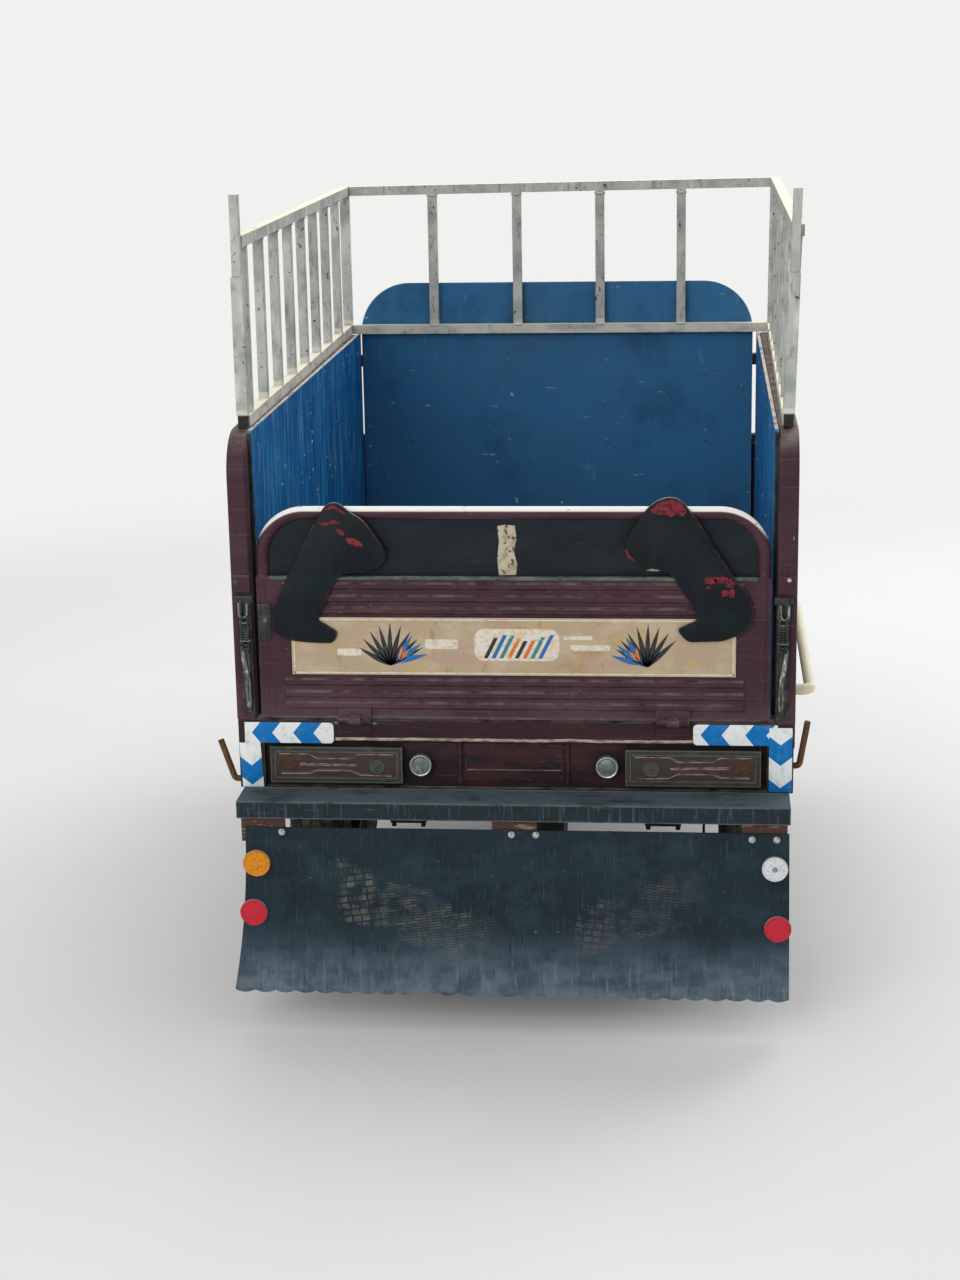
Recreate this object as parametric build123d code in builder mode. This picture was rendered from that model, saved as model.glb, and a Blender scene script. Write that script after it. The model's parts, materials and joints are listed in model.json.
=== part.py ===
"""Motorised cargo tricycle with a boarded box bed and a stake cage, in millimetres.

+X is the vehicle's right, +Y its front and +Z up.  The origin is on the floor, midway between the
rearmost and the foremost points.  Distances named ..._AT are counted forward from the tailgate's
outer face, and at() turns them into Y.
"""
import os
from math import cos, radians, sin, sqrt

from build123d import *

# Running gear
TYRE_RADIUS = 284
TYRE_WIDTH = 132
BEAD_RADIUS = 158
TREAD_HALF_WIDTH = 50
TYRE_WALL = 11
RIM_FLANGE_RADIUS = 166
RIM_WELL_RADIUS = 132
RIM_WALL = 4
RIM_HALF_WIDTH = 48
BEAD_CLEARANCE = 0.3
SEAT_CLEARANCE = 0.3
DISC_THICKNESS = 6
DISC_HOLES = 8
DISC_HOLE_RADIUS = 14
DISC_HOLE_RING_RADIUS = 100
HUB_RADIUS = 38
WHEEL_TRACK = 1050
RUNNING_CLEARANCE = 0.05
SPINDLE_RADIUS = 18
DRUM_RADIUS = 112
DRUM_DEPTH = 62
DRUM_WALL = 8

# Places along the vehicle, forward of the tailgate's outer face
BED_LENGTH = 1780
FLAP_REAR = 100
REFLECTOR_THICKNESS = 8
REAR_OVERHANG = FLAP_REAR + REFLECTOR_THICKNESS
REAR_AXLE_AT = 690
CAB_REACH = 420
WHEELBASE = BED_LENGTH + CAB_REACH
FRONT_AXLE_AT = REAR_AXLE_AT + WHEELBASE
LENGTH = REAR_OVERHANG + REAR_AXLE_AT + WHEELBASE + TYRE_RADIUS
TAILGATE_Y = REAR_OVERHANG - LENGTH / 2

# Cargo bed
BED_HALF_WIDTH = 615
FLOOR_Z = 700
FLOOR_SHEET = 3
CROSSBEAM_HEIGHT = 60
CROSSBEAM_WIDTH = 40
CROSSBEAMS = 5
REAR_BEAM_BOTTOM = 540
REAR_BEAM_DEPTH = 45
REAR_BEAM_WALL = 4
HOOP_WIDTH = 44
HOOP_DEPTH = 40
HOOP_CORNER = 7
HOOP_BEND = 75
SIDE_TOP = 1337
PANEL_TOP = 1010
PANEL_SHEET = 3
PANEL_RIB_DEPTH = 6
PANEL_RIB_HEIGHT = 22
PANEL_RIBS_Z = (745, 805, 865, 925, 985)
SIDE_POSTS = 5
SIDE_POST_SIZE = 25
BOARD_THICKNESS = 8
FRONT_RAILS_Z = (1010, 1240)
FRONT_RAIL_SIZE = 30

# Blue headboard
HEADBOARD_SETBACK = 52
HEADBOARD_AT = BED_LENGTH - HEADBOARD_SETBACK
HEADBOARD_THICKNESS = 6
HEADBOARD_LEFT = -560
HEADBOARD_RIGHT = 553
HEADBOARD_TOP = 1478
HEADBOARD_CORNER = 140

# Stake cage
CAGE_BAR = 25
CAGE_SLAT = 21
CAGE_OUTER = 600
CAGE_TOP = 1750
CAGE_REAR_AT = 84
CAGE_SETS = (
    ("left", -1, (0, 0, 8, 8), 0, (0, 0)),
    ("right", 1, (5, 21, 18, 22), 12, (5, 18)),
)  # side, sign, how far out the rear foot, rear top, front foot and front top stand, rise of the top,
#    and how far out the rear post's foot and top stand
CAGE_FRONT_AT = HEADBOARD_AT - CAGE_BAR
SIDE_SLATS = 8
SIDE_SLAT_FIRST_AT = 150
SIDE_SLAT_PITCH = (CAGE_FRONT_AT + CAGE_BAR / 2 - SIDE_SLAT_FIRST_AT) / SIDE_SLATS
FRONT_SLATS_X = (-347, -109, 124, 351)
POST_STUB_HEIGHT = 28
POST_STUB_SIZE = 20
POST_LOWER_SIZE = 25
POST_UPPER_SIZE = 19
POST_STEP_Z = 1664
POST_TOP = 1838

# Tailgate
GATE_HALF_WIDTH = 559
GATE_BOTTOM = 706
GATE_TOP = 1176
GATE_TUBE_RADIUS = 14.5
GATE_BEND = 110
GATE_SHEET_FACE = 3
GATE_SHEET = 3
GATE_PANEL_TOP = 1022
GATE_RIB_PROUD = 5
GATE_RIB_BASE = 18
GATE_RIB_CREST = 9
GATE_RIB_HALF_LENGTH = 502
GATE_RIBS_Z = (732, 757, 785, 947, 974, 1002)
INSET_HALF_WIDTH = 530
INSET_BOTTOM = 1016
INSET_THICKNESS = 3
SIGN_HALF_WIDTH = 485
SIGN_BOTTOM = 803
SIGN_TOP = 932
SIGN_THICKNESS = 4
HEAD_THICKNESS = 6
HEAD_CROWN = ((345, 1178), (368, 1196))  # X, Z, as in the lines below
HEAD_BROW = ((398, 1199), (420, 1180))
HEAD_MANE = ((448, 1120), (478, 1045), (500, 985))
HEAD_CHEST = ((521, 935), (516, 882))
HEAD_BASE = ((395, 855), (368, 888), (408, 910))
HEAD_THROAT = ((385, 960), (335, 1045))
HEAD_JAW = ((300, 1022), (272, 1050))
HEAD_NOSE = ((262, 1066), (272, 1085))
HEAD_FACE = (310, 1145)
HINGE_X = 350
HINGE_AXIS_OUT = 7.5
HINGE_AXIS_DROP = 9
KNUCKLE_RADIUS = 7
HINGE_PIN_RADIUS = 4
HINGE_HALF_LENGTH = 37
HINGE_MIDDLE_HALF = 12.5
HINGE_GAP = 0.3
HINGE_LEAF_HEIGHT = 20
HINGE_LEAF_THICKNESS = 6
HINGE_TONGUE_INSET = 1

# Rear panel below the bed, lamps, bumper and flap
LAMP_PANEL_STEP = 12
LAMP_BAND_BOTTOM = 650
LAMP_END_WIDTH = 57
LAMP_PANEL_HALF = 612
LAMP_SHEET = 3
LAMP_LENGTH = 295
LAMP_HEIGHT = 82
LAMP_X = 394
LAMP_Z = 596
LAMP_PROUD = 8
LAMP_FRAME = 12
LENS_PROUD = 5
LENS_RELIEF = 2.5
LENS_RELIEF_WIDTH = 5
LENS_TOP_RIDGE = ((-129, 25), (-60, 25), (-43, 15), (33, 15), (51, 25), (129, 25))  # from the lamp's centre
LENS_LOW_RIDGE = ((-124, -21), (-60, -20), (-43, -13), (33, -13), (54, -23), (123, -25))
LENS_MIDDLE_BAR = ((-82, 1.6), (47, -1.6))
LENS_BOSS_X = 91
LENS_BOSS_Z = -3
LENS_BOSS_RADIUS = 16
REVERSE_LAMP_X = 206
REVERSE_LAMP_RADIUS = 24
REVERSE_LAMP_PROUD = 6
PLATE_HALF_WIDTH = 116
PLATE_BOTTOM = 553
PLATE_RIB_WIDTH = 6
PLATE_PAD_PROUD = 2
PLATE_PAD_MARGIN = 8
BUMPER_HALF_WIDTH = 604
BUMPER_TOP = 540
BUMPER_BOTTOM = 502
BUMPER_REAR = 104
BUMPER_WALL = 4
BUMPER_LIP = 40
BUMPER_ARM_X = 320
BUMPER_ARM_WIDTH = 40
BUMPER_STRAPS_X = (-596, -42, 500)
BUMPER_STRAP_WIDTH = 98
BUMPER_STRAP = 5
FLAP_TOP = 480
FLAP_BOTTOM = 95
FLAP_THICKNESS = 6
FLAP_TOP_LEFT = -587
FLAP_TOP_RIGHT = 602
FLAP_BOTTOM_LEFT = -626
FLAP_BOTTOM_RIGHT = 607
FLAP_WAVES = 27
FLAP_WAVE_DEPTH = 6
STRAP_OVERLAP = 34
REFLECTOR_RADIUS = 30
REFLECTORS = ((-564, 397), (-575, 281), (572, 401), (580, 262))  # X, Z

# Fittings on the rear pillars and sides
LATCH_X = 585
LATCH_BOTTOM = 708
LATCH_TOP = 975
LATCH_WIDTH = 24
LATCH_PLATE = 4
LATCH_LEVER = (720, 872, 13, 10)  # bottom, top, width, thickness
LATCH_BLOCK = (884, 924, 20, 14)
LATCH_LOOP = (932, 972, 20, 8)
LATCH_LOOP_WALL = 4
SIDE_BAR_X = 655.5
SIDE_BAR_RADIUS = 12.5
SIDE_BAR_FROM = 200
SIDE_BAR_TO = 1000
SIDE_BAR_Z = 720
HOOK_RADIUS = 7
HOOK_AT = 38
LEFT_HOOK = ((-612, 548), (-632, 548), (-661, 638))  # X, Z
RIGHT_HOOK = ((612, 592), (626, 592), (643, 693))

# Chassis
RAIL_X = 320
RAIL_WIDTH = 40
RAIL_BOTTOM = 557
RAIL_FRONT_AT = FRONT_AXLE_AT - 710
RAIL_TIES_AT = (1180, BED_LENGTH + 60, RAIL_FRONT_AT - RAIL_WIDTH / 2)
CRADLE_RADIUS = 21
CRADLE_X = 170
CRADLE_Z = 330
CRADLE_REAR_AT = FRONT_AXLE_AT - 675
CRADLE_FRONT_AT = FRONT_AXLE_AT - 420
CRADLE_BEND = 45
BACKBONE_RADIUS = 28
BACKBONE_Z = 848
BACKBONE_REAR_AT = RAIL_FRONT_AT - 8
BACKBONE_BEND = 70
DOWN_TUBE_JOIN = 118
ENGINE_MOUNT_PLATE = 8
ENGINE_MOUNTS_AT = (FRONT_AXLE_AT - 575, FRONT_AXLE_AT - 475)
FOOT_BAR = 8
FOOT_BAR_WIDTH = 30
FOOT_INNER = 240
FOOT_OUTER = 400
FOOT_PLATE = 4
FOOT_LENGTH = 300
FOOT_LIP = 26
FOOT_TREADS = 6
FOOT_TREAD = 3
PEDAL_X = 290
PEDAL_ARM_RADIUS = 8
PEDAL_RISE = 75
PEDAL_REACH = 55
PEDAL_PAD = (64, 46, 10)

# Rear axle and springs
AXLE_TUBE_RADIUS = 35
AXLE_END_INSET = 101
AXLE_TUBE_HALF = WHEEL_TRACK / 2 - AXLE_END_INSET
BACKPLATE_RADIUS = 116
BACKPLATE_THICKNESS = 6
DIFF_RADIUS = 115
DIFF_WIDTH = 150
DIFF_NOSE_RADIUS = 48
DIFF_NOSE_LENGTH = 90
SPRING_SPAN = 900
SPRING_SAG = 90
SPRING_WIDTH = 60
LEAF_THICKNESS = 8
LEAF_LENGTHS = (900, 800, 640, 480, 320)
SPRING_PAD = 12
SPRING_EYE_RADIUS = 20
HANGER_WIDTH = 50
U_BOLT_RADIUS = 6
U_BOLT_REACH = 50
U_BOLT_GAP = 1
U_BOLT_PLATE = 10
SHAFT_RADIUS = 26
SHAFT_JOINT_RADIUS = 38
SHAFT_JOINT_LENGTH = 70

# Engine, tank and seat
ENGINE_AT = FRONT_AXLE_AT - 550
ENGINE_HALF_WIDTH = 140
ENGINE_LENGTH = 230
CRANKCASE_TOP = 530
SIDE_COVER_RADIUS = 82
SIDE_COVER_DEPTH = 30
CYLINDER_LEAN = 12
CYLINDER_RADIUS = 46
FIN_SIZE = 150
FIN_THICKNESS = 5
FIN_PITCH = 13
FINS = 9
HEAD_COVER_SIZE = 110
HEAD_COVER_HEIGHT = 38
GEARBOX_RADIUS = 44
INTAKE_RADIUS = 17
INTAKE_REACH = 55
CARBURETTOR_RADIUS = 21
CARBURETTOR_HEIGHT = 78
KICK_X = 154
KICK_RADIUS = 7
KICK_BACK = 80
KICK_RISE = 90
KICK_PEDAL_REACH = 42
EXHAUST_RADIUS = 19
EXHAUST_X = 213
EXHAUST_PORT_RADIUS = 24
EXHAUST_PORT_LENGTH = 14
EXHAUST_Z = 262
MUFFLER_RADIUS = 58
MUFFLER_LENGTH = 460
TAILPIPE_RADIUS = 16
TAILPIPE_REACH = 45
MUFFLER_BAND = 24
MUFFLER_BAND_PROUD = 3
MUFFLER_REAR_AT = ENGINE_AT - 1090
TANK_HALF_WIDTH = 128
TANK_REAR_AT = CRADLE_REAR_AT
TANK_FRONT_AT = TANK_REAR_AT + 210
TANK_HEIGHT = 128
TANK_ROUND = 42
TANK_CAP_RADIUS = 32
TANK_CAP_HEIGHT = 18
SEAT_BOX_HALF_WIDTH = 230
SEAT_GAP = 35
SEAT_BOX_REAR_AT = BED_LENGTH + SEAT_GAP
SEAT_BOX_FRONT_AT = SEAT_BOX_REAR_AT + 325
SEAT_BOX_TOP = 752
CUSHION_HALF_WIDTH = 250
CUSHION_THICKNESS = 95
CUSHION_ROUND = 28

# Steering: the steering frame's Z runs up the steering axis, its origin is beside the axle
RAKE = 25
FORK_OFFSET = 45
FORK_X = 108
FORK_LEG_RADIUS = 27
FORK_LEG_TOP = 330
FORK_LEG_BOTTOM = -34
STANCHION_RADIUS = 19
STANCHION_TOP = 856
LOWER_CLAMP = (556, 590)
UPPER_CLAMP = (812, 838)
CLAMP_MARGIN = 12
STEM_RADIUS = 14
STEM_TOP = 858
HEAD_TUBE_RADIUS = 32
HEAD_TUBE_GAP = 0.5
FRONT_SPINDLE_RADIUS = 10
FRONT_SPINDLE_HALF = 150
FRONT_HUB_HALF = 68
SPACER_RADIUS = 17
FENDER_RADIUS = 310
FENDER_SHEET = 3
FENDER_HALF_WIDTH = 76
FENDER_SKIRT = 20
FENDER_FROM_DEGREES = 32
FENDER_TO_DEGREES = 192
FENDER_STAY_WIDTH = 26
BAR_RADIUS = 11
BAR_RISE = 130
BAR_GRIP_X = 360
BAR_GRIP_BACK = 150
BAR_CLAMP_X = 55
GRIP_RADIUS = 16
GRIP_LENGTH = 125
PERCH_LENGTH = 12
PERCH_MARGIN = 5
LEVER_RADIUS = 5
LEVER_GAP = 32
LEVER_LENGTH = 128
GAUGE_RADIUS = 38
GAUGE_HEIGHT = 34
GAUGE_FORWARD = 72
HEADLAMP_RADIUS = 88
HEADLAMP_LENGTH = 90
HEADLAMP_BOWL = 0.75
HEADLAMP_UP = 700
HEADLAMP_FORWARD = 150
HEADLAMP_RIM = 5
HEADLAMP_RIM_DEPTH = 14
SIGNAL_X = 172
SIGNAL_RADIUS = 27
SIGNAL_DEPTH = 46
SIGNAL_STEM_RADIUS = 7
MIRROR_X = 395
MIRROR_UP = 165
MIRROR_HALF_WIDTH = 58
MIRROR_HALF_HEIGHT = 38
MIRROR_THICKNESS = 14
MIRROR_STEM_RADIUS = 5

SIDES = (("left", -1), ("right", 1))


def at(distance):
    """Return the Y of a point that lies distance in front of the tailgate's outer face."""
    return TAILGATE_Y + distance


REAR_AXLE_Y = at(REAR_AXLE_AT)
FRONT_AXLE_Y = at(FRONT_AXLE_AT)
CROSSBEAM_TOP = FLOOR_Z - FLOOR_SHEET
CROSSBEAM_BOTTOM = CROSSBEAM_TOP - CROSSBEAM_HEIGHT
HEADBOARD_FRONT = HEADBOARD_AT + HEADBOARD_THICKNESS
BED_INNER = BED_HALF_WIDTH - HOOP_WIDTH
FLOOR_REAR_AT = HOOP_DEPTH + 5
GATE_SIGN_FACE = GATE_SHEET_FACE - SIGN_THICKNESS
GATE_RIB_FACE = GATE_SHEET_FACE - GATE_RIB_PROUD
GATE_TUBE_AT = GATE_SHEET_FACE + GATE_TUBE_RADIUS - 1.5
HINGE_Y = at(-HINGE_AXIS_OUT)
HINGE_Z = GATE_BOTTOM - HINGE_AXIS_DROP
BAND_TOP = CROSSBEAM_TOP
STEER_UP = Vector(0, -sin(radians(RAKE)), cos(radians(RAKE)))
STEER_FORWARD = Vector(0, cos(radians(RAKE)), sin(radians(RAKE)))
STEER_ORIGIN = Vector(0, FRONT_AXLE_Y, TYRE_RADIUS) - STEER_FORWARD * FORK_OFFSET
STEERING = Plane(origin=STEER_ORIGIN, x_dir=(1, 0, 0), z_dir=STEER_UP)


def block(x_range, y_range, z_range, mode=Mode.ADD):
    """Add or cut a box that spans the three ranges."""
    sizes = [high - low for low, high in (x_range, y_range, z_range)]
    middle = [(high + low) / 2 for low, high in (x_range, y_range, z_range)]
    with Locations(tuple(middle)):
        Box(*sizes, mode=mode)


def rod(start, end, radius, mode=Mode.ADD):
    """Add or cut a round bar between two points."""
    run = Vector(*end) - Vector(*start)
    with BuildSketch(Plane(origin=start, z_dir=run)) as section:
        Circle(radius)
    extrude(section.sketch, amount=run.length, mode=mode)


def bar(start, end, size, section_plane):
    """Add a square bar between two points, its ends cut along the section plane."""
    run = Vector(*end) - Vector(*start)
    with BuildSketch(Plane(origin=start, x_dir=section_plane.x_dir, z_dir=section_plane.z_dir)) as section:
        Rectangle(size, size)
    extrude(section.sketch, amount=run.length, dir=run.normalized())


def between(start, end, share):
    """Return the point that lies a share of the way from start to end."""
    return start + (end - start) * share


def tube(points, bends, radius):
    """Add a round tube along straight runs joined by arcs."""
    with BuildLine() as path:
        FilletPolyline(*points, radius=bends)
    with BuildSketch(Plane(origin=path.line @ 0, z_dir=path.line % 0)) as section:
        Circle(radius)
    sweep(section.sketch, path=path.line)


def finish(piece, label):
    """Label a finished sub-part and write it."""
    piece.part.label = label
    export_step(piece.part, f"parts/{label}.step")


def ribbed_wall(x_range, y_range, z_range, outward, rib_zs, rib_inset):
    """Add an upright sheet whose horizontal ribs stand out along the outward axis."""
    block(x_range, y_range, z_range)
    for rib_z in rib_zs:
        rib_rows = (rib_z - PANEL_RIB_HEIGHT / 2, rib_z + PANEL_RIB_HEIGHT / 2)
        if outward.X:
            face = x_range[1] if outward.X > 0 else x_range[0]
            reach = sorted((face, face + outward.X * PANEL_RIB_DEPTH))
            block(reach, (y_range[0] + rib_inset, y_range[1] - rib_inset), rib_rows)
        else:
            face = y_range[1]
            block((x_range[0] + rib_inset, x_range[1] - rib_inset), (face, face + PANEL_RIB_DEPTH), rib_rows)


def make_rails():
    """Two chassis rails and the ties between them, under the bed and the seat."""
    rail_top = CROSSBEAM_BOTTOM
    with BuildPart() as rails:
        for _, sign in SIDES:
            edges = sorted((sign * (RAIL_X - RAIL_WIDTH / 2), sign * (RAIL_X + RAIL_WIDTH / 2)))
            block(edges, (at(LAMP_PANEL_STEP + LAMP_SHEET + REAR_BEAM_WALL), at(RAIL_FRONT_AT)),
                  (RAIL_BOTTOM, rail_top))
        for tie in RAIL_TIES_AT:
            block((-RAIL_X, RAIL_X), (at(tie - RAIL_WIDTH / 2), at(tie + RAIL_WIDTH / 2)),
                  (rail_top - CROSSBEAM_HEIGHT, rail_top))
    finish(rails, "chassis_rails")


def make_front_frame():
    """Cradle tubes, backbone and steering head that carry the engine and the fork."""
    head_low = STEERING.from_local_coords((0, 0, LOWER_CLAMP[1] + HEAD_TUBE_GAP))
    head_high = STEERING.from_local_coords((0, 0, UPPER_CLAMP[0] - HEAD_TUBE_GAP))
    down_tube_end = STEERING.from_local_coords((0, 0, LOWER_CLAMP[1] + DOWN_TUBE_JOIN))
    backbone_reach = (BACKBONE_Z - STEER_ORIGIN.Z) / STEER_UP.Z
    backbone_front = STEERING.from_local_coords((0, 0, backbone_reach))
    tie_z = CROSSBEAM_BOTTOM - CROSSBEAM_HEIGHT / 2
    rail_end = at(RAIL_FRONT_AT)
    with BuildPart() as frame:
        for _, sign in SIDES:
            tube(
                (
                    (sign * CRADLE_X, rail_end, tie_z),
                    (sign * CRADLE_X, at(CRADLE_REAR_AT), tie_z),
                    (sign * CRADLE_X, at(CRADLE_REAR_AT) + CRADLE_BEND, CRADLE_Z),
                    (sign * CRADLE_X, at(CRADLE_FRONT_AT), CRADLE_Z),
                    (sign * HEAD_TUBE_RADIUS / 2, down_tube_end.Y, down_tube_end.Z),
                ),
                (CRADLE_RADIUS + 4, CRADLE_BEND, CRADLE_BEND),
                CRADLE_RADIUS,
            )
        tube(
            (
                (0, at(BACKBONE_REAR_AT), CROSSBEAM_BOTTOM),
                (0, at(BACKBONE_REAR_AT), BACKBONE_Z),
                (0, backbone_front.Y, BACKBONE_Z),
            ),
            (BACKBONE_BEND,),
            BACKBONE_RADIUS,
        )
        rod(head_low, head_high, HEAD_TUBE_RADIUS)
        for mount in ENGINE_MOUNTS_AT:
            block((-CRADLE_X, CRADLE_X), (at(mount - FOOT_BAR_WIDTH / 2), at(mount + FOOT_BAR_WIDTH / 2)),
                  (CRADLE_Z, CRADLE_Z + CRADLE_RADIUS))
        rod(head_low, head_high, STEM_RADIUS + RUNNING_CLEARANCE, mode=Mode.SUBTRACT)
    finish(frame, "front_frame")


def make_footboards():
    """Two ribbed foot plates on cross bars under the cradle, each with a pedal."""
    bar_top = CRADLE_Z - CRADLE_RADIUS
    rear = at(sum(ENGINE_MOUNTS_AT) / 2 - FOOT_LENGTH / 2)
    with BuildPart() as boards:
        for bar in ENGINE_MOUNTS_AT:
            block((-FOOT_OUTER, FOOT_OUTER), (at(bar - FOOT_BAR_WIDTH / 2), at(bar + FOOT_BAR_WIDTH / 2)),
                  (bar_top - FOOT_BAR, bar_top))
        for _, sign in SIDES:
            edges = sorted((sign * FOOT_INNER, sign * FOOT_OUTER))
            lip = sorted((sign * (FOOT_OUTER - FOOT_PLATE), sign * FOOT_OUTER))
            block(edges, (rear, rear + FOOT_LENGTH), (bar_top, bar_top + FOOT_PLATE))
            block(lip, (rear, rear + FOOT_LENGTH), (bar_top, bar_top + FOOT_LIP))
            tread_pitch = FOOT_LENGTH / FOOT_TREADS
            for tread in range(FOOT_TREADS):
                tread_rear = rear + (tread + 0.25) * tread_pitch
                block(edges, (tread_rear, tread_rear + tread_pitch / 4),
                      (bar_top + FOOT_PLATE, bar_top + FOOT_PLATE + FOOT_TREAD))
            foot = Vector(sign * PEDAL_X, rear + FOOT_LENGTH - 2 * PEDAL_ARM_RADIUS, bar_top)
            pad = foot + Vector(0, PEDAL_REACH, PEDAL_RISE)
            rod(foot, pad, PEDAL_ARM_RADIUS)
            width, depth, thickness = PEDAL_PAD
            block((pad.X - width / 2, pad.X + width / 2), (pad.Y - depth / 2, pad.Y + depth / 2),
                  (pad.Z - thickness / 2, pad.Z + thickness / 2))
    finish(boards, "footboards")


def make_bed_floor():
    """Bed floor sheet with its crossbeams, side sills and rear beam."""
    beam_front = LAMP_PANEL_STEP + LAMP_SHEET + REAR_BEAM_WALL
    inner = BED_INNER - BOARD_THICKNESS
    first = beam_front + CROSSBEAM_WIDTH / 2
    pitch = (BED_LENGTH - CROSSBEAM_WIDTH - first) / CROSSBEAMS
    with BuildPart() as floor:
        block((-inner, inner), (at(FLOOR_REAR_AT), at(HEADBOARD_AT)), (CROSSBEAM_TOP, FLOOR_Z))
        for number in range(CROSSBEAMS + 1):
            middle = at(first + number * pitch)
            block((-BED_HALF_WIDTH, BED_HALF_WIDTH), (middle - CROSSBEAM_WIDTH / 2, middle + CROSSBEAM_WIDTH / 2),
                  (CROSSBEAM_BOTTOM, CROSSBEAM_TOP))
        for _, sign in SIDES:
            edges = sorted((sign * (BED_HALF_WIDTH - CROSSBEAM_WIDTH), sign * BED_HALF_WIDTH))
            block(edges, (at(beam_front), at(BED_LENGTH)), (CROSSBEAM_BOTTOM, CROSSBEAM_TOP))
            plate = sorted((sign * (LAMP_PANEL_HALF - REAR_BEAM_WALL), sign * LAMP_PANEL_HALF))
            block(plate, (at(beam_front), at(REAR_BEAM_DEPTH + beam_front)), (REAR_BEAM_BOTTOM, CROSSBEAM_TOP))
        block((-LAMP_PANEL_HALF, LAMP_PANEL_HALF), (at(LAMP_PANEL_STEP + LAMP_SHEET), at(beam_front)),
              (REAR_BEAM_BOTTOM, CROSSBEAM_TOP))
    finish(floor, "bed_floor")


def make_side_frames():
    """Left and right side frames: tube hoop, ribbed panel and short posts between them."""
    centre_x = BED_HALF_WIDTH - HOOP_WIDTH / 2
    rear = at(HOOP_DEPTH / 2 + 2)
    front = at(BED_LENGTH - HOOP_DEPTH / 2)
    top = SIDE_TOP - HOOP_DEPTH / 2
    panel_inner = BED_INNER + BOARD_THICKNESS
    span = front - rear
    for side, sign in SIDES:
        with BuildPart() as frame:
            with BuildLine() as path:
                FilletPolyline(
                    (sign * centre_x, rear, CROSSBEAM_TOP), (sign * centre_x, rear, top),
                    (sign * centre_x, front, top), (sign * centre_x, front, CROSSBEAM_TOP), radius=HOOP_BEND)
            with BuildSketch(Plane.XY.offset(CROSSBEAM_TOP)) as section:
                with Locations((sign * centre_x, rear)):
                    RectangleRounded(HOOP_WIDTH, HOOP_DEPTH, HOOP_CORNER)
            sweep(section.sketch, path=path.line)
            sheet = sorted((sign * panel_inner, sign * (panel_inner + PANEL_SHEET)))
            ribbed_wall(sheet, (rear, front), (CROSSBEAM_TOP, PANEL_TOP), Vector(sign, 0, 0),
                        PANEL_RIBS_Z, HOOP_DEPTH)
            rail = sorted((sign * panel_inner, sign * (panel_inner + SIDE_POST_SIZE)))
            block(rail, (rear, front), (PANEL_TOP - SIDE_POST_SIZE, PANEL_TOP))
            for number in range(1, SIDE_POSTS + 1):
                middle = rear + span * number / (SIDE_POSTS + 1)
                block(rail, (middle - SIDE_POST_SIZE / 2, middle + SIDE_POST_SIZE / 2), (PANEL_TOP, top))
        finish(frame, f"side_frame_{side}")


def make_side_boards():
    """Blue boards that line the two sides of the bed."""
    for side, sign in SIDES:
        with BuildPart() as board:
            faces = sorted((sign * (BED_INNER - BOARD_THICKNESS), sign * BED_INNER))
            block(faces, (at(FLOOR_REAR_AT), at(CAGE_FRONT_AT + CAGE_BAR)), (CROSSBEAM_TOP, SIDE_TOP))
        finish(board, f"side_board_{side}")


def make_front_wall():
    """Front wall of the bed: ribbed sheet and two cross rails between the side frames."""
    with BuildPart() as wall:
        back = at(HEADBOARD_FRONT)
        sheet_back = back + FRONT_RAIL_SIZE / 2
        ribbed_wall((-BED_INNER, BED_INNER), (sheet_back, sheet_back + PANEL_SHEET), (CROSSBEAM_TOP, PANEL_TOP),
                    Vector(0, 1, 0), PANEL_RIBS_Z, HOOP_DEPTH)
        for rail_z in FRONT_RAILS_Z:
            block((-BED_INNER, BED_INNER), (back, back + FRONT_RAIL_SIZE), (rail_z, rail_z + FRONT_RAIL_SIZE))
    finish(wall, "front_wall")


def make_headboard():
    """Blue headboard with two large round top corners."""
    with BuildPart() as board:
        with BuildSketch(Plane.XZ.offset(-at(HEADBOARD_FRONT))) as outline:
            with Locations(((HEADBOARD_LEFT + HEADBOARD_RIGHT) / 2, (HEADBOARD_TOP + CROSSBEAM_TOP) / 2)):
                Rectangle(HEADBOARD_RIGHT - HEADBOARD_LEFT, HEADBOARD_TOP - CROSSBEAM_TOP)
            fillet(outline.vertices().group_by(Axis.Y)[-1], HEADBOARD_CORNER)
        extrude(outline.sketch, amount=HEADBOARD_THICKNESS)
    finish(board, "headboard")


def cage_corners(sign, outward, rise):
    """Return the centres of a side cage's four corners: rear foot, rear top, front foot, front top."""
    middle = CAGE_OUTER - CAGE_BAR / 2
    foot = SIDE_TOP + CAGE_BAR / 2
    top = CAGE_TOP - CAGE_BAR / 2 + rise
    front = at(CAGE_FRONT_AT + CAGE_BAR / 2)
    places = ((at(CAGE_REAR_AT), foot), (at(CAGE_REAR_AT), top), (front, foot), (front, top))
    return [Vector(sign * (middle + out), y, z) for out, (y, z) in zip(outward, places)]


def make_side_cages():
    """White side rails and slats that stand on the side boards, hand-welded and slightly askew."""
    for side, sign, outward, rise, _ in CAGE_SETS:
        rear_foot, rear_top, front_foot, front_top = cage_corners(sign, outward, rise)
        span = front_foot.Y - rear_foot.Y
        front_cut = 1 - CAGE_BAR / 2 / span
        with BuildPart() as cage:
            bar(between(rear_foot, front_foot, POST_LOWER_SIZE / 2 / span), between(rear_foot, front_foot, front_cut),
                CAGE_BAR, Plane.XZ)
            bar(between(rear_top, front_top, POST_UPPER_SIZE / 2 / span), between(rear_top, front_top, front_cut),
                CAGE_BAR, Plane.XZ)
            for number in range(SIDE_SLATS):
                share = (SIDE_SLAT_FIRST_AT + number * SIDE_SLAT_PITCH - CAGE_REAR_AT) / span
                bar(between(rear_foot, front_foot, share), between(rear_top, front_top, share), CAGE_SLAT, Plane.XY)
        finish(cage, f"cage_{side}")


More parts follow.
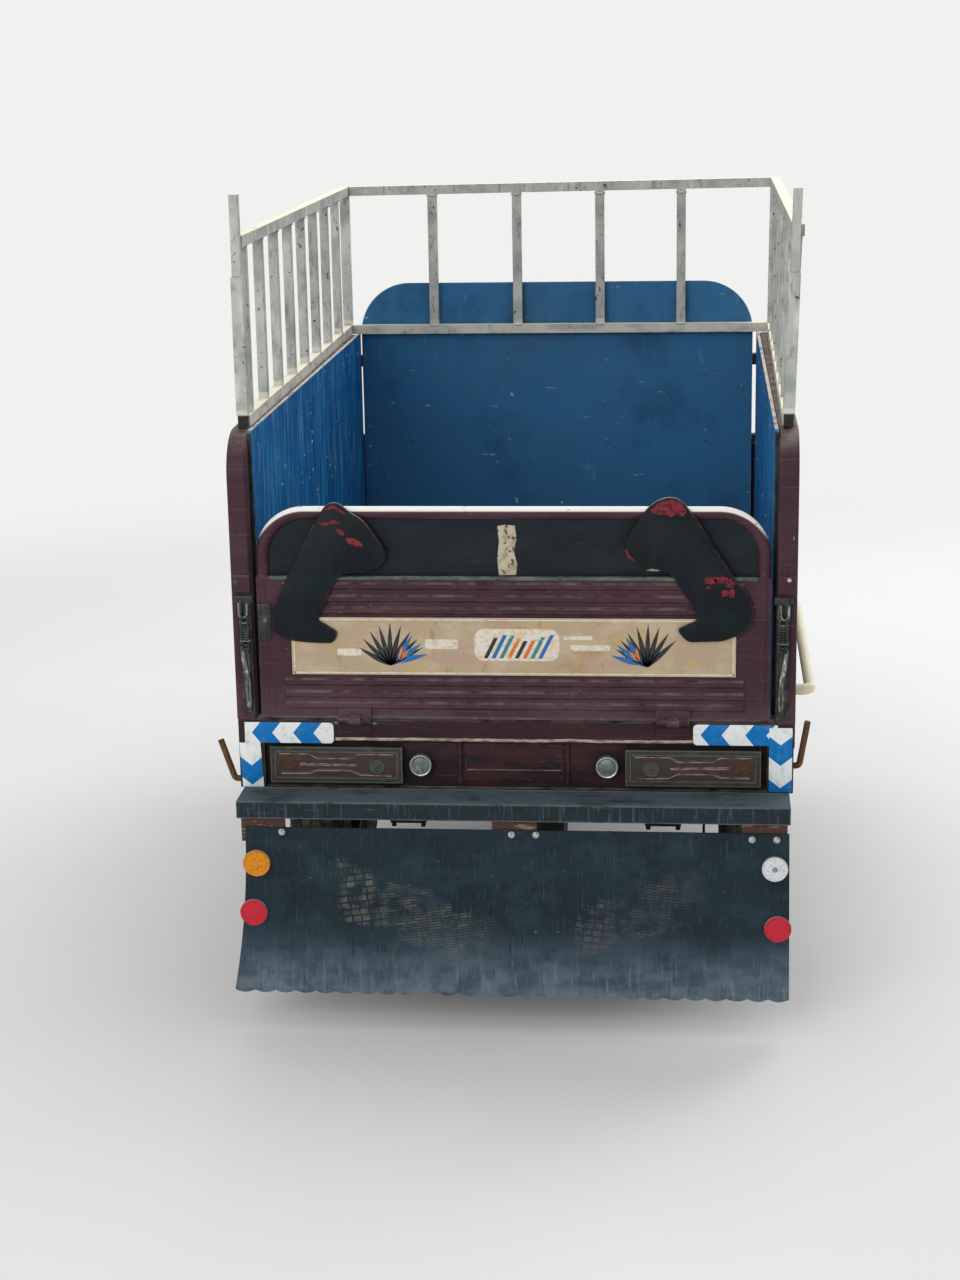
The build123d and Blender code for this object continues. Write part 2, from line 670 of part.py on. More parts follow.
def make_front_cage():
    """White rails and slats across the front, above the headboard's shoulder."""
    corners = [cage_corners(sign, outward, rise) for _, sign, outward, rise, _ in CAGE_SETS]
    left_foot, left_top = corners[0][2:]
    right_foot, right_top = corners[1][2:]
    end = Vector(CAGE_BAR / 2, 0, 0)
    with BuildPart() as cage:
        bar(left_foot - end, right_foot + end, CAGE_BAR, Plane.YZ)
        bar(left_top - end, right_top + end, CAGE_BAR, Plane.YZ)
        bar(left_foot, left_top, CAGE_BAR, Plane.XY)
        bar(right_foot, right_top, CAGE_BAR, Plane.XY)
        for slat_x in FRONT_SLATS_X:
            share = (slat_x - left_top.X) / (right_top.X - left_top.X)
            head = between(left_top, right_top, share)
            bar((head.X, left_foot.Y, left_foot.Z), head, CAGE_BAR, Plane.XY)
    finish(cage, "cage_front")


def make_cage_posts():
    """White rear posts, thinner above the step, on dark stubs on the side hoops."""
    middle = CAGE_OUTER - CAGE_BAR / 2
    sections = (
        (SIDE_TOP, SIDE_TOP + POST_STUB_HEIGHT, POST_STUB_SIZE),
        (SIDE_TOP + POST_STUB_HEIGHT, POST_STEP_Z, POST_LOWER_SIZE),
        (POST_STEP_Z, POST_TOP, POST_UPPER_SIZE),
    )  # bottom, top, size
    with BuildPart() as posts:
        for _, sign, _, _, (foot_out, top_out) in CAGE_SETS:
            foot = Vector(sign * (middle + foot_out), at(CAGE_REAR_AT), SIDE_TOP)
            top = Vector(sign * (middle + top_out), at(CAGE_REAR_AT), POST_TOP)
            for low, high, size in sections:
                shares = [(level - SIDE_TOP) / (POST_TOP - SIDE_TOP) for level in (low, high)]
                bar(between(foot, top, shares[0]), between(foot, top, shares[1]), size, Plane.XY)
    finish(posts, "cage_rear_posts")


def make_lamp_panel():
    """Stepped rear panel under the bed, with the blank plate recess between two ribs."""
    front = at(LAMP_PANEL_STEP + LAMP_SHEET)
    with BuildPart() as panel:
        block((-LAMP_PANEL_HALF, LAMP_PANEL_HALF), (at(LAMP_PANEL_STEP), front), (REAR_BEAM_BOTTOM, BAND_TOP))
        block((-LAMP_PANEL_HALF, LAMP_PANEL_HALF), (at(0), front), (LAMP_BAND_BOTTOM, BAND_TOP))
        block((-LAMP_PANEL_HALF, LAMP_PANEL_HALF), (at(0), front), (REAR_BEAM_BOTTOM, REAR_BEAM_BOTTOM + LAMP_SHEET))
        for _, sign in SIDES:
            ends = sorted((sign * (LAMP_PANEL_HALF - LAMP_END_WIDTH), sign * LAMP_PANEL_HALF))
            block(ends, (at(0), front), (REAR_BEAM_BOTTOM, BAND_TOP))
            rib = sorted((sign * PLATE_HALF_WIDTH, sign * (PLATE_HALF_WIDTH + PLATE_RIB_WIDTH)))
            block(rib, (at(LAMP_PANEL_STEP - PLATE_RIB_WIDTH), front), (PLATE_BOTTOM, LAMP_BAND_BOTTOM))
        pad = PLATE_HALF_WIDTH - PLATE_PAD_MARGIN
        block((-pad, pad), (at(LAMP_PANEL_STEP - PLATE_PAD_PROUD), front),
              (PLATE_BOTTOM + PLATE_PAD_MARGIN, LAMP_BAND_BOTTOM - PLATE_PAD_MARGIN))
    finish(panel, "lamp_panel")


def lens_relief(middle, way):
    """Add a tail lens's raised lines and its round boss, with the lamp's left end on the way side."""
    face = at(-LENS_PROUD)
    with BuildSketch(Plane.XZ.offset(-face)) as relief:
        for run in (LENS_TOP_RIDGE, LENS_LOW_RIDGE, LENS_MIDDLE_BAR):
            with BuildLine() as line:
                Polyline(*((middle + way * x, LAMP_Z + z) for x, z in run))
            trace(line.line, line_width=LENS_RELIEF_WIDTH)
        with Locations((middle + way * LENS_BOSS_X, LAMP_Z + LENS_BOSS_Z)):
            Circle(LENS_BOSS_RADIUS)
    extrude(relief.sketch, amount=LENS_RELIEF)


def make_lamps():
    """Rear lamp frames, their lenses and the two round lamps."""
    face = at(LAMP_PANEL_STEP)
    rows = (LAMP_Z - LAMP_HEIGHT / 2, LAMP_Z + LAMP_HEIGHT / 2)
    with BuildPart() as frames:
        for _, sign in SIDES:
            middle = sign * LAMP_X
            columns = (middle - LAMP_LENGTH / 2, middle + LAMP_LENGTH / 2)
            block(columns, (at(-LAMP_PROUD), face), rows)
            block((columns[0] + LAMP_FRAME, columns[1] - LAMP_FRAME), (at(-LAMP_PROUD), face - LAMP_SHEET),
                  (rows[0] + LAMP_FRAME, rows[1] - LAMP_FRAME), mode=Mode.SUBTRACT)
    finish(frames, "tail_lamp_frames")
    with BuildPart() as lenses:
        for _, sign in SIDES:
            middle = sign * LAMP_X
            half = LAMP_LENGTH / 2 - LAMP_FRAME - SEAT_CLEARANCE
            block((middle - half, middle + half), (at(-LENS_PROUD), face - LAMP_SHEET),
                  (rows[0] + LAMP_FRAME + SEAT_CLEARANCE, rows[1] - LAMP_FRAME - SEAT_CLEARANCE))
            lens_relief(middle, -sign)
    finish(lenses, "tail_lamp_lenses")
    with BuildPart() as rounds:
        for _, sign in SIDES:
            rod((sign * REVERSE_LAMP_X, at(-REVERSE_LAMP_PROUD), LAMP_Z), (sign * REVERSE_LAMP_X, face, LAMP_Z),
                REVERSE_LAMP_RADIUS)
    finish(rounds, "round_lamps")


def make_bumper():
    """Folded step bumper with its arms to the rails and the straps that hold the flap."""
    rear = at(-BUMPER_REAR)
    strap_face = at(-FLAP_REAR + FLAP_THICKNESS)
    arm_low = BUMPER_TOP - BUMPER_WALL - BUMPER_LIP / 2
    with BuildPart() as bumper:
        across = (-BUMPER_HALF_WIDTH, BUMPER_HALF_WIDTH)
        block(across, (rear, at(0)), (BUMPER_TOP - BUMPER_WALL, BUMPER_TOP))
        block(across, (rear, rear + BUMPER_WALL), (BUMPER_BOTTOM, BUMPER_TOP))
        block(across, (rear, rear + BUMPER_LIP), (BUMPER_BOTTOM, BUMPER_BOTTOM + BUMPER_WALL))
        for _, sign in SIDES:
            arm = sorted((sign * (BUMPER_ARM_X - BUMPER_ARM_WIDTH / 2), sign * (BUMPER_ARM_X + BUMPER_ARM_WIDTH / 2)))
            block(arm, (rear + BUMPER_LIP, at(REAR_BEAM_DEPTH * 2)), (arm_low, BUMPER_TOP - BUMPER_WALL))
            block(arm, (at(REAR_BEAM_DEPTH), at(REAR_BEAM_DEPTH * 2)), (arm_low, RAIL_BOTTOM))
        for strap_x in BUMPER_STRAPS_X:
            block((strap_x, strap_x + BUMPER_STRAP_WIDTH), (strap_face, strap_face + BUMPER_STRAP),
                  (FLAP_TOP - STRAP_OVERLAP, BUMPER_BOTTOM))
    finish(bumper, "bumper")


def make_mudflap():
    """Full-width rubber flap with a scalloped lower edge."""
    step = (FLAP_BOTTOM_RIGHT - FLAP_BOTTOM_LEFT) / FLAP_WAVES
    with BuildPart() as flap:
        with BuildSketch(Plane.XZ.offset(-at(-FLAP_REAR + FLAP_THICKNESS))) as outline:
            with BuildLine():
                Polyline((FLAP_BOTTOM_LEFT, FLAP_BOTTOM), (FLAP_TOP_LEFT, FLAP_TOP), (FLAP_TOP_RIGHT, FLAP_TOP),
                         (FLAP_BOTTOM_RIGHT, FLAP_BOTTOM))
                for wave in range(FLAP_WAVES):
                    start = FLAP_BOTTOM_RIGHT - wave * step
                    ThreePointArc((start, FLAP_BOTTOM), (start - step / 2, FLAP_BOTTOM - FLAP_WAVE_DEPTH),
                                  (start - step, FLAP_BOTTOM))
            make_face()
        extrude(outline.sketch, amount=FLAP_THICKNESS)
    finish(flap, "mudflap")


def make_reflectors():
    """Round reflectors on the flap."""
    with BuildPart() as reflectors:
        for x, z in REFLECTORS:
            rod((x, at(-REAR_OVERHANG), z), (x, at(-FLAP_REAR), z), REFLECTOR_RADIUS)
    finish(reflectors, "flap_reflectors")


def make_latches():
    """Lever latches on the rear faces of the pillars."""
    face = at(2)
    with BuildPart() as latches:
        for _, sign in SIDES:
            plate_rear = face - LATCH_PLATE
            middle = sign * LATCH_X
            block((middle - LATCH_WIDTH / 2, middle + LATCH_WIDTH / 2), (plate_rear, face), (LATCH_BOTTOM, LATCH_TOP))
            for low, high, width, thickness in (LATCH_LEVER, LATCH_BLOCK, LATCH_LOOP):
                block((middle - width / 2, middle + width / 2), (plate_rear - thickness, plate_rear), (low, high))
            low, high, width, thickness = LATCH_LOOP
            block((middle - width / 2 + LATCH_LOOP_WALL, middle + width / 2 - LATCH_LOOP_WALL),
                  (plate_rear - thickness, plate_rear), (low + LATCH_LOOP_WALL, high - LATCH_LOOP_WALL),
                  mode=Mode.SUBTRACT)
    finish(latches, "gate_latches")


def make_side_bar():
    """Cream tube along the right sill with both ends bent in to the side frame."""
    outer = SIDE_BAR_X
    inner = BED_INNER + BOARD_THICKNESS + PANEL_SHEET
    bend = SIDE_BAR_RADIUS + 8
    with BuildPart() as bar:
        tube(((inner, at(SIDE_BAR_FROM), SIDE_BAR_Z), (outer, at(SIDE_BAR_FROM), SIDE_BAR_Z),
              (outer, at(SIDE_BAR_TO), SIDE_BAR_Z), (inner, at(SIDE_BAR_TO), SIDE_BAR_Z)), bend, SIDE_BAR_RADIUS)
    finish(bar, "side_bar")


def make_rope_hooks():
    """Bent rods at the rear corners for the load's ropes."""
    with BuildPart() as hooks:
        for route in (LEFT_HOOK, RIGHT_HOOK):
            tube([(x, at(HOOK_AT), z) for x, z in route], (HOOK_RADIUS + 2,), HOOK_RADIUS)
    finish(hooks, "rope_hooks")


def make_hinge_brackets():
    """Fixed knuckles and pins of the tailgate hinges, on the panel's upper band."""
    with BuildPart() as brackets:
        for _, sign in SIDES:
            middle = sign * HINGE_X
            plate_top = HINGE_Z - KNUCKLE_RADIUS - 1
            block((middle - HINGE_HALF_LENGTH, middle + HINGE_HALF_LENGTH), (at(-LATCH_PLATE), at(0)),
                  (plate_top - HINGE_LEAF_HEIGHT, plate_top))
            for part in (-1, 1):
                low, high = sorted((middle + part * (HINGE_MIDDLE_HALF + HINGE_GAP), middle + part * HINGE_HALF_LENGTH))
                rod((low, HINGE_Y, HINGE_Z), (high, HINGE_Y, HINGE_Z), KNUCKLE_RADIUS)
                block((low, high), (at(-LATCH_PLATE), at(0)), (plate_top, HINGE_Z))
            rod((middle - HINGE_HALF_LENGTH, HINGE_Y, HINGE_Z), (middle + HINGE_HALF_LENGTH, HINGE_Y, HINGE_Z),
                HINGE_PIN_RADIUS)
    finish(brackets, "hinge_brackets")


def gate_rib(rib_z):
    """Add one tapered horizontal rib to the tailgate's outer face."""
    with BuildSketch(Plane.YZ.offset(-GATE_RIB_HALF_LENGTH)) as rib:
        with BuildLine():
            Polyline(
                (at(GATE_SHEET_FACE), rib_z - GATE_RIB_BASE / 2), (at(GATE_RIB_FACE), rib_z - GATE_RIB_CREST / 2),
                (at(GATE_RIB_FACE), rib_z + GATE_RIB_CREST / 2), (at(GATE_SHEET_FACE), rib_z + GATE_RIB_BASE / 2),
                close=True)
        make_face()
    extrude(rib.sketch, amount=2 * GATE_RIB_HALF_LENGTH)


def make_tailgate():
    """Ribbed tailgate with its tube hoop and the moving hinge leaves."""
    tube_y = at(GATE_TUBE_AT)
    leg_x = GATE_HALF_WIDTH - GATE_TUBE_RADIUS
    tube_top = GATE_TOP - GATE_TUBE_RADIUS
    leaf_low = HINGE_Z + KNUCKLE_RADIUS + 1
    with BuildPart() as gate:
        tube(((-leg_x, tube_y, GATE_BOTTOM), (-leg_x, tube_y, tube_top), (leg_x, tube_y, tube_top),
              (leg_x, tube_y, GATE_BOTTOM)), GATE_BEND - GATE_TUBE_RADIUS, GATE_TUBE_RADIUS)
        block((-GATE_HALF_WIDTH, GATE_HALF_WIDTH), (at(GATE_SHEET_FACE), at(GATE_SHEET_FACE + GATE_SHEET)),
              (GATE_BOTTOM, GATE_PANEL_TOP))
        block((-leg_x, leg_x), (tube_y - GATE_TUBE_RADIUS / 2, tube_y + GATE_TUBE_RADIUS / 2),
              (GATE_BOTTOM, GATE_BOTTOM + GATE_TUBE_RADIUS))
        for rib_z in GATE_RIBS_Z:
            gate_rib(rib_z)
        for _, sign in SIDES:
            middle = sign * HINGE_X
            leaf = (at(GATE_SHEET_FACE - HINGE_LEAF_THICKNESS), at(GATE_SHEET_FACE))
            block((middle - HINGE_HALF_LENGTH, middle + HINGE_HALF_LENGTH), leaf,
                  (leaf_low, leaf_low + HINGE_LEAF_HEIGHT))
            block((middle - HINGE_MIDDLE_HALF, middle + HINGE_MIDDLE_HALF), (HINGE_Y, at(-HINGE_TONGUE_INSET)),
                  (HINGE_Z, leaf_low + HINGE_LEAF_THICKNESS))
            rod((middle - HINGE_MIDDLE_HALF, HINGE_Y, HINGE_Z), (middle + HINGE_MIDDLE_HALF, HINGE_Y, HINGE_Z),
                KNUCKLE_RADIUS)
            rod((middle - HINGE_HALF_LENGTH, HINGE_Y, HINGE_Z), (middle + HINGE_HALF_LENGTH, HINGE_Y, HINGE_Z),
                HINGE_PIN_RADIUS + RUNNING_CLEARANCE, mode=Mode.SUBTRACT)
    finish(gate, "tailgate_panel")


def make_gate_inset():
    """Black inset sheet that fills the hoop above the ribbed panel."""
    tube_y = at(GATE_TUBE_AT)
    inner_radius = GATE_BEND - 2 * GATE_TUBE_RADIUS
    half = GATE_HALF_WIDTH - 2 * GATE_TUBE_RADIUS
    top = GATE_TOP - 2 * GATE_TUBE_RADIUS
    with BuildPart() as inset:
        with BuildSketch(Plane.XZ.offset(-(tube_y + INSET_THICKNESS / 2))) as outline:
            with Locations((0, (top + GATE_PANEL_TOP) / 2)):
                Rectangle(2 * half, top - GATE_PANEL_TOP)
            fillet(outline.vertices().group_by(Axis.Y)[-1], inner_radius)
        extrude(outline.sketch, amount=INSET_THICKNESS)
    finish(inset, "tailgate_inset")


def make_sign_board():
    """Cream sign board on the tailgate between the rib groups."""
    with BuildPart() as sign:
        block((-SIGN_HALF_WIDTH, SIGN_HALF_WIDTH), (at(GATE_SIGN_FACE), at(GATE_SHEET_FACE)), (SIGN_BOTTOM, SIGN_TOP))
    finish(sign, "sign_board")


def make_horse_heads():
    """Two horse-head cut-outs on the tailgate, nose towards the middle."""
    face = at(GATE_RIB_FACE)
    with BuildPart() as heads:
        for _, sign in SIDES:
            with BuildSketch(Plane.XZ.offset(-face)) as outline:
                crown, brow, mane, chest, base, throat, jaw, nose, (brow_start,) = (
                    [(sign * x, z) for x, z in run]
                    for run in (HEAD_CROWN, HEAD_BROW, HEAD_MANE, HEAD_CHEST, HEAD_BASE, HEAD_THROAT, HEAD_JAW,
                                HEAD_NOSE, (HEAD_FACE,))
                )
                with BuildLine():
                    Line(*crown)
                    ThreePointArc(crown[-1], *brow)
                    Polyline(brow[-1], *mane)
                    ThreePointArc(mane[-1], *chest)
                    Polyline(chest[-1], *base)
                    ThreePointArc(base[-1], *throat)
                    Polyline(throat[-1], *jaw)
                    ThreePointArc(jaw[-1], *nose)
                    Polyline(nose[-1], brow_start, crown[0])
                make_face()
            extrude(outline.sketch, amount=HEAD_THICKNESS)
    finish(heads, "horse_heads")


def make_springs():
    """Two leaf packs with their eyes, hangers and axle U-bolts."""
    half_span = SPRING_SPAN / 2
    radius = (half_span ** 2 + SPRING_SAG ** 2) / (2 * SPRING_SAG)
    pack_bottom = TYRE_RADIUS + AXLE_TUBE_RADIUS + SPRING_PAD
    leaf_top = pack_bottom + len(LEAF_LENGTHS) * LEAF_THICKNESS
    centre_z = leaf_top + radius
    eye_z = centre_z - sqrt(radius ** 2 - half_span ** 2) + LEAF_THICKNESS
    with BuildPart() as springs:
        for _, sign in SIDES:
            inner = sign * RAIL_X - SPRING_WIDTH / 2
            for number, length in enumerate(LEAF_LENGTHS):
                with BuildSketch(Plane.YZ.offset(inner)) as leaf:
                    with Locations((REAR_AXLE_Y, centre_z)):
                        Circle(radius + LEAF_THICKNESS * (number + 1))
                        Circle(radius, mode=Mode.SUBTRACT)
                    with Locations((REAR_AXLE_Y, leaf_top)):
                        Rectangle(length, radius, mode=Mode.INTERSECT)
                extrude(leaf.sketch, amount=SPRING_WIDTH)
            for end in (-1, 1):
                eye_y = REAR_AXLE_Y + end * half_span
                rod((inner, eye_y, eye_z), (inner + SPRING_WIDTH, eye_y, eye_z), SPRING_EYE_RADIUS)
                middle = sign * RAIL_X
                block((middle - HANGER_WIDTH / 2, middle + HANGER_WIDTH / 2),
                      (eye_y - SPRING_EYE_RADIUS / 2, eye_y + SPRING_EYE_RADIUS / 2), (eye_z, RAIL_BOTTOM))
                for bolt in (-1, 1):
                    bolt_x = middle + bolt * (SPRING_WIDTH / 2 + U_BOLT_RADIUS + U_BOLT_GAP)
                    bolt_y = REAR_AXLE_Y + end * U_BOLT_REACH
                    rod((bolt_x, bolt_y, TYRE_RADIUS - AXLE_TUBE_RADIUS - 2 * U_BOLT_PLATE),
                        (bolt_x, bolt_y, leaf_top + 2 * U_BOLT_PLATE), U_BOLT_RADIUS)
            plate_top = TYRE_RADIUS - AXLE_TUBE_RADIUS
            margin = 2 * U_BOLT_RADIUS + 3 * U_BOLT_GAP
            across = (inner - margin, inner + SPRING_WIDTH + margin)
            reach = U_BOLT_REACH + margin / 2
            along = (REAR_AXLE_Y - reach, REAR_AXLE_Y + reach)
            block(across, along, (plate_top - U_BOLT_PLATE, plate_top))
            block(across, along, (leaf_top - U_BOLT_GAP, leaf_top + U_BOLT_PLATE))
    finish(springs, "leaf_springs")


def make_rear_axle():
    """Axle tube, differential, brake backplates and wheel spindles."""
    hub_outer = WHEEL_TRACK / 2 + RIM_HALF_WIDTH
    with BuildPart() as axle:
        rod((-AXLE_TUBE_HALF, REAR_AXLE_Y, TYRE_RADIUS), (AXLE_TUBE_HALF, REAR_AXLE_Y, TYRE_RADIUS), AXLE_TUBE_RADIUS)
        rod((-DIFF_WIDTH / 2, REAR_AXLE_Y, TYRE_RADIUS), (DIFF_WIDTH / 2, REAR_AXLE_Y, TYRE_RADIUS), DIFF_RADIUS)
        rod((0, REAR_AXLE_Y, TYRE_RADIUS), (0, REAR_AXLE_Y + DIFF_RADIUS + DIFF_NOSE_LENGTH, TYRE_RADIUS),
            DIFF_NOSE_RADIUS)
        for _, sign in SIDES:
            outer = sign * AXLE_TUBE_HALF
            rod((outer - sign * BACKPLATE_THICKNESS, REAR_AXLE_Y, TYRE_RADIUS), (outer, REAR_AXLE_Y, TYRE_RADIUS),
                BACKPLATE_RADIUS)
            rod((outer, REAR_AXLE_Y, TYRE_RADIUS), (sign * hub_outer, REAR_AXLE_Y, TYRE_RADIUS), SPINDLE_RADIUS)
            middle = sign * RAIL_X
            block((middle - SPRING_WIDTH / 2, middle + SPRING_WIDTH / 2),
                  (REAR_AXLE_Y - AXLE_TUBE_RADIUS, REAR_AXLE_Y + AXLE_TUBE_RADIUS),
                  (TYRE_RADIUS, TYRE_RADIUS + AXLE_TUBE_RADIUS + SPRING_PAD))
    finish(axle, "rear_axle")


def make_propshaft():
    """Shaft from the gearbox to the differential, with a joint at each end."""
    rear = Vector(0, REAR_AXLE_Y + DIFF_RADIUS + DIFF_NOSE_LENGTH, TYRE_RADIUS)
    front = Vector(0, at(ENGINE_AT - ENGINE_LENGTH / 2 - SHAFT_JOINT_LENGTH / 2), CRADLE_Z + SIDE_COVER_RADIUS)
    run = (front - rear).normalized()
    with BuildPart() as shaft:
        rod(rear, rear + Vector(0, SHAFT_JOINT_LENGTH, 0), SHAFT_JOINT_RADIUS)
        rod(front - Vector(0, SHAFT_JOINT_LENGTH / 2, 0), front + Vector(0, SHAFT_JOINT_LENGTH / 2, 0),
            SHAFT_JOINT_RADIUS)
        rod(rear + run * SHAFT_JOINT_LENGTH / 2, front, SHAFT_RADIUS)
    finish(shaft, "propshaft")


def make_engine():
    """Single-cylinder engine: crankcase, side covers, finned cylinder, carburettor and kick lever."""
    low = CRADLE_Z + CRADLE_RADIUS
    middle = at(ENGINE_AT)
    half = ENGINE_LENGTH / 2
    crank_z = low + SIDE_COVER_RADIUS
    core_half = ENGINE_HALF_WIDTH - SIDE_COVER_DEPTH
    barrel = Plane(origin=(0, middle, CRANKCASE_TOP), x_dir=(1, 0, 0),
                   z_dir=(0, sin(radians(CYLINDER_LEAN)), cos(radians(CYLINDER_LEAN))))
    stack = FIN_PITCH * (FINS + 1)
    port = barrel.from_local_coords((0, 0, stack / 2))
    with BuildPart() as engine:
        block((-core_half, core_half), (middle - half, middle + half), (low, CRANKCASE_TOP))
        rod((-ENGINE_HALF_WIDTH, middle + half / 4, crank_z), (ENGINE_HALF_WIDTH, middle + half / 4, crank_z),
            SIDE_COVER_RADIUS)
        with BuildSketch(barrel.offset(-FIN_PITCH)) as bore:
            Circle(CYLINDER_RADIUS)
        extrude(bore.sketch, amount=stack + FIN_PITCH)
        for number in range(1, FINS + 1):
            with BuildSketch(barrel.offset(number * FIN_PITCH)) as fin:
                RectangleRounded(FIN_SIZE, FIN_SIZE, FIN_PITCH)
            extrude(fin.sketch, amount=FIN_THICKNESS)
        with BuildSketch(barrel.offset(stack)) as cover:
            RectangleRounded(HEAD_COVER_SIZE, HEAD_COVER_SIZE, FIN_PITCH)
        extrude(cover.sketch, amount=HEAD_COVER_HEIGHT)
        rod(port, port + Vector(FIN_SIZE / 2 + EXHAUST_PORT_LENGTH, 0, 0), EXHAUST_PORT_RADIUS)
        intake = port - Vector(0, FIN_SIZE / 2 + INTAKE_REACH, 0)
        rod(port, intake, INTAKE_RADIUS)
        rod(intake - Vector(0, 0, CARBURETTOR_HEIGHT / 2), intake + Vector(0, 0, CARBURETTOR_HEIGHT / 2),
            CARBURETTOR_RADIUS)
        shaft = Vector(ENGINE_HALF_WIDTH - KICK_RADIUS, middle + half / 4, crank_z)
        knee = Vector(KICK_X, shaft.Y, shaft.Z)
        toe = knee + Vector(0, -KICK_BACK, KICK_RISE)
        rod(shaft, knee + Vector(2 * KICK_RADIUS, 0, 0), 2 * KICK_RADIUS)
        tube((knee, toe, toe + Vector(KICK_PEDAL_REACH, 0, 0)), KICK_RADIUS + 2, KICK_RADIUS)
    finish(engine, "engine")


def make_exhaust():
    """Exhaust pipe from the cylinder's right side, down beside the cradle and back to the muffler."""
    port_up = FIN_PITCH * (FINS + 1) / 2
    port_x = FIN_SIZE / 2 + EXHAUST_PORT_LENGTH
    port_y = at(ENGINE_AT) + port_up * sin(radians(CYLINDER_LEAN))
    port_z = CRANKCASE_TOP + port_up * cos(radians(CYLINDER_LEAN))
    muffler_front = at(MUFFLER_REAR_AT + MUFFLER_LENGTH)
    bend = 2.4 * EXHAUST_RADIUS
    with BuildPart() as exhaust:
        tube(
            (
                (port_x, port_y, port_z),
                (EXHAUST_X, port_y, port_z),
                (EXHAUST_X, port_y, EXHAUST_Z),
                (EXHAUST_X, muffler_front - EXHAUST_RADIUS, EXHAUST_Z),
            ),
            bend,
            EXHAUST_RADIUS,
        )
        muffler_rear = at(MUFFLER_REAR_AT)
        rod((EXHAUST_X, muffler_rear, EXHAUST_Z), (EXHAUST_X, muffler_front, EXHAUST_Z), MUFFLER_RADIUS)
        rod((EXHAUST_X, muffler_rear - TAILPIPE_REACH, EXHAUST_Z), (EXHAUST_X, muffler_rear, EXHAUST_Z),
            TAILPIPE_RADIUS)
        for band in (muffler_rear, (muffler_rear + muffler_front - MUFFLER_BAND) / 2, muffler_front - MUFFLER_BAND):
            rod((EXHAUST_X, band, EXHAUST_Z), (EXHAUST_X, band + MUFFLER_BAND, EXHAUST_Z),
                MUFFLER_RADIUS + MUFFLER_BAND_PROUD)
    finish(exhaust, "exhaust")


def make_tank():
    """Fuel tank on the backbone, with its filler cap."""
    low = BACKBONE_Z + BACKBONE_RADIUS
    with BuildPart() as tank:
        block((-TANK_HALF_WIDTH, TANK_HALF_WIDTH), (at(TANK_REAR_AT), at(TANK_FRONT_AT)), (low, low + TANK_HEIGHT))
        fillet(tank.edges().filter_by(Axis.Y).group_by(Axis.Z)[-1], TANK_ROUND)
        fillet(tank.edges().group_by(Axis.Z)[-1], TANK_ROUND / 2)
        middle = at((TANK_REAR_AT + TANK_FRONT_AT) / 2)
        rod((0, middle, low + TANK_HEIGHT - FLOOR_SHEET), (0, middle, low + TANK_HEIGHT + TANK_CAP_HEIGHT),
            TANK_CAP_RADIUS)
    finish(tank, "fuel_tank")


def make_seat():
    """Seat box on the chassis ties and the driver's cushion on it."""
    with BuildPart() as box:
        block((-SEAT_BOX_HALF_WIDTH, SEAT_BOX_HALF_WIDTH), (at(SEAT_BOX_REAR_AT), at(SEAT_BOX_FRONT_AT)),
              (CROSSBEAM_BOTTOM, SEAT_BOX_TOP))
    finish(box, "seat_box")
    with BuildPart() as cushion:
        block((-CUSHION_HALF_WIDTH, CUSHION_HALF_WIDTH), (at(SEAT_BOX_REAR_AT), at(SEAT_BOX_FRONT_AT)),
              (SEAT_BOX_TOP + SEAT_CLEARANCE, SEAT_BOX_TOP + CUSHION_THICKNESS))
        fillet(cushion.edges().group_by(Axis.Z)[-1], CUSHION_ROUND)
    finish(cushion, "seat_cushion")


def steer_point(across, forward, up):
    """Return the world point of a place in the steering frame."""
    return STEERING.from_local_coords((across, forward, up))


def make_fork():
    """Fork legs, stanchions, clamps, steering stem and the gauge on the upper clamp."""
    with BuildPart() as fork:
        for _, sign in SIDES:
            leg = sign * FORK_X
            rod(steer_point(leg, FORK_OFFSET, FORK_LEG_BOTTOM), steer_point(leg, FORK_OFFSET, FORK_LEG_TOP),
                FORK_LEG_RADIUS)
            rod(steer_point(leg, FORK_OFFSET, FORK_LEG_TOP), steer_point(leg, FORK_OFFSET, STANCHION_TOP),
                STANCHION_RADIUS)
        for low, high in (LOWER_CLAMP, UPPER_CLAMP):
            with BuildSketch(STEERING.offset(low)) as clamp:
                with Locations((-FORK_X, FORK_OFFSET), (FORK_X, FORK_OFFSET)):
                    Circle(STANCHION_RADIUS + CLAMP_MARGIN)
                Circle(HEAD_TUBE_RADIUS)
                make_hull()
            extrude(clamp.sketch, amount=high - low)
        rod(steer_point(0, 0, LOWER_CLAMP[0]), steer_point(0, 0, STEM_TOP), STEM_RADIUS)
        rod(steer_point(0, GAUGE_FORWARD, UPPER_CLAMP[0]), steer_point(0, GAUGE_FORWARD, UPPER_CLAMP[1] + GAUGE_HEIGHT),
            GAUGE_RADIUS)
        rod((-FORK_X - FORK_LEG_RADIUS, FRONT_AXLE_Y, TYRE_RADIUS), (FORK_X + FORK_LEG_RADIUS, FRONT_AXLE_Y, TYRE_RADIUS),
            FRONT_SPINDLE_RADIUS + RUNNING_CLEARANCE, mode=Mode.SUBTRACT)
    finish(fork, "front_fork")


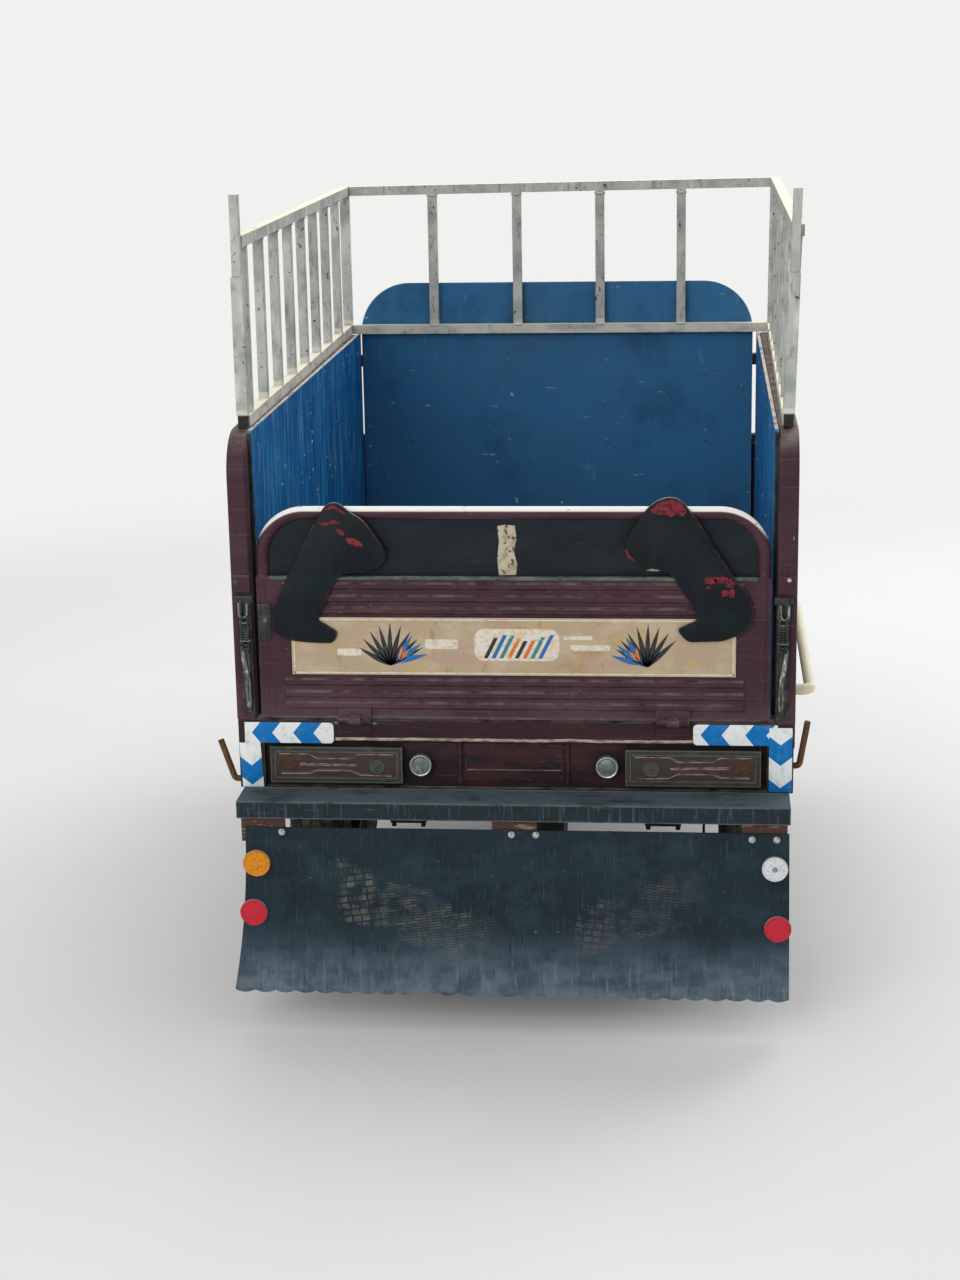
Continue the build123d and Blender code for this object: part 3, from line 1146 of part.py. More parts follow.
def make_front_axle():
    """Front spindle with its spacers and end nuts."""
    with BuildPart() as axle:
        rod((-FRONT_SPINDLE_HALF, FRONT_AXLE_Y, TYRE_RADIUS), (FRONT_SPINDLE_HALF, FRONT_AXLE_Y, TYRE_RADIUS),
            FRONT_SPINDLE_RADIUS)
        for _, sign in SIDES:
            rod((sign * (FRONT_HUB_HALF + SEAT_CLEARANCE), FRONT_AXLE_Y, TYRE_RADIUS),
                (sign * (FORK_X - FORK_LEG_RADIUS - SEAT_CLEARANCE), FRONT_AXLE_Y, TYRE_RADIUS), SPACER_RADIUS)
            rod((sign * (FORK_X + FORK_LEG_RADIUS + SEAT_CLEARANCE), FRONT_AXLE_Y, TYRE_RADIUS),
                (sign * FRONT_SPINDLE_HALF, FRONT_AXLE_Y, TYRE_RADIUS), SPACER_RADIUS)
    finish(axle, "front_axle")


def make_fender():
    """Front mudguard arc with skirts and stays to the fork legs."""
    stay_start = FENDER_HALF_WIDTH - FENDER_SHEET
    stay_angle = radians(90 + RAKE)
    with BuildPart() as fender:
        with BuildSketch(Plane.YZ.offset(-FENDER_HALF_WIDTH)) as outer:
            with Locations((FRONT_AXLE_Y, TYRE_RADIUS)):
                Circle(FENDER_RADIUS + FENDER_SHEET)
                Circle(FENDER_RADIUS - FENDER_SKIRT, mode=Mode.SUBTRACT)
        extrude(outer.sketch, amount=2 * FENDER_HALF_WIDTH)
        with BuildSketch(Plane.YZ.offset(-FENDER_HALF_WIDTH + FENDER_SHEET)) as inner:
            with Locations((FRONT_AXLE_Y, TYRE_RADIUS)):
                Circle(FENDER_RADIUS)
        extrude(inner.sketch, amount=2 * (FENDER_HALF_WIDTH - FENDER_SHEET), mode=Mode.SUBTRACT)
        with BuildSketch(Plane.YZ.offset(-FENDER_HALF_WIDTH)) as gone:
            reach = 2 * FENDER_RADIUS
            with BuildLine():
                Polyline(
                    (FRONT_AXLE_Y, TYRE_RADIUS),
                    (FRONT_AXLE_Y + reach * cos(radians(FENDER_TO_DEGREES)), TYRE_RADIUS + reach * sin(radians(FENDER_TO_DEGREES))),
                    (FRONT_AXLE_Y, TYRE_RADIUS - reach),
                    (FRONT_AXLE_Y + reach, TYRE_RADIUS - reach),
                    (FRONT_AXLE_Y + reach * cos(radians(FENDER_FROM_DEGREES)), TYRE_RADIUS + reach * sin(radians(FENDER_FROM_DEGREES))),
                    close=True)
            make_face()
        extrude(gone.sketch, amount=2 * FENDER_HALF_WIDTH, mode=Mode.SUBTRACT)
        for _, sign in SIDES:
            middle = FENDER_RADIUS - FENDER_SKIRT / 2
            start = (sign * stay_start, FRONT_AXLE_Y + middle * cos(stay_angle), TYRE_RADIUS + middle * sin(stay_angle))
            end = (sign * (FORK_X - FORK_LEG_RADIUS), start[1], start[2])
            rod(start, end, FENDER_STAY_WIDTH / 2)
    finish(fender, "front_fender")


def make_handlebar():
    """Raised handlebar with its clamps and levers, and the two grips."""
    top = UPPER_CLAMP[1]
    grip_forward = FORK_OFFSET - BAR_GRIP_BACK
    rise = top + BAR_RISE
    with BuildPart() as handlebar:
        tube(
            [tuple(steer_point(*place)) for place in (
                (-BAR_GRIP_X, grip_forward, rise),
                (-BAR_GRIP_X + GRIP_LENGTH + 40, grip_forward + 25, rise),
                (-BAR_CLAMP_X - 40, 0, top + 3 * BAR_RADIUS),
                (BAR_CLAMP_X + 40, 0, top + 3 * BAR_RADIUS),
                (BAR_GRIP_X - GRIP_LENGTH - 40, grip_forward + 25, rise),
                (BAR_GRIP_X, grip_forward, rise),
            )],
            40,
            BAR_RADIUS,
        )
        for _, sign in SIDES:
            rod(steer_point(sign * BAR_CLAMP_X, 0, top), steer_point(sign * BAR_CLAMP_X, 0, top + 3 * BAR_RADIUS),
                BAR_RADIUS)
            end = Vector(*steer_point(sign * BAR_GRIP_X, grip_forward, rise))
            bend = Vector(*steer_point(sign * (BAR_GRIP_X - GRIP_LENGTH - 40), grip_forward + 25, rise))
            along = (bend - end).normalized()
            perch = end + along * (GRIP_LENGTH + LEVER_RADIUS)
            rod(perch, perch + along * PERCH_LENGTH, BAR_RADIUS + PERCH_MARGIN)
            pivot = perch + along * PERCH_LENGTH / 2
            knee = pivot + STEER_FORWARD * LEVER_GAP
            tube((pivot, knee, knee - along * LEVER_LENGTH), 3 * LEVER_RADIUS, LEVER_RADIUS)
    finish(handlebar, "handlebar")
    with BuildPart() as grips:
        for _, sign in SIDES:
            outer = Vector(*steer_point(sign * BAR_GRIP_X, grip_forward, rise))
            inner = Vector(*steer_point(sign * (BAR_GRIP_X - GRIP_LENGTH - 40), grip_forward + 25, rise))
            along = (inner - outer).normalized()
            start = outer + along * 2
            rod(start, start + along * GRIP_LENGTH, GRIP_RADIUS)
            rod(start - along * 2, start + along * (GRIP_LENGTH + 2), BAR_RADIUS + RUNNING_CLEARANCE, mode=Mode.SUBTRACT)
    finish(grips, "hand_grips")


def make_headlamp():
    """Round headlamp on two ears from the stanchions, with a turn signal beside each."""
    with BuildPart() as lamp:
        middle = steer_point(0, HEADLAMP_FORWARD, HEADLAMP_UP)
        rear = middle.Y - HEADLAMP_LENGTH / 2
        front = middle.Y + HEADLAMP_LENGTH / 2
        back_radius = HEADLAMP_RADIUS / 3
        with BuildSketch(Plane.YZ) as profile:
            with BuildLine():
                bowl = ThreePointArc((rear, middle.Z + back_radius),
                                     (rear + HEADLAMP_LENGTH / 4, middle.Z + HEADLAMP_RADIUS * HEADLAMP_BOWL),
                                     (middle.Y, middle.Z + HEADLAMP_RADIUS))
                Polyline(bowl @ 1, (front, middle.Z + HEADLAMP_RADIUS), (front, middle.Z), (rear, middle.Z), bowl @ 0)
            make_face()
        revolve(profile.sketch, axis=Axis((0, 0, middle.Z), (0, 1, 0)))
        rod((0, front - HEADLAMP_RIM_DEPTH, middle.Z), (0, front, middle.Z), HEADLAMP_RADIUS + HEADLAMP_RIM)
        for _, sign in SIDES:
            ear_start = FORK_OFFSET + STANCHION_RADIUS + SEAT_CLEARANCE
            route = (
                (sign * FORK_X, ear_start, HEADLAMP_UP),
                (sign * FORK_X, HEADLAMP_FORWARD, HEADLAMP_UP),
                (sign * HEADLAMP_RADIUS / 2, HEADLAMP_FORWARD, HEADLAMP_UP),
            )
            tube([tuple(steer_point(*place)) for place in route], (BAR_RADIUS + 3,), BAR_RADIUS)
            signal = steer_point(sign * SIGNAL_X, HEADLAMP_FORWARD, HEADLAMP_UP)
            rod(steer_point(sign * FORK_X, HEADLAMP_FORWARD - BAR_RADIUS / 2, HEADLAMP_UP), signal, SIGNAL_STEM_RADIUS)
            rod(signal - Vector(0, SIGNAL_DEPTH / 2, 0), signal + Vector(0, SIGNAL_DEPTH / 2, 0), SIGNAL_RADIUS)
    finish(lamp, "headlamp")


def make_mirrors():
    """Two rear-view mirrors on stems from the handlebar."""
    grip_forward = FORK_OFFSET - BAR_GRIP_BACK
    rise = UPPER_CLAMP[1] + BAR_RISE
    with BuildPart() as mirrors:
        for _, sign in SIDES:
            stem_x = sign * (BAR_GRIP_X - GRIP_LENGTH - 30)
            stem_low = rise + BAR_RADIUS + SEAT_CLEARANCE
            seat = steer_point(stem_x, grip_forward + 25, stem_low)
            foot = steer_point(stem_x, grip_forward + 25, stem_low + 2 * BAR_RADIUS)
            head = Vector(sign * MIRROR_X, foot.Y, foot.Z + MIRROR_UP)
            rod(seat, foot, BAR_RADIUS)
            rod(foot, head, MIRROR_STEM_RADIUS)
            with BuildSketch(Plane.XZ.offset(-head.Y - MIRROR_THICKNESS)) as shell:
                with Locations((head.X, head.Z)):
                    RectangleRounded(2 * MIRROR_HALF_WIDTH, 2 * MIRROR_HALF_HEIGHT, MIRROR_HALF_HEIGHT / 2)
            extrude(shell.sketch, amount=MIRROR_THICKNESS + MIRROR_STEM_RADIUS)
    finish(mirrors, "mirrors")


def make_tyre(label, middle_x, middle_y):
    """Hollow tyre on one wheel."""
    bead = RIM_HALF_WIDTH + RIM_WALL / 4 - BEAD_CLEARANCE
    profile = (
        (bead, BEAD_RADIUS), (bead, RIM_FLANGE_RADIUS + 2), (TYRE_WIDTH / 2, 214), (TYRE_WIDTH / 2 - 4, 252),
        (TREAD_HALF_WIDTH, TYRE_RADIUS - 4), (0, TYRE_RADIUS), (-TREAD_HALF_WIDTH, TYRE_RADIUS - 4),
        (-TYRE_WIDTH / 2 + 4, 252), (-TYRE_WIDTH / 2, 214), (-bead, RIM_FLANGE_RADIUS + 2),
        (-bead, BEAD_RADIUS), (-bead + TYRE_WALL, BEAD_RADIUS), (-TYRE_WIDTH / 2 + TYRE_WALL, 220),
        (0, TYRE_RADIUS - 2 * TYRE_WALL), (TYRE_WIDTH / 2 - TYRE_WALL, 220),
        (bead - TYRE_WALL, BEAD_RADIUS),
    )  # across, radius
    with BuildPart() as tyre:
        with BuildSketch(Plane.XZ.offset(-middle_y)) as section:
            with BuildLine():
                Polyline(*((middle_x + across, TYRE_RADIUS + radius) for across, radius in profile), close=True)
            make_face()
        revolve(section.sketch, axis=Axis((0, middle_y, TYRE_RADIUS), (1, 0, 0)))
    finish(tyre, label)


def make_rim(label, middle_x, middle_y, outward, bore, hub_half, has_drum):
    """Steel rim, disc and hub, with the brake drum on its inner side where it has one."""
    seat = BEAD_RADIUS - SEAT_CLEARANCE
    shape = (
        (RIM_HALF_WIDTH + RIM_WALL, RIM_FLANGE_RADIUS), (RIM_HALF_WIDTH + RIM_WALL, seat - RIM_WALL),
        (RIM_HALF_WIDTH / 2, seat - RIM_WALL), (RIM_HALF_WIDTH / 3, RIM_WELL_RADIUS - RIM_WALL),
        (-RIM_HALF_WIDTH / 3, RIM_WELL_RADIUS - RIM_WALL), (-RIM_HALF_WIDTH / 2, seat - RIM_WALL),
        (-RIM_HALF_WIDTH - RIM_WALL, seat - RIM_WALL), (-RIM_HALF_WIDTH - RIM_WALL, RIM_FLANGE_RADIUS),
        (-RIM_HALF_WIDTH - RIM_WALL / 4, RIM_FLANGE_RADIUS), (-RIM_HALF_WIDTH - RIM_WALL / 4, seat),
        (-RIM_HALF_WIDTH / 2, seat), (-RIM_HALF_WIDTH / 3, RIM_WELL_RADIUS),
        (RIM_HALF_WIDTH / 3, RIM_WELL_RADIUS), (RIM_HALF_WIDTH / 2, seat),
        (RIM_HALF_WIDTH + RIM_WALL / 4, seat), (RIM_HALF_WIDTH + RIM_WALL / 4, RIM_FLANGE_RADIUS),
    )  # across, radius
    centre = Vector(middle_x, middle_y, TYRE_RADIUS)
    side = Vector(outward, 0, 0)
    with BuildPart() as rim:
        with BuildSketch(Plane.XZ.offset(-middle_y)) as section:
            with BuildLine():
                Polyline(*((middle_x + across, TYRE_RADIUS + radius) for across, radius in shape), close=True)
            make_face()
        revolve(section.sketch, axis=Axis((0, middle_y, TYRE_RADIUS), (1, 0, 0)))
        rod(centre - side * DISC_THICKNESS / 2, centre + side * DISC_THICKNESS / 2, RIM_WELL_RADIUS - RIM_WALL / 2)
        with BuildSketch(Plane(origin=centre - side * DISC_THICKNESS, x_dir=(0, 1, 0), z_dir=side)) as holes:
            with PolarLocations(DISC_HOLE_RING_RADIUS, DISC_HOLES):
                Circle(DISC_HOLE_RADIUS)
        extrude(holes.sketch, amount=2 * DISC_THICKNESS, mode=Mode.SUBTRACT)
        rod(centre - side * hub_half, centre + side * min(hub_half, RIM_HALF_WIDTH), HUB_RADIUS)
        if has_drum:
            drum_open = centre - side * (DISC_THICKNESS / 2 + DRUM_DEPTH)
            rod(drum_open, centre, DRUM_RADIUS)
            rod(drum_open, drum_open + side * (DRUM_DEPTH - DRUM_WALL), DRUM_RADIUS - DRUM_WALL, mode=Mode.SUBTRACT)
            rod(drum_open, centre, HUB_RADIUS)
        rod(centre - side * (hub_half + 1), centre + side * (hub_half + 1), bore, mode=Mode.SUBTRACT)
    finish(rim, label)


def make_wheels():
    """The front wheel and the two rear wheels, each a tyre and a rim."""
    make_tyre("front_tyre", 0, FRONT_AXLE_Y)
    make_rim("front_rim", 0, FRONT_AXLE_Y, 1, FRONT_SPINDLE_RADIUS + RUNNING_CLEARANCE, FRONT_HUB_HALF, False)
    hub_half = WHEEL_TRACK / 2 - AXLE_TUBE_HALF - SEAT_CLEARANCE
    for side, sign in SIDES:
        make_tyre(f"rear_tyre_{side}", sign * WHEEL_TRACK / 2, REAR_AXLE_Y)
        make_rim(f"rear_rim_{side}", sign * WHEEL_TRACK / 2, REAR_AXLE_Y, sign,
                 SPINDLE_RADIUS + RUNNING_CLEARANCE, hub_half, True)


def main():
    """Build and write every sub-part."""
    os.makedirs("parts", exist_ok=True)
    make_rails()
    make_front_frame()
    make_footboards()
    make_bed_floor()
    make_side_frames()
    make_side_boards()
    make_front_wall()
    make_headboard()
    make_side_cages()
    make_front_cage()
    make_cage_posts()
    make_lamp_panel()
    make_lamps()
    make_bumper()
    make_mudflap()
    make_reflectors()
    make_latches()
    make_side_bar()
    make_rope_hooks()
    make_hinge_brackets()
    make_tailgate()
    make_gate_inset()
    make_sign_board()
    make_horse_heads()
    make_springs()
    make_rear_axle()
    make_propshaft()
    make_engine()
    make_exhaust()
    make_tank()
    make_seat()
    make_fork()
    make_front_axle()
    make_fender()
    make_handlebar()
    make_headlamp()
    make_mirrors()
    make_wheels()


main()
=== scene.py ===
"""Dressed scene of a motorised cargo tricycle, seen from behind its tailgate.

Lengths are in millimetres until a piece is finished, which turns them into metres.  +X is the
vehicle's right, +Y its front and +Z up, and at() counts forward from the tailgate's outer face.
"""
from __future__ import annotations

import functools
import json
import logging
import math
from dataclasses import dataclass
from enum import Enum
from typing import Sequence

import bmesh
import bpy
from mathutils import Matrix, Vector, noise

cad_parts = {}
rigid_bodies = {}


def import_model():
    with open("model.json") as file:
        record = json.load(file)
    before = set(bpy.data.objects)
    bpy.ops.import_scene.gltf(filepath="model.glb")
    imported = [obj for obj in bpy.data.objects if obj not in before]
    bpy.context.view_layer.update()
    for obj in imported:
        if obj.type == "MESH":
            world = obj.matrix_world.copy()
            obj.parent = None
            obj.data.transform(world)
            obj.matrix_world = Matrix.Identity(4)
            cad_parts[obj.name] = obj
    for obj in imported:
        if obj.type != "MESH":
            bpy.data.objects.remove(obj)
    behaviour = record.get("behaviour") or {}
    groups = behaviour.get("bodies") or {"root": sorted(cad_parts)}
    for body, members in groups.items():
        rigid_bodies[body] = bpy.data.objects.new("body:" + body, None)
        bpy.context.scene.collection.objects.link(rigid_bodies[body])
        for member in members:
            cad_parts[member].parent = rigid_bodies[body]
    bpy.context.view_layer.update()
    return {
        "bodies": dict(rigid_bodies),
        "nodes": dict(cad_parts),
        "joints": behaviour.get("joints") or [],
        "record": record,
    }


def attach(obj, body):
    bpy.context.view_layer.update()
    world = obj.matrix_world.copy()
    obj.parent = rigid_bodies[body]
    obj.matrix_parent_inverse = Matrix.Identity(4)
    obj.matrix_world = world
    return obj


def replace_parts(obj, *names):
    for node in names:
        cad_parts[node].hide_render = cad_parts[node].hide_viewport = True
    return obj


log = logging.getLogger("cargo_tricycle")

METRES = 0.001
TAILGATE_Y = -1533
REAR_AXLE_Y = TAILGATE_Y + 690
FRONT_AXLE_Y = TAILGATE_Y + 2890
AXLE_Z = 284
RAKE = math.radians(25)
FORK_OFFSET = 45
STEER_UP = Vector((0, -math.sin(RAKE), math.cos(RAKE)))
STEER_FORWARD = Vector((0, math.cos(RAKE), math.sin(RAKE)))
STEER_ORIGIN = Vector((0, FRONT_AXLE_Y, AXLE_Z)) - STEER_FORWARD * FORK_OFFSET
SIDES = (("left", -1), ("right", 1))
REARWARD = (0, -1, 0)
ACROSS = Vector((1, 0, 0))
FORWARD = Vector((0, 1, 0))
SOFT = {"interpolation_type": "SMOOTHSTEP"}

Pair = tuple[float, float]
Size = tuple[float, float, float]
Point = Sequence[float]
Outline = Sequence[Pair]
Frame = dict[str, dict]
Socket = bpy.types.NodeSocket
Material = bpy.types.Material
Part = bmesh.types.BMesh


def at(distance: float) -> float:
    """Return the Y of a point that lies distance ahead of the tailgate's outer face."""
    return TAILGATE_Y + distance


def steer_point(across: float, forward: float, up: float) -> Vector:
    """Return the point of a place in the steering frame."""
    return STEER_ORIGIN + ACROSS * across + STEER_FORWARD * forward + STEER_UP * up


def linear(code: str) -> tuple[float, float, float, float]:
    """Turn an sRGB hex colour into the linear colour that a shader reads.

    Args:
        code: A colour such as "#4a222c".

    Returns:
        Red, green, blue and alpha.
    """
    parts = [int(code[place:place + 2], 16) / 255 for place in (1, 3, 5)]
    red, green, blue = (c / 12.92 if c <= 0.04045 else ((c + 0.055) / 1.055) ** 2.4 for c in parts)
    return red, green, blue, 1


class Graph:
    """The node tree of a material or a world, filled by calls that each return a socket."""

    def __init__(self, owner: Material | bpy.types.World) -> None:
        """Start with an empty tree.

        Args:
            owner: The material or the world that the tree belongs to.
        """
        self.owner = owner
        owner.use_nodes = True
        self.tree = owner.node_tree
        self.tree.nodes.clear()

    def add(self, kind: str, inputs: dict[int | str, object] | None = None, out: int | str | None = 0,
            **settings: object) -> Socket | None:
        """Add a shader node with its settings, and link or fill its inputs.

        Args:
            kind: The node's type, without "ShaderNode".
            inputs: Sockets to link, or values to set, by input name or number.
            out: The output to return, or None for a node that has none.
            **settings: Properties of the node.

        Returns:
            The chosen output socket.
        """
        node = self.tree.nodes.new("ShaderNode" + kind)
        for name, value in settings.items():
            setattr(node, name, value)
        for key, value in (inputs or {}).items():
            if isinstance(value, Socket):
                self.tree.links.new(value, node.inputs[key])
            else:
                node.inputs[key].default_value = value
        return None if out is None else node.outputs[out]

    def place(self) -> Socket:
        """Return the place on the object, in metres."""
        return self.add("TexCoord", out="Object")

    def axis(self, vector: Socket, name: str) -> Socket:
        """Return one of a vector's three numbers."""
        return self.add("SeparateXYZ", {0: vector}, name)

    def sum(self, operation: str, *values: object) -> Socket:
        """Work one sum on up to three numbers."""
        return self.add("Math", dict(enumerate(values)), operation=operation)

    def times(self, first: object, *others: object) -> object:
        """Multiply numbers, from left to right.

        Args:
            first: The first number.
            *others: The other numbers.

        Returns:
            Their product.
        """
        for other in others:
            first = self.sum("MULTIPLY", first, other)
        return first

    def share(self, value: object, start: float, end: float, full: float = 1, **settings: object) -> Socket:
        """Return how far a number is on its way from start to end, times full."""
        inputs = {"Value": value, "From Min": start, "From Max": end, "To Max": full}
        return self.add("MapRange", inputs, **settings)

    def grain(self, place: Socket, scale: float, detail: float, **inputs: float) -> Socket:
        """Return noise at a place."""
        return self.add("TexNoise", {"Vector": place, "Scale": scale, "Detail": detail, **inputs})

    def mix(self, share: object, under: object, over: object) -> Socket:
        """Lay one colour over another by a share."""
        return self.add("Mix", {0: share, 6: under, 7: over}, 2, data_type="RGBA")

    def blend(self, share: object, under: object, over: object) -> Socket:
        """Go from one number to another by a share."""
        return self.add("Mix", {0: share, 2: under, 3: over}, data_type="FLOAT")

    def close(self, shader: Socket, kind: str = "Material") -> Material | bpy.types.World:
        """Lead a shader to the output, and return the tree's owner."""
        self.add(f"Output{kind}", {"Surface": shader}, None)
        return self.owner


class Gate(Enum):
    """Where on a piece a layer may show."""

    ALL = "all over"
    EDGES = "on edges and corners"
    TOPS = "on faces that look up"
    CREST = "along the upper side of a tube"
    CORNERS = "in inner corners"


@dataclass(frozen=True)
class Layer:
    """One coat, stain, kind of wear, or painted light or shade, that lies over a finish."""

    colour: str
    grain: float | Size  # mm from one patch to the next, on X, Y and Z where they differ
    start: float  # noise value where the layer starts
    end: float  # noise value where it is full
    full: float = 1
    rough: float | None = None
    depth: float = 0  # mm, below zero for a hollow
    gate: Gate = Gate.ALL
    rows: Pair | None = None  # Z in mm where it starts and where it is full
    detail: float = 4

    def mask(self, graph: Graph, number: int, place: Socket, masks: dict[Gate, Socket]) -> Socket:
        """Build the layer's mask.

        Args:
            graph: The material's nodes.
            number: The layer's number, which moves its noise away from that of the others.
            place: The place on the object.
            masks: The finish's gates.

        Returns:
            How much of the layer shows, from 0 to 1.
        """
        sizes = self.grain if isinstance(self.grain, tuple) else (self.grain,) * 3
        turned = graph.add("Mapping", {
            "Vector": place, "Location": (number * 7.3, number * 3.1, number * 5.7),
            "Scale": tuple(1 / (size * METRES) for size in sizes)})
        patches = graph.grain(turned, 1, self.detail, Roughness=0.6)
        mask = graph.share(patches, self.start, self.end, self.full, **SOFT)
        if self.gate in masks:
            mask = graph.times(mask, masks[self.gate])
        if self.rows:
            low, high = (row * METRES for row in self.rows)
            mask = graph.times(mask, graph.share(graph.axis(place, "Z"), low, high, **SOFT))
        return mask


@dataclass(frozen=True)
class Finish:
    """A real material, how its surface was made and has worn, and any light or shade painted on it."""

    name: str
    base: str
    rough: float = 0.5
    metallic: float = 0
    specular: float = 0.35
    grain_mm: float = 1.5  # fine texture of the surface
    grain_depth: float = 0.03
    dent_mm: float = 0  # depth of shallow dents in sheet
    rounding: float = 1.2  # mm, how far an edge looks eased
    wear_mm: float = 5  # width of the worn band along an edge
    coat: float = 0
    layers: tuple[Layer, ...] = ()

    def decorate(self, graph: Graph, place: Socket, colour: object) -> object:
        """Return the colour with any print on it; a plain finish has none."""
        return colour

    def gates(self, graph: Graph) -> dict[Gate, Socket]:
        """Build the masks that this finish's layers ask for.

        Args:
            graph: The material's nodes.

        Returns:
            A mask for each gate that a layer asks for.
        """
        asked = {layer.gate for layer in self.layers}
        masks: dict[Gate, Socket] = {}
        face = graph.add("NewGeometry", out="Normal")
        if Gate.EDGES in asked:
            rounded = graph.add("Bevel", {"Radius": self.wear_mm * METRES}, samples=4)
            same = graph.add("VectorMath", {0: rounded, 1: face}, "Value", operation="DOT_PRODUCT")
            masks[Gate.EDGES] = graph.share(same, 0.985, 0.86)
        for gate, start, end in ((Gate.TOPS, 0.45, 0.9), (Gate.CREST, 0.3, 0.5)):
            if gate in asked:
                masks[gate] = graph.share(graph.axis(face, "Z"), start, end)
        if Gate.CORNERS in asked:
            # Ambient occlusion gives the inner-corner mask; what it darkens is painted shade.
            open_share = graph.add("AmbientOcclusion", {"Distance": 28 * METRES}, "AO", samples=6)
            masks[Gate.CORNERS] = graph.share(open_share, 0.85, 0.45)
        return masks

    def build(self) -> Material:
        """Make the material, with colour, roughness and relief from its layers.

        Returns:
            The material.
        """
        graph = Graph(bpy.data.materials.new(self.name))
        place = graph.place()
        masks = self.gates(graph)
        colour: object = linear(self.base)
        rough: object = self.rough
        fine = graph.grain(place, 1 / (self.grain_mm * METRES), 3, Roughness=0.55)
        relief = graph.times(fine, self.grain_depth)
        if self.dent_mm:
            relief = graph.sum("MULTIPLY_ADD", graph.grain(place, 9, 1), self.dent_mm, relief)
        for number, layer in enumerate(self.layers):
            mask = layer.mask(graph, number, place, masks)
            colour = graph.mix(mask, colour, linear(layer.colour))
            if layer.rough is not None:
                rough = graph.blend(mask, rough, layer.rough)
            if layer.depth:
                relief = graph.sum("MULTIPLY_ADD", mask, layer.depth, relief)
        colour = self.decorate(graph, place, colour)
        rounded = graph.add("Bevel", {"Radius": self.rounding * METRES}, samples=2)
        normal = graph.add("Bump", {"Strength": 1, "Distance": METRES, "Height": relief, "Normal": rounded})
        return graph.close(graph.add("BsdfPrincipled", {
            "Base Color": colour, "Roughness": rough, "Metallic": self.metallic, "Normal": normal,
            "Specular IOR Level": self.specular, "Coat Weight": self.coat, "Coat Roughness": 0.25}))


@dataclass(frozen=True)
class PrintedRubber(Finish):
    """Rubber sheet with two slanting bands of worn cross-hatched print."""

    inks: tuple[str, str] = ("#7b7a6a", "#6c6362")
    bands: tuple[tuple[float, ...], ...] = ()  # X from, X to, Z at both ends, half height
    strength: float = 0.6

    def bricks(self, graph: Graph, place: Socket, greys: Pair, size: Pair, gap: Pair,
               offset: float) -> Socket:
        """Draw brick-like cells.

        Args:
            graph: The material's nodes.
            place: The place on the sheet.
            greys: The cells' two greys.
            size: A cell's width and height.
            gap: The gap between cells, and how soft it is.
            offset: How far every second row is moved, as a share of a cell.

        Returns:
            The pattern, as a grey.
        """
        return graph.add("TexBrick", {
            "Vector": place, "Color1": (greys[0],) * 3 + (1,), "Color2": (greys[1],) * 3 + (1,),
            "Mortar": (0, 0, 0, 1), "Scale": 1, "Mortar Size": gap[0] * METRES, "Mortar Smooth": gap[1],
            "Brick Width": size[0] * METRES, "Row Height": size[1] * METRES}, offset=offset)

    def decorate(self, graph: Graph, place: Socket, colour: object) -> object:
        """Lay the worn print over the colour: brick-like cells that run out into fine strokes.

        Args:
            graph: The material's nodes.
            place: The place on the sheet.
            colour: The rubber's colour.

        Returns:
            The colour with the print on it.
        """
        across, rows = graph.axis(place, "X"), graph.axis(place, "Z")
        ragged = graph.grain(place, 14, 5)
        worn = graph.share(graph.grain(place, 42, 5), 0.38, 0.62)
        for ink, (x_from, x_to, z_from, z_to, half) in zip(self.inks, self.bands):
            slope = (z_to - z_from) / (x_to - x_from)
            turned = graph.add("Mapping", {"Vector": place, "Rotation": (math.radians(-90), 0, 0)})
            turned = graph.add("Mapping", {"Vector": turned, "Rotation": (0, 0, math.atan(slope) * 0.35)})
            cells = self.bricks(graph, turned, (1, 0.45), (21, 16), (2.2, 0.3), 0.12)
            strokes = self.bricks(graph, turned, (0.8, 0.3), (30, 6.5), (1.5, 0.4), 0.6)
            along = graph.share(across, x_from * METRES, x_to * METRES)
            cells = graph.blend(graph.share(along, 0.22, 0.34), cells, strokes)
            middle = graph.sum("MULTIPLY_ADD", across, slope, (z_from - slope * x_from) * METRES)
            off = graph.sum("ABSOLUTE", graph.sum("SUBTRACT", rows, middle))
            off = graph.sum("MULTIPLY_ADD", ragged, 1.1 * half * METRES, off)
            inside = graph.share(off, 1.5 * half * METRES, 1.25 * half * METRES)
            starts, ends = graph.share(along, 0, 0.05), graph.share(along, 1, 0.75)
            mask = graph.times(inside, starts, ends, worn, cells, self.strength)
            colour = graph.mix(mask, colour, linear(ink))
        return colour


# The layers that show only on edges (wear), on faces that look up (dust, or a painted highlight where a
# finish says so), along a tube's upper side (a painted highlight, with some wear marks) or in inner corners
# (painted shade from ambient occlusion).
on_edges = functools.partial(Layer, gate=Gate.EDGES)
on_tops = functools.partial(Layer, gate=Gate.TOPS)
on_crest = functools.partial(Layer, gate=Gate.CREST)
shade_in_corners = functools.partial(Layer, gate=Gate.CORNERS)
# Sprayed enamel on pressed steel: dark maroon, gone pinkish where it is rubbed, with grey dust, and darker in
# its inner corners, which is painted shade.
MAROON = Finish("maroon_enamel_on_steel", "#3a2029", rough=0.52, dent_mm=1.6, specular=0.25, layers=(
    Layer("#5c4750", (160, 160, 60), 0.3, 0.6, 0.55, 0.8, rows=(800, 720)),
    Layer("#4f303a", (210, 210, 150), 0.42, 0.7, 0.65),
    Layer("#29161e", (320, 320, 130), 0.5, 0.78, 0.6),
    Layer("#6f555b", (240, 90, 4), 0.6, 0.72, 0.35, 0.65, detail=2),
    Layer("#251319", (8, 8, 170), 0.55, 0.75, 0.4),
    on_edges("#7a6264", 40, 0.42, 0.64, 0.55, 0.7),
    shade_in_corners("#150d10", 60, 0.25, 0.6, 0.6, 0.8),
    Layer("#a38f80", 9, 0.7, 0.73, 0.7, 0.8, -0.1),
    on_tops("#9b8f86", 55, 0.34, 0.66, 0.55, 0.9),
))
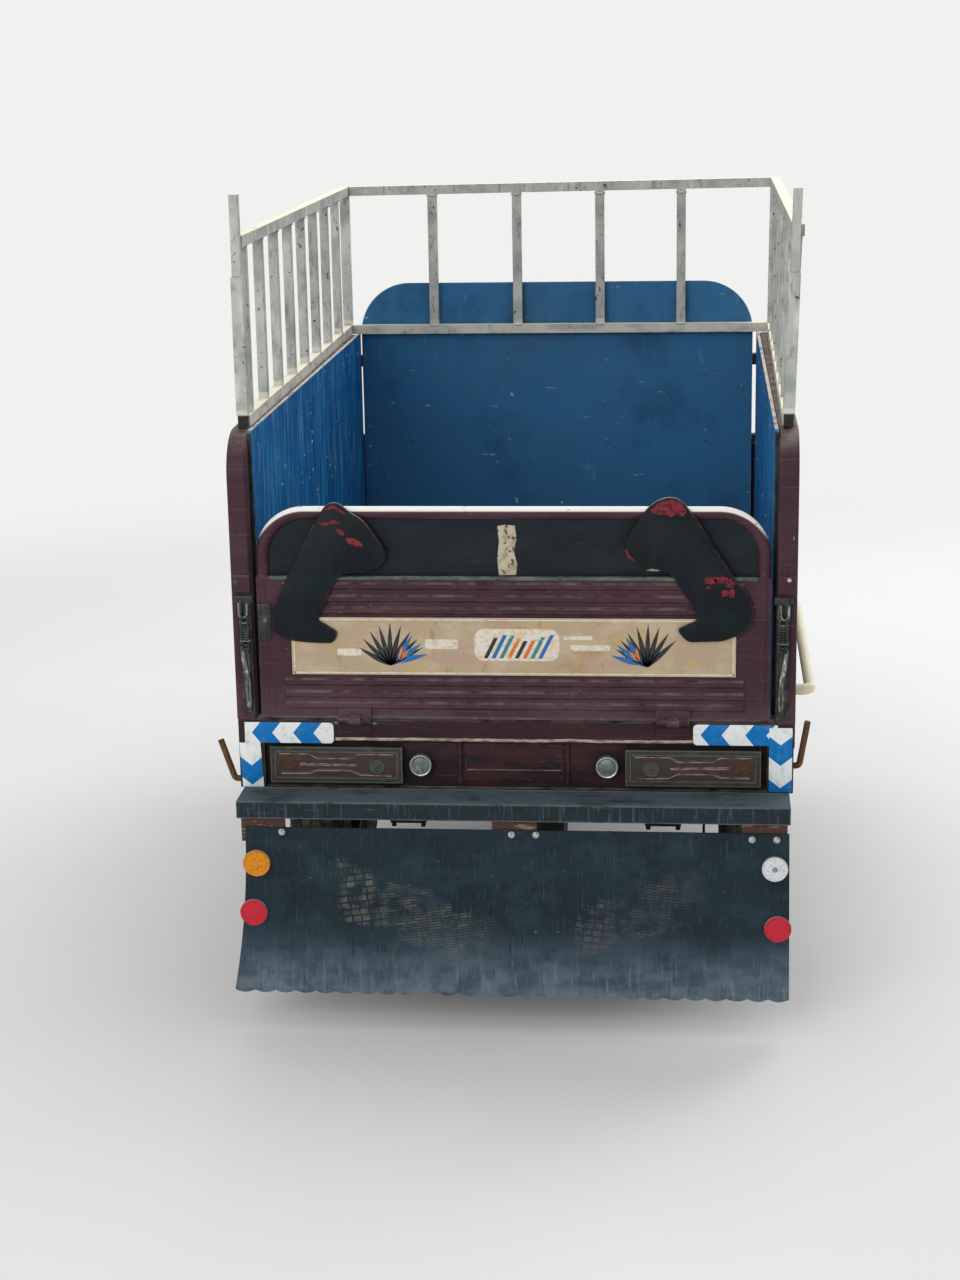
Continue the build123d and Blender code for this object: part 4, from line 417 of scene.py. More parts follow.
# The tailgate's tube is rubbed along its upper side, and the white band there is a painted highlight.
GATE_MAROON = Finish(
    "maroon_enamel_highlighted_on_top", MAROON.base, rough=0.52, dent_mm=1.6, specular=0.25,
    layers=MAROON.layers + (
        on_crest("#f0eee8", 160, 0.1, 0.3, 1, 0.7, rows=(1050, 1120)),
        on_crest("#5a4a4c", (22, 9, 9), 0.64, 0.7, 0.7, rows=(1050, 1120)),
    ))
# The same enamel low on the back, browner, with rust that starts under it and road dust on it; it is darker
# below the band's lip and in inner corners, which is painted shade.
LOW_MAROON = Finish("rusty_maroon_enamel", "#2f1920", rough=0.58, dent_mm=1.4, specular=0.2, layers=(
    # Darker below the band's lip: painted shade in the recess under it.
    Layer("#1b0f14", (140, 140, 60), 0.15, 0.5, 0.6, rows=(652, 646)),
    Layer("#412425", (160, 160, 40), 0.45, 0.68, 0.7),
    Layer("#1d1218", (200, 200, 90), 0.5, 0.75, 0.7),
    Layer("#5c484a", (110, 90, 5), 0.62, 0.72, 0.35, 0.7, detail=2),
    on_edges("#77625a", 35, 0.44, 0.64, 0.5, 0.8),
    shade_in_corners("#0d090a", 60, 0.25, 0.6, 0.75, 0.85),
    Layer("#8d8474", 8, 0.69, 0.73, 0.5, 0.9),
    on_tops("#8b8178", 50, 0.3, 0.6, 0.6, 0.9),
))
# Brushed oil paint on sheet: teal blue, with short white scuffs where loads rub, and darker in its inner
# corners, which is painted shade.
BLUE_BOARD = Finish("blue_oil_paint_on_sheet", "#316c97", rough=0.55, dent_mm=1.2, specular=0.25, layers=(
    Layer("#276fa3", (300, 300, 200), 0.4, 0.7, 0.7),
    Layer("#15486f", (220, 220, 240), 0.5, 0.75, 0.7),
    Layer("#3a5a74", 420, 0.5, 0.72, 0.4),
    Layer("#2f78a8", (14, 14, 260), 0.58, 0.72, 0.25, detail=2),
    Layer("#5f8fb3", (30, 30, 120), 0.66, 0.72, 0.45, 0.7, detail=3),
    Layer("#9db7c6", (60, 60, 12), 0.71, 0.73, 0.7, 0.7, detail=3),
    Layer("#b4c4cc", (38, 38, 26), 0.715, 0.728, 0.8, 0.7, -0.05),
    shade_in_corners("#0d2a40", 60, 0.3, 0.6, 0.5),
    on_edges("#9aa9b4", 40, 0.35, 0.6, 0.7, 0.7),
))
# The side boards have the same paint, put on wetter, so it has run down in streaks; their tops are bare.
BLUE_SIDE = Finish("blue_oil_paint_streaked", "#03619f", rough=0.5, dent_mm=1.2, specular=0.14, layers=(
    Layer("#064279", (160, 160, 220), 0.45, 0.72, 0.75),
    Layer("#3f93c6", (16, 16, 260), 0.5, 0.6, 0.65, detail=3),
    Layer("#0b3c6e", (40, 40, 400), 0.54, 0.62, 0.5, detail=2),
    Layer("#033a66", (16, 16, 380), 0.55, 0.72, 0.6, detail=2),
    Layer("#86b2cf", (9, 9, 120), 0.62, 0.68, 0.6, 0.7, detail=2),
    Layer("#dfe3e0", (22, 44, 12), 0.68, 0.695, 0.9, 0.7, -0.05),
    on_edges("#9fb2bf", 40, 0.35, 0.6, 0.7, 0.7),
    on_tops("#d8cbb2", (26, 60, 26), 0.3, 0.5, 0.9, 0.8),
    on_tops("#b0683c", (20, 34, 20), 0.62, 0.68, 0.7, 0.8),
))
# White oil paint brushed over rusty square tube: grey with dust, chipped to rust and old dark paint; its
# upward faces are a warm white that is a painted highlight, and its inner corners are darker, which is
# painted shade.
CAGE_WHITE = Finish(
    "white_oil_paint_on_square_tube", "#b6b8b0", rough=0.6, grain_depth=0.12, dent_mm=0.8, specular=0.3,
    layers=(
        Layer("#8f9690", 90, 0.42, 0.66, 0.85),
        Layer("#d3d3c8", (50, 50, 120), 0.5, 0.68, 0.75),
        Layer("#71746c", (18, 18, 60), 0.57, 0.7, 0.6),
        Layer("#4a3a30", (13, 13, 18), 0.655, 0.68, 0.9, 0.85, -0.12),
        Layer("#232220", (34, 34, 14), 0.7, 0.72, 0.85, 0.7),
        on_edges("#44362f", 30, 0.52, 0.6, 0.6, 0.85),
        shade_in_corners("#59554d", 40, 0.3, 0.6, 0.65),
        Layer("#dcd8c8", (70, 70, 24), 0.3, 0.6, 0.75, rows=(1380, 1374)),
        on_tops("#f2ead2", 60, 0.2, 0.45, 0.9, 0.75),
    ))
# The posts' white paint ends above their bare dark stubs; they share the cage's layers, with its painted
# highlight on top and painted shade in corners.
POST_WHITE = Finish(
    "white_oil_paint_on_posts", CAGE_WHITE.base, rough=0.6, grain_depth=0.12, dent_mm=0.8,
    layers=CAGE_WHITE.layers + (Layer("#211d1d", 60, -0.1, 0, 1, 0.7, rows=(1368, 1362)),))
# Grey-green primer on the panel's rolled hem, worn along its crest.
HEM_GREY = Finish("grey_green_primer_on_hem", "#48544d", rough=0.6, layers=(
    Layer("#6f766a", (60, 30, 30), 0.45, 0.65, 0.7),
    Layer("#3a2228", (40, 20, 20), 0.56, 0.66, 0.8),
    on_tops("#9a9788", 30, 0.4, 0.66, 0.6, 0.85),
))
# Old sealant bead, cream with road dust.
SEALANT = Finish(
    "dusty_sealant", "#ab9d8e", rough=0.8, grain_mm=3, grain_depth=0.3,
    layers=(Layer("#6b5a4b", (30, 12, 8), 0.45, 0.62, 0.8), Layer("#c2b79e", (20, 12, 8), 0.55, 0.68, 0.6)))
# Black paint on sheet, dull with dust, darker in its inner corners, which is painted shade.
INSET_BLACK = Finish("black_paint_on_sheet", "#131a21", rough=0.55, dent_mm=1.4, specular=0.18, layers=(
    Layer("#1c252b", (140, 140, 60), 0.42, 0.7, 0.7),
    Layer("#2c363b", (120, 60, 6), 0.62, 0.73, 0.35, 0.7, detail=2),
    on_edges("#3d4a49", 35, 0.35, 0.6, 0.6),
    shade_in_corners("#080b0d", 60, 0.3, 0.6, 0.6),
))
# Satin black paint on plate, with brush-painted dark red on the edges; the pale band on its upward faces is a
# painted highlight.
CUTOUT_BLACK = Finish(
    "black_paint_on_plate", "#11161c", rough=0.5, wear_mm=6, rounding=1.5, specular=0.14,
    layers=(
        Layer("#10211f", 80, 0.45, 0.68, 0.7),
        Layer("#1b2129", (50, 50, 120), 0.5, 0.7, 0.6),
        Layer("#5a5f63", 10, 0.72, 0.75, 0.5, 0.8),
        on_edges("#7c4046", 22, 0.44, 0.6, 0.7, 0.7),
        on_tops("#c9bfb0", 60, 0.34, 0.56, 0.75, 0.7),
    ))
# Dark red brush paint on the cut-outs, with black showing through.
CUTOUT_RED = Finish("dark_red_brush_paint", "#7c2730", rough=0.55, specular=0.2, layers=(
    Layer("#581921", 14, 0.42, 0.6, 0.85),
    Layer("#a83b3c", 9, 0.56, 0.68, 0.7),
    Layer("#12141a", (11, 11, 7), 0.56, 0.6, 0.95),
))
# Cream enamel on sheet, gone tan, stained where the old print has bled.
SIGN_CREAM = Finish("cream_enamel_stained", "#b09c80", rough=0.55, specular=0.3, layers=(
    Layer("#a67f5a", (120, 60, 60), 0.5, 0.7, 0.55),
    Layer("#bfae92", (90, 60, 50), 0.45, 0.65, 0.75),
    Layer("#c0a45c", (75, 40, 40), 0.56, 0.66, 0.55),
    Layer("#b98e88", (110, 60, 34), 0.54, 0.66, 0.5),
    Layer("#7f6c58", (26, 20, 70), 0.6, 0.72, 0.45),
    Layer("#5d483a", 7, 0.69, 0.72, 0.6, 0.8),
    on_edges("#cfc3ab", 40, 0.2, 0.45, 0.8),
))
# Old cream paint that peels off the black sheet.
PEELING_CREAM = Finish("peeling_cream_paint", "#bdb199", rough=0.65, layers=(
    Layer("#94866d", (16, 16, 22), 0.45, 0.62, 0.8),
    Layer("#1a2022", (11, 11, 15), 0.58, 0.6, 0.95, 0.6, -0.1),
    Layer("#d8cfb6", (9, 9, 14), 0.6, 0.7, 0.6),
))
# Grey-teal enamel on folded plate, trodden bare in places and dusty on top; rusty straps hang below it.
BUMPER_GREY = Finish("grey_teal_enamel_on_plate", "#1e292f", rough=0.6, dent_mm=2.4, specular=0.18, layers=(
    Layer("#161e22", (120, 120, 50), 0.45, 0.7, 0.8),
    Layer("#46565e", (7, 7, 70), 0.54, 0.68, 0.55, detail=2),
    Layer("#5a686b", (60, 40, 4), 0.66, 0.73, 0.4, 0.75, detail=2),
    on_edges("#768589", (70, 45, 45), 0.3, 0.5, 0.85, 0.8),
    Layer("#4d3428", 20, 0.69, 0.72, 0.6, 0.9),
    on_tops("#57656a", (120, 70, 60), 0.2, 0.55, 0.9, 0.85),
    on_tops("#67726f", (70, 26, 26), 0.6, 0.7, 0.6, 0.85),
    Layer("#53382f", (40, 20, 12), 0.2, 0.4, 0.9, 0.85, rows=(502.5, 500)),
    Layer("#8b7d6c", (50, 20, 9), 0.55, 0.64, 0.8, 0.85, rows=(502.5, 500)),
))
# Reinforced rubber sheet: nearly black at the top, blue-grey with dry mud lower down.
FLAP_RUBBER = PrintedRubber(
    "reinforced_rubber_sheet", "#1b2a33", rough=0.78, grain_mm=2.2, grain_depth=0.2, specular=0.2,
    bands=((-392, -20, 345, 195, 78), (128, 425, 238, 345, 72)),
    layers=(
        Layer("#15222a", (90, 90, 130), 0.42, 0.66, 0.8),
        Layer("#2c3d46", (150, 150, 90), 0.45, 0.7, 0.7),
        Layer("#3f4f57", (5, 5, 55), 0.56, 0.72, 0.45, 0.85, detail=3),
        Layer("#4d5f6b", (260, 260, 120), 0.2, 0.6, 0.85, 0.9, rows=(290, 95)),
        Layer("#66747f", (70, 70, 50), 0.36, 0.66, 0.75, 0.9, rows=(250, 95)),
        Layer("#7a838a", (9, 9, 70), 0.52, 0.72, 0.5, 0.9, rows=(240, 90), detail=3),
        Layer("#777b80", (140, 60, 40), 0.5, 0.7, 0.5, 0.9, rows=(150, 90)),
        Layer("#0f171c", (3.5, 3.5, 55), 0.62, 0.7, 0.55, detail=2),
        Layer("#8c9498", (16, 16, 5), 0.735, 0.755, 0.6, 0.9, detail=2),
    ))
# Cream paint on round tube, clean where it is held.
TUBE_CREAM = Finish("cream_paint_on_tube", "#f6f1cf", rough=0.42, layers=(
    Layer("#e0d9ae", (50, 120, 50), 0.45, 0.7, 0.7),
    Layer("#8e8668", (14, 30, 14), 0.66, 0.7, 0.6, 0.7),
    on_tops("#f4f0d4", 60, 0.3, 0.6, 0.6),
))
# Satin black chassis paint under road dust.
CHASSIS_BLACK = Finish("black_chassis_paint", "#1c1d1f", rough=0.6, grain_depth=0.08, layers=(
    Layer("#37332e", (110, 110, 70), 0.42, 0.68, 0.7, 0.8),
    Layer("#4b3527", 24, 0.64, 0.69, 0.8, 0.9),
    on_edges("#5f574c", 45, 0.4, 0.62, 0.6, 0.85),
    on_tops("#7d7466", 70, 0.28, 0.6, 0.8, 0.92),
))
# Maroon floor sheet, scraped by loads down to the steel in lines along the bed.
FLOOR_WORN = Finish("maroon_floor_scraped", "#3d252a", rough=0.6, dent_mm=2, layers=(
    Layer("#5d5452", (30, 420, 30), 0.48, 0.66, 0.75, 0.5, detail=3),
    Layer("#7b4a31", (70, 110, 70), 0.56, 0.66, 0.7, 0.85),
    on_tops("#867c6f", 140, 0.4, 0.66, 0.6, 0.92),
))
# Rusty spring and forged steel: brown-black, with lighter rust where stones hit it.
DARK_STEEL = Finish("rusty_forged_steel", "#2a2523", rough=0.7, grain_mm=2.5, grain_depth=0.15, layers=(
    Layer("#4e3423", 28, 0.46, 0.64, 0.8, 0.9),
    on_tops("#5f564b", 80, 0.4, 0.66, 0.6, 0.92),
    on_edges("#6d533c", 14, 0.5, 0.62, 0.6, 0.8),
))
# Black latch steel, greased, bright where the lever rubs.
LATCH_STEEL = Finish(
    "greased_latch_steel", "#26282a", rough=0.42, metallic=0.3, rounding=0.9, wear_mm=3,
    layers=(
        Layer("#3a3d3d", (12, 12, 40), 0.45, 0.65, 0.8),
        on_edges("#8d918c", (10, 10, 30), 0.44, 0.6, 0.85, 0.5),
        Layer("#4d3a2b", 12, 0.62, 0.68, 0.8, 0.85),
    ))
# Latch parts that the hand and the wind keep rubbed bright, grimy in the hollows.
WORN_STEEL = Finish("hand_worn_steel", "#6d6e66", rough=0.42, metallic=0.35, rounding=0.9, layers=(
    Layer("#3c3e3b", (9, 9, 30), 0.48, 0.6, 0.8, 0.7),
    Layer("#c2c2b6", (7, 7, 24), 0.56, 0.66, 0.8, 0.35),
))
# Zinc-plated bolt heads and washers, dulled to grey.
ZINC = Finish(
    "zinc_plated_steel", "#b7bab4", rough=0.45, metallic=0.75, rounding=0.6,
    layers=(Layer("#7a746a", 6, 0.5, 0.62, 0.7, 0.8),))
# Bent reinforcing rod with an even brown coat of rust.
RUSTY_ROD = Finish("rusted_rod", "#5b4029", rough=0.82, grain_mm=2, grain_depth=0.2, layers=(
    Layer("#7d5a35", 14, 0.48, 0.64, 0.8),
    Layer("#2f221a", 22, 0.55, 0.68, 0.7),
))
# Sand-cast aluminium, grey with oil and dust, darker between the fins, which is painted shade.
CAST_ALLOY = Finish(
    "sand_cast_aluminium", "#85878a", rough=0.5, metallic=0.85, grain_mm=2, grain_depth=0.12,
    layers=(
        Layer("#3a342d", 45, 0.5, 0.68, 0.8, 0.75),
        shade_in_corners("#1e1b19", 40, 0.25, 0.6, 0.7, 0.6),
        on_tops("#7d7263", 60, 0.35, 0.62, 0.6, 0.9),
    ))
# Mild steel exhaust: straw and blue heat tints near the port, rust on the muffler.
HEAT_STEEL = Finish("heat_stained_steel", "#6a5548", rough=0.5, metallic=0.6, layers=(
    Layer("#4a5568", 60, 0.48, 0.66, 0.6),
    Layer("#7c4527", (40, 60, 30), 0.48, 0.62, 0.8, 0.88, -0.05),
    Layer("#2b221c", 18, 0.6, 0.68, 0.7, 0.85),
))
# Gloss black stove enamel on the fork and the lamp shell.
FORK_BLACK = Finish("black_stove_enamel", "#131416", rough=0.3, coat=0.3, layers=(
    Layer("#3b3832", 60, 0.5, 0.7, 0.6, 0.75),
    on_tops("#6d6658", 50, 0.35, 0.62, 0.6, 0.9),
    on_edges("#54483c", 18, 0.5, 0.62, 0.6, 0.8),
))
# Chromed handlebar tube with a little pitting.
CHROME = Finish(
    "chromed_steel", "#c8cac9", rough=0.16, metallic=1, grain_depth=0.01,
    layers=(Layer("#5a4230", 5, 0.66, 0.7, 0.7, 0.8),))
# Silver lacquer on pressed rims, with brown brake and road dust, and darker in inner corners, which is
# painted shade.
RIM_SILVER = Finish("silver_lacquer_on_rim", "#8f9294", rough=0.45, metallic=0.35, dent_mm=0.5, layers=(
    Layer("#6a6154", 60, 0.42, 0.66, 0.8, 0.85),
    Layer("#5b3c28", 16, 0.64, 0.69, 0.8, 0.9),
    shade_in_corners("#3f3830", 40, 0.25, 0.6, 0.7, 0.9),
))
# Vulcanised tyre rubber, dusty grey on the tread and browner on the wall.
TYRE_RUBBER = Finish(
    "vulcanised_tyre_rubber", "#1d1d1d", rough=0.85, specular=0.3, grain_mm=1.2, grain_depth=0.06,
    layers=(
        Layer("#3d3934", 40, 0.4, 0.65, 0.7, 0.95),
        Layer("#6a6257", 90, 0.45, 0.7, 0.55, 0.95),
        on_edges("#57524a", 20, 0.3, 0.6, 0.6, 0.95),
    ))
# Moulded black rubber grips.
GRIP_RUBBER = Finish(
    "moulded_grip_rubber", "#151515", rough=0.75, specular=0.35, grain_mm=0.9,
    layers=(Layer("#3a3732", 20, 0.5, 0.68, 0.5, 0.9),))
# Moulded black ABS, slightly grey with sun.
BLACK_ABS = Finish(
    "moulded_black_abs", "#1b1c1e", rough=0.5, grain_mm=0.8, grain_depth=0.02,
    layers=(Layer("#45423d", 60, 0.45, 0.7, 0.5, 0.85),))
# Moulded grey ABS of the lamp bezels, with dry dust on it, darker in the corners, which is painted shade.
BEZEL_ABS = Finish("moulded_grey_abs", "#30322c", rough=0.6, rounding=1.5, specular=0.3, layers=(
    Layer("#22241f", (50, 30, 18), 0.45, 0.66, 0.7),
    Layer("#4d5047", (30, 20, 10), 0.52, 0.68, 0.6, 0.85),
    on_edges("#7c7f74", 30, 0.2, 0.5, 0.85, 0.8),
    shade_in_corners("#0d0e0c", 30, 0.25, 0.6, 0.7),
))
# Acrylic lamp lens under dust: brown-red, smoky.
LENS_RED = Finish("smoked_red_acrylic", "#33211f", rough=0.4, coat=0.2, rounding=0.8, specular=0.3, layers=(
    Layer("#2e2d26", (60, 30, 14), 0.42, 0.6, 0.85, 0.7),
    Layer("#4b2628", (40, 20, 8), 0.56, 0.68, 0.6),
    on_edges("#6d6055", 30, 0.35, 0.6, 0.7, 0.75),
))
# The lens's raised lines, pale and pinkish: painted highlights along its ridges.
LENS_RIDGE_HIGHLIGHTS = Finish(
    "acrylic_ridge_highlights", "#9f857c", rough=0.6, specular=0.3,
    layers=(Layer("#3f302d", (22, 10, 10), 0.45, 0.6, 0.8), Layer("#8d7a70", (14, 8, 8), 0.58, 0.68, 0.7)))
# Red acrylic of the reflex block in the lamp, orange where it has faded.
LENS_RED_BRIGHT = Finish(
    "red_reflex_acrylic", "#5e342c", rough=0.4, coat=0.2,
    layers=(Layer("#80502f", 12, 0.45, 0.62, 0.8),
            Layer("#3a342e", 10, 0.5, 0.62, 0.8, 0.8)))
# Clear acrylic with dust on it, grey-green.
LENS_CLEAR = Finish("dusty_clear_acrylic", "#566260", rough=0.35, coat=0.3, layers=(
    Layer("#8b9590", 18, 0.42, 0.62, 0.7, 0.6),
    Layer("#4b5a56", (14, 14, 10), 0.5, 0.66, 0.6),
))
# Aluminised ring and reflector bowl, dulled.
ALUMINISED = Finish(
    "aluminised_reflector", "#a9aeab", rough=0.3, metallic=0.8,
    layers=(Layer("#7f8681", 10, 0.5, 0.65, 0.6, 0.6),))
# Clear pressed glass of the headlamp, a little hazy with dust.
GLASS = Finish("pressed_lamp_glass", "#9aa3a4", rough=0.08, coat=1, grain_depth=0,
               layers=(Layer("#8d8f88", 40, 0.5, 0.7, 0.4, 0.4),))
# Silvered glass of the mirrors, nearly clean.
MIRROR_GLASS = Finish("silvered_glass", "#d5d9da", rough=0.04, metallic=1, grain_depth=0,
                      layers=(Layer("#8d8f88", 30, 0.55, 0.72, 0.3, 0.5),))
# Embossed vinyl over foam: black, grey at the seams with dust.
SEAT_VINYL = Finish(
    "embossed_black_vinyl", "#17181a", rough=0.5, grain_mm=2.2, grain_depth=0.25, rounding=0.5,
    layers=(
        Layer("#2b2a29", 60, 0.42, 0.66, 0.7, 0.6),
        on_tops("#5a544b", 120, 0.4, 0.7, 0.45, 0.85),
    ))
# Retroreflective sheeting: white and blue vinyl with a pearly grain.
TAPE_WHITE = "#e4e8e6"
TAPE_BLUE = "#006fb6"
TAPE_DIRT = "#7f7d76"
# Charcoal ink on vinyl, rubbed to brown in specks.
VINYL_INK = Finish("printed_vinyl_charcoal", "#23252c", rough=0.45,
                   layers=(Layer("#5b5148", 7, 0.6, 0.66, 0.8),))
# Blue ink on vinyl, chipped to the cream board.
VINYL_BLUE = Finish("printed_vinyl_blue", "#1a67a8", rough=0.4,
                    layers=(Layer("#c2b391", 7, 0.66, 0.69, 0.9),))
# Orange ink on vinyl, faded to straw in patches.
VINYL_ORANGE = Finish("printed_vinyl_orange", "#c9702f", rough=0.45,
                      layers=(Layer("#d9b37b", 8, 0.55, 0.64, 0.8),))
# Teal ink on vinyl, chipped to the cream board.
VINYL_TEAL = Finish("printed_vinyl_teal", "#2f7f86", rough=0.45,
                    layers=(Layer("#cdb795", 8, 0.6, 0.66, 0.8),))
# Pale vinyl, stained tan and pink.
VINYL_PALE = Finish("faded_vinyl_pale", "#dcd3c3", rough=0.5,
                    layers=(Layer("#cbb796", (14, 14, 9), 0.45, 0.62, 0.8),
                            Layer("#c08d86", (22, 22, 12), 0.6, 0.68, 0.5)))
# Amber reflex disc, browner in its fine cells.
REFLEX_AMBER = Finish("amber_reflex_acrylic", "#dc8a08", rough=0.35, coat=0.1, specular=0.25,
                      layers=(Layer("#a8640f", 6, 0.46, 0.6, 0.7),))
# Red reflex disc, duller where dust sits in its cells.
REFLEX_RED = Finish("red_reflex_disc", "#cc1a30", rough=0.35, coat=0.1, specular=0.25,
                    layers=(Layer("#9c2436", 6, 0.46, 0.6, 0.7),))
# The discs' rims, matt with dry road dust.
DUSTY_RIM = Finish("dusty_reflector_rim", "#8a7a72", rough=0.6,
                   layers=(Layer("#a9948c", 9, 0.45, 0.62, 0.8),))
# White reflex disc, greyer in its cells.
REFLEX_WHITE = Finish("white_reflex_disc", "#d5d9dc", rough=0.3, coat=0.3,
                      layers=(Layer("#a9b0b0", 6, 0.5, 0.62, 0.6),))


@dataclass(frozen=True)
class ChevronTape:
    """Retroreflective vinyl sheeting, printed with blue chevrons on white."""

    name: str
    upright: bool
    first: float  # place of the first blue edge along the tape
    middle: float  # centre line of the tape
    pitch: float
    point: float  # 1 where the middle leads the way the chevrons point back, else -1
    blue: float = 45.5
    slope: float = 0.8
    bead: float = 3.2

    def build(self) -> Material:
        """Make the tape's material, with its chevrons placed by the object's coordinates.

        Returns:
            The material.
        """
        graph = Graph(bpy.data.materials.new(self.name))
        place = graph.place()
        lengthways, widthways, way = ("Z", "X", -1) if self.upright else ("X", "Z", 1)
        run = graph.sum("MULTIPLY_ADD", graph.axis(place, lengthways), way / METRES, -self.first)
        across = graph.sum("MULTIPLY_ADD", graph.axis(place, widthways), 1 / METRES, -self.middle)
        across = graph.sum("ABSOLUTE", across)
        run = graph.sum("MULTIPLY_ADD", across, -self.slope * self.point, run)
        run = graph.sum("FLOORED_MODULO", run, self.pitch)
        colour = graph.mix(graph.sum("LESS_THAN", run, self.blue), linear(TAPE_WHITE), linear(TAPE_BLUE))
        beads = graph.add("TexVoronoi", {"Vector": place, "Scale": 1 / (self.bead * METRES)}, "Distance")
        dirt = graph.share(graph.grain(place, 60, 6), 0.52, 0.76, 0.4)
        colour = graph.mix(dirt, colour, linear(TAPE_DIRT))
        normal = graph.add("Bump", {"Strength": 0.35, "Distance": METRES, "Height": beads})
        return graph.close(graph.add("BsdfPrincipled", {
            "Base Color": colour, "Roughness": 0.4, "Normal": normal, "Specular IOR Level": 0.15}))


@functools.cache
def paint(finish: Finish | ChevronTape) -> Material:
    """Return a finish's material, which is built at its first use."""
    return finish.build()


def dress(frame: Frame, finish: Finish, *nodes: str) -> None:
    """Give CAD nodes a finish in all their slots.

    Args:
        frame: The loaded CAD frame.
        finish: The finish.
        *nodes: The nodes' names.
    """
    for name in nodes:
        slots = frame["nodes"][name].data.materials
        if not slots:
            slots.append(None)
        for number in range(len(slots)):
            slots[number] = paint(finish)
        log.info("%s: %s", name, finish.name)


def shown(name: str, data: bpy.types.ID) -> bpy.types.Object:
    """Make an object of its data, and put it in the scene.

    Args:
        name: The object's name.
        data: Its mesh, camera or lamp.

    Returns:
        The object.
    """
    thing = bpy.data.objects.new(name, data)
    bpy.context.scene.collection.objects.link(thing)
    return thing


def mesh_of(part: Part, name: str) -> bpy.types.Mesh:
    """Turn a part into a mesh, and free it.

    Args:
        part: The part.
        name: The mesh's name.

    Returns:
        The mesh.
    """
    mesh = bpy.data.meshes.new(name)
    part.to_mesh(mesh)
    part.free()
    return mesh


def placed(place: Point, axis: Point, front: str = "Z") -> Matrix:
    """Return the matrix that moves a thing to a place and turns its front along an axis."""
    return Matrix.Translation(Vector(place)) @ Vector(axis).to_track_quat(front, "Y").to_matrix().to_4x4()


def ease(part: Part, edges: list[bmesh.types.BMEdge], offset: float, segments: int = 2) -> None:
    """Round a part's edges by an offset, where there is one.

    Args:
        part: The part.
        edges: The edges to round.
        offset: How far they are eased; 0 leaves them sharp.
        segments: Faces across each of them.
    """
    if offset:
        bmesh.ops.bevel(part, geom=edges, offset=offset, affect="EDGES", segments=segments, profile=0.5,
                        material=-1, clamp_overlap=True)


def thicken(part: Part, depth: float) -> None:
    """Extrude a part's faces along Y by a depth.

    Args:
        part: The part.
        depth: How far, below zero towards the rear.
    """
    made = bmesh.ops.extrude_face_region(part, geom=part.faces[:])
    moved = [item for item in made["geom"] if isinstance(item, bmesh.types.BMVert)]
    bmesh.ops.translate(part, vec=(0, depth, 0), verts=moved)
    bmesh.ops.recalc_face_normals(part, faces=part.faces)


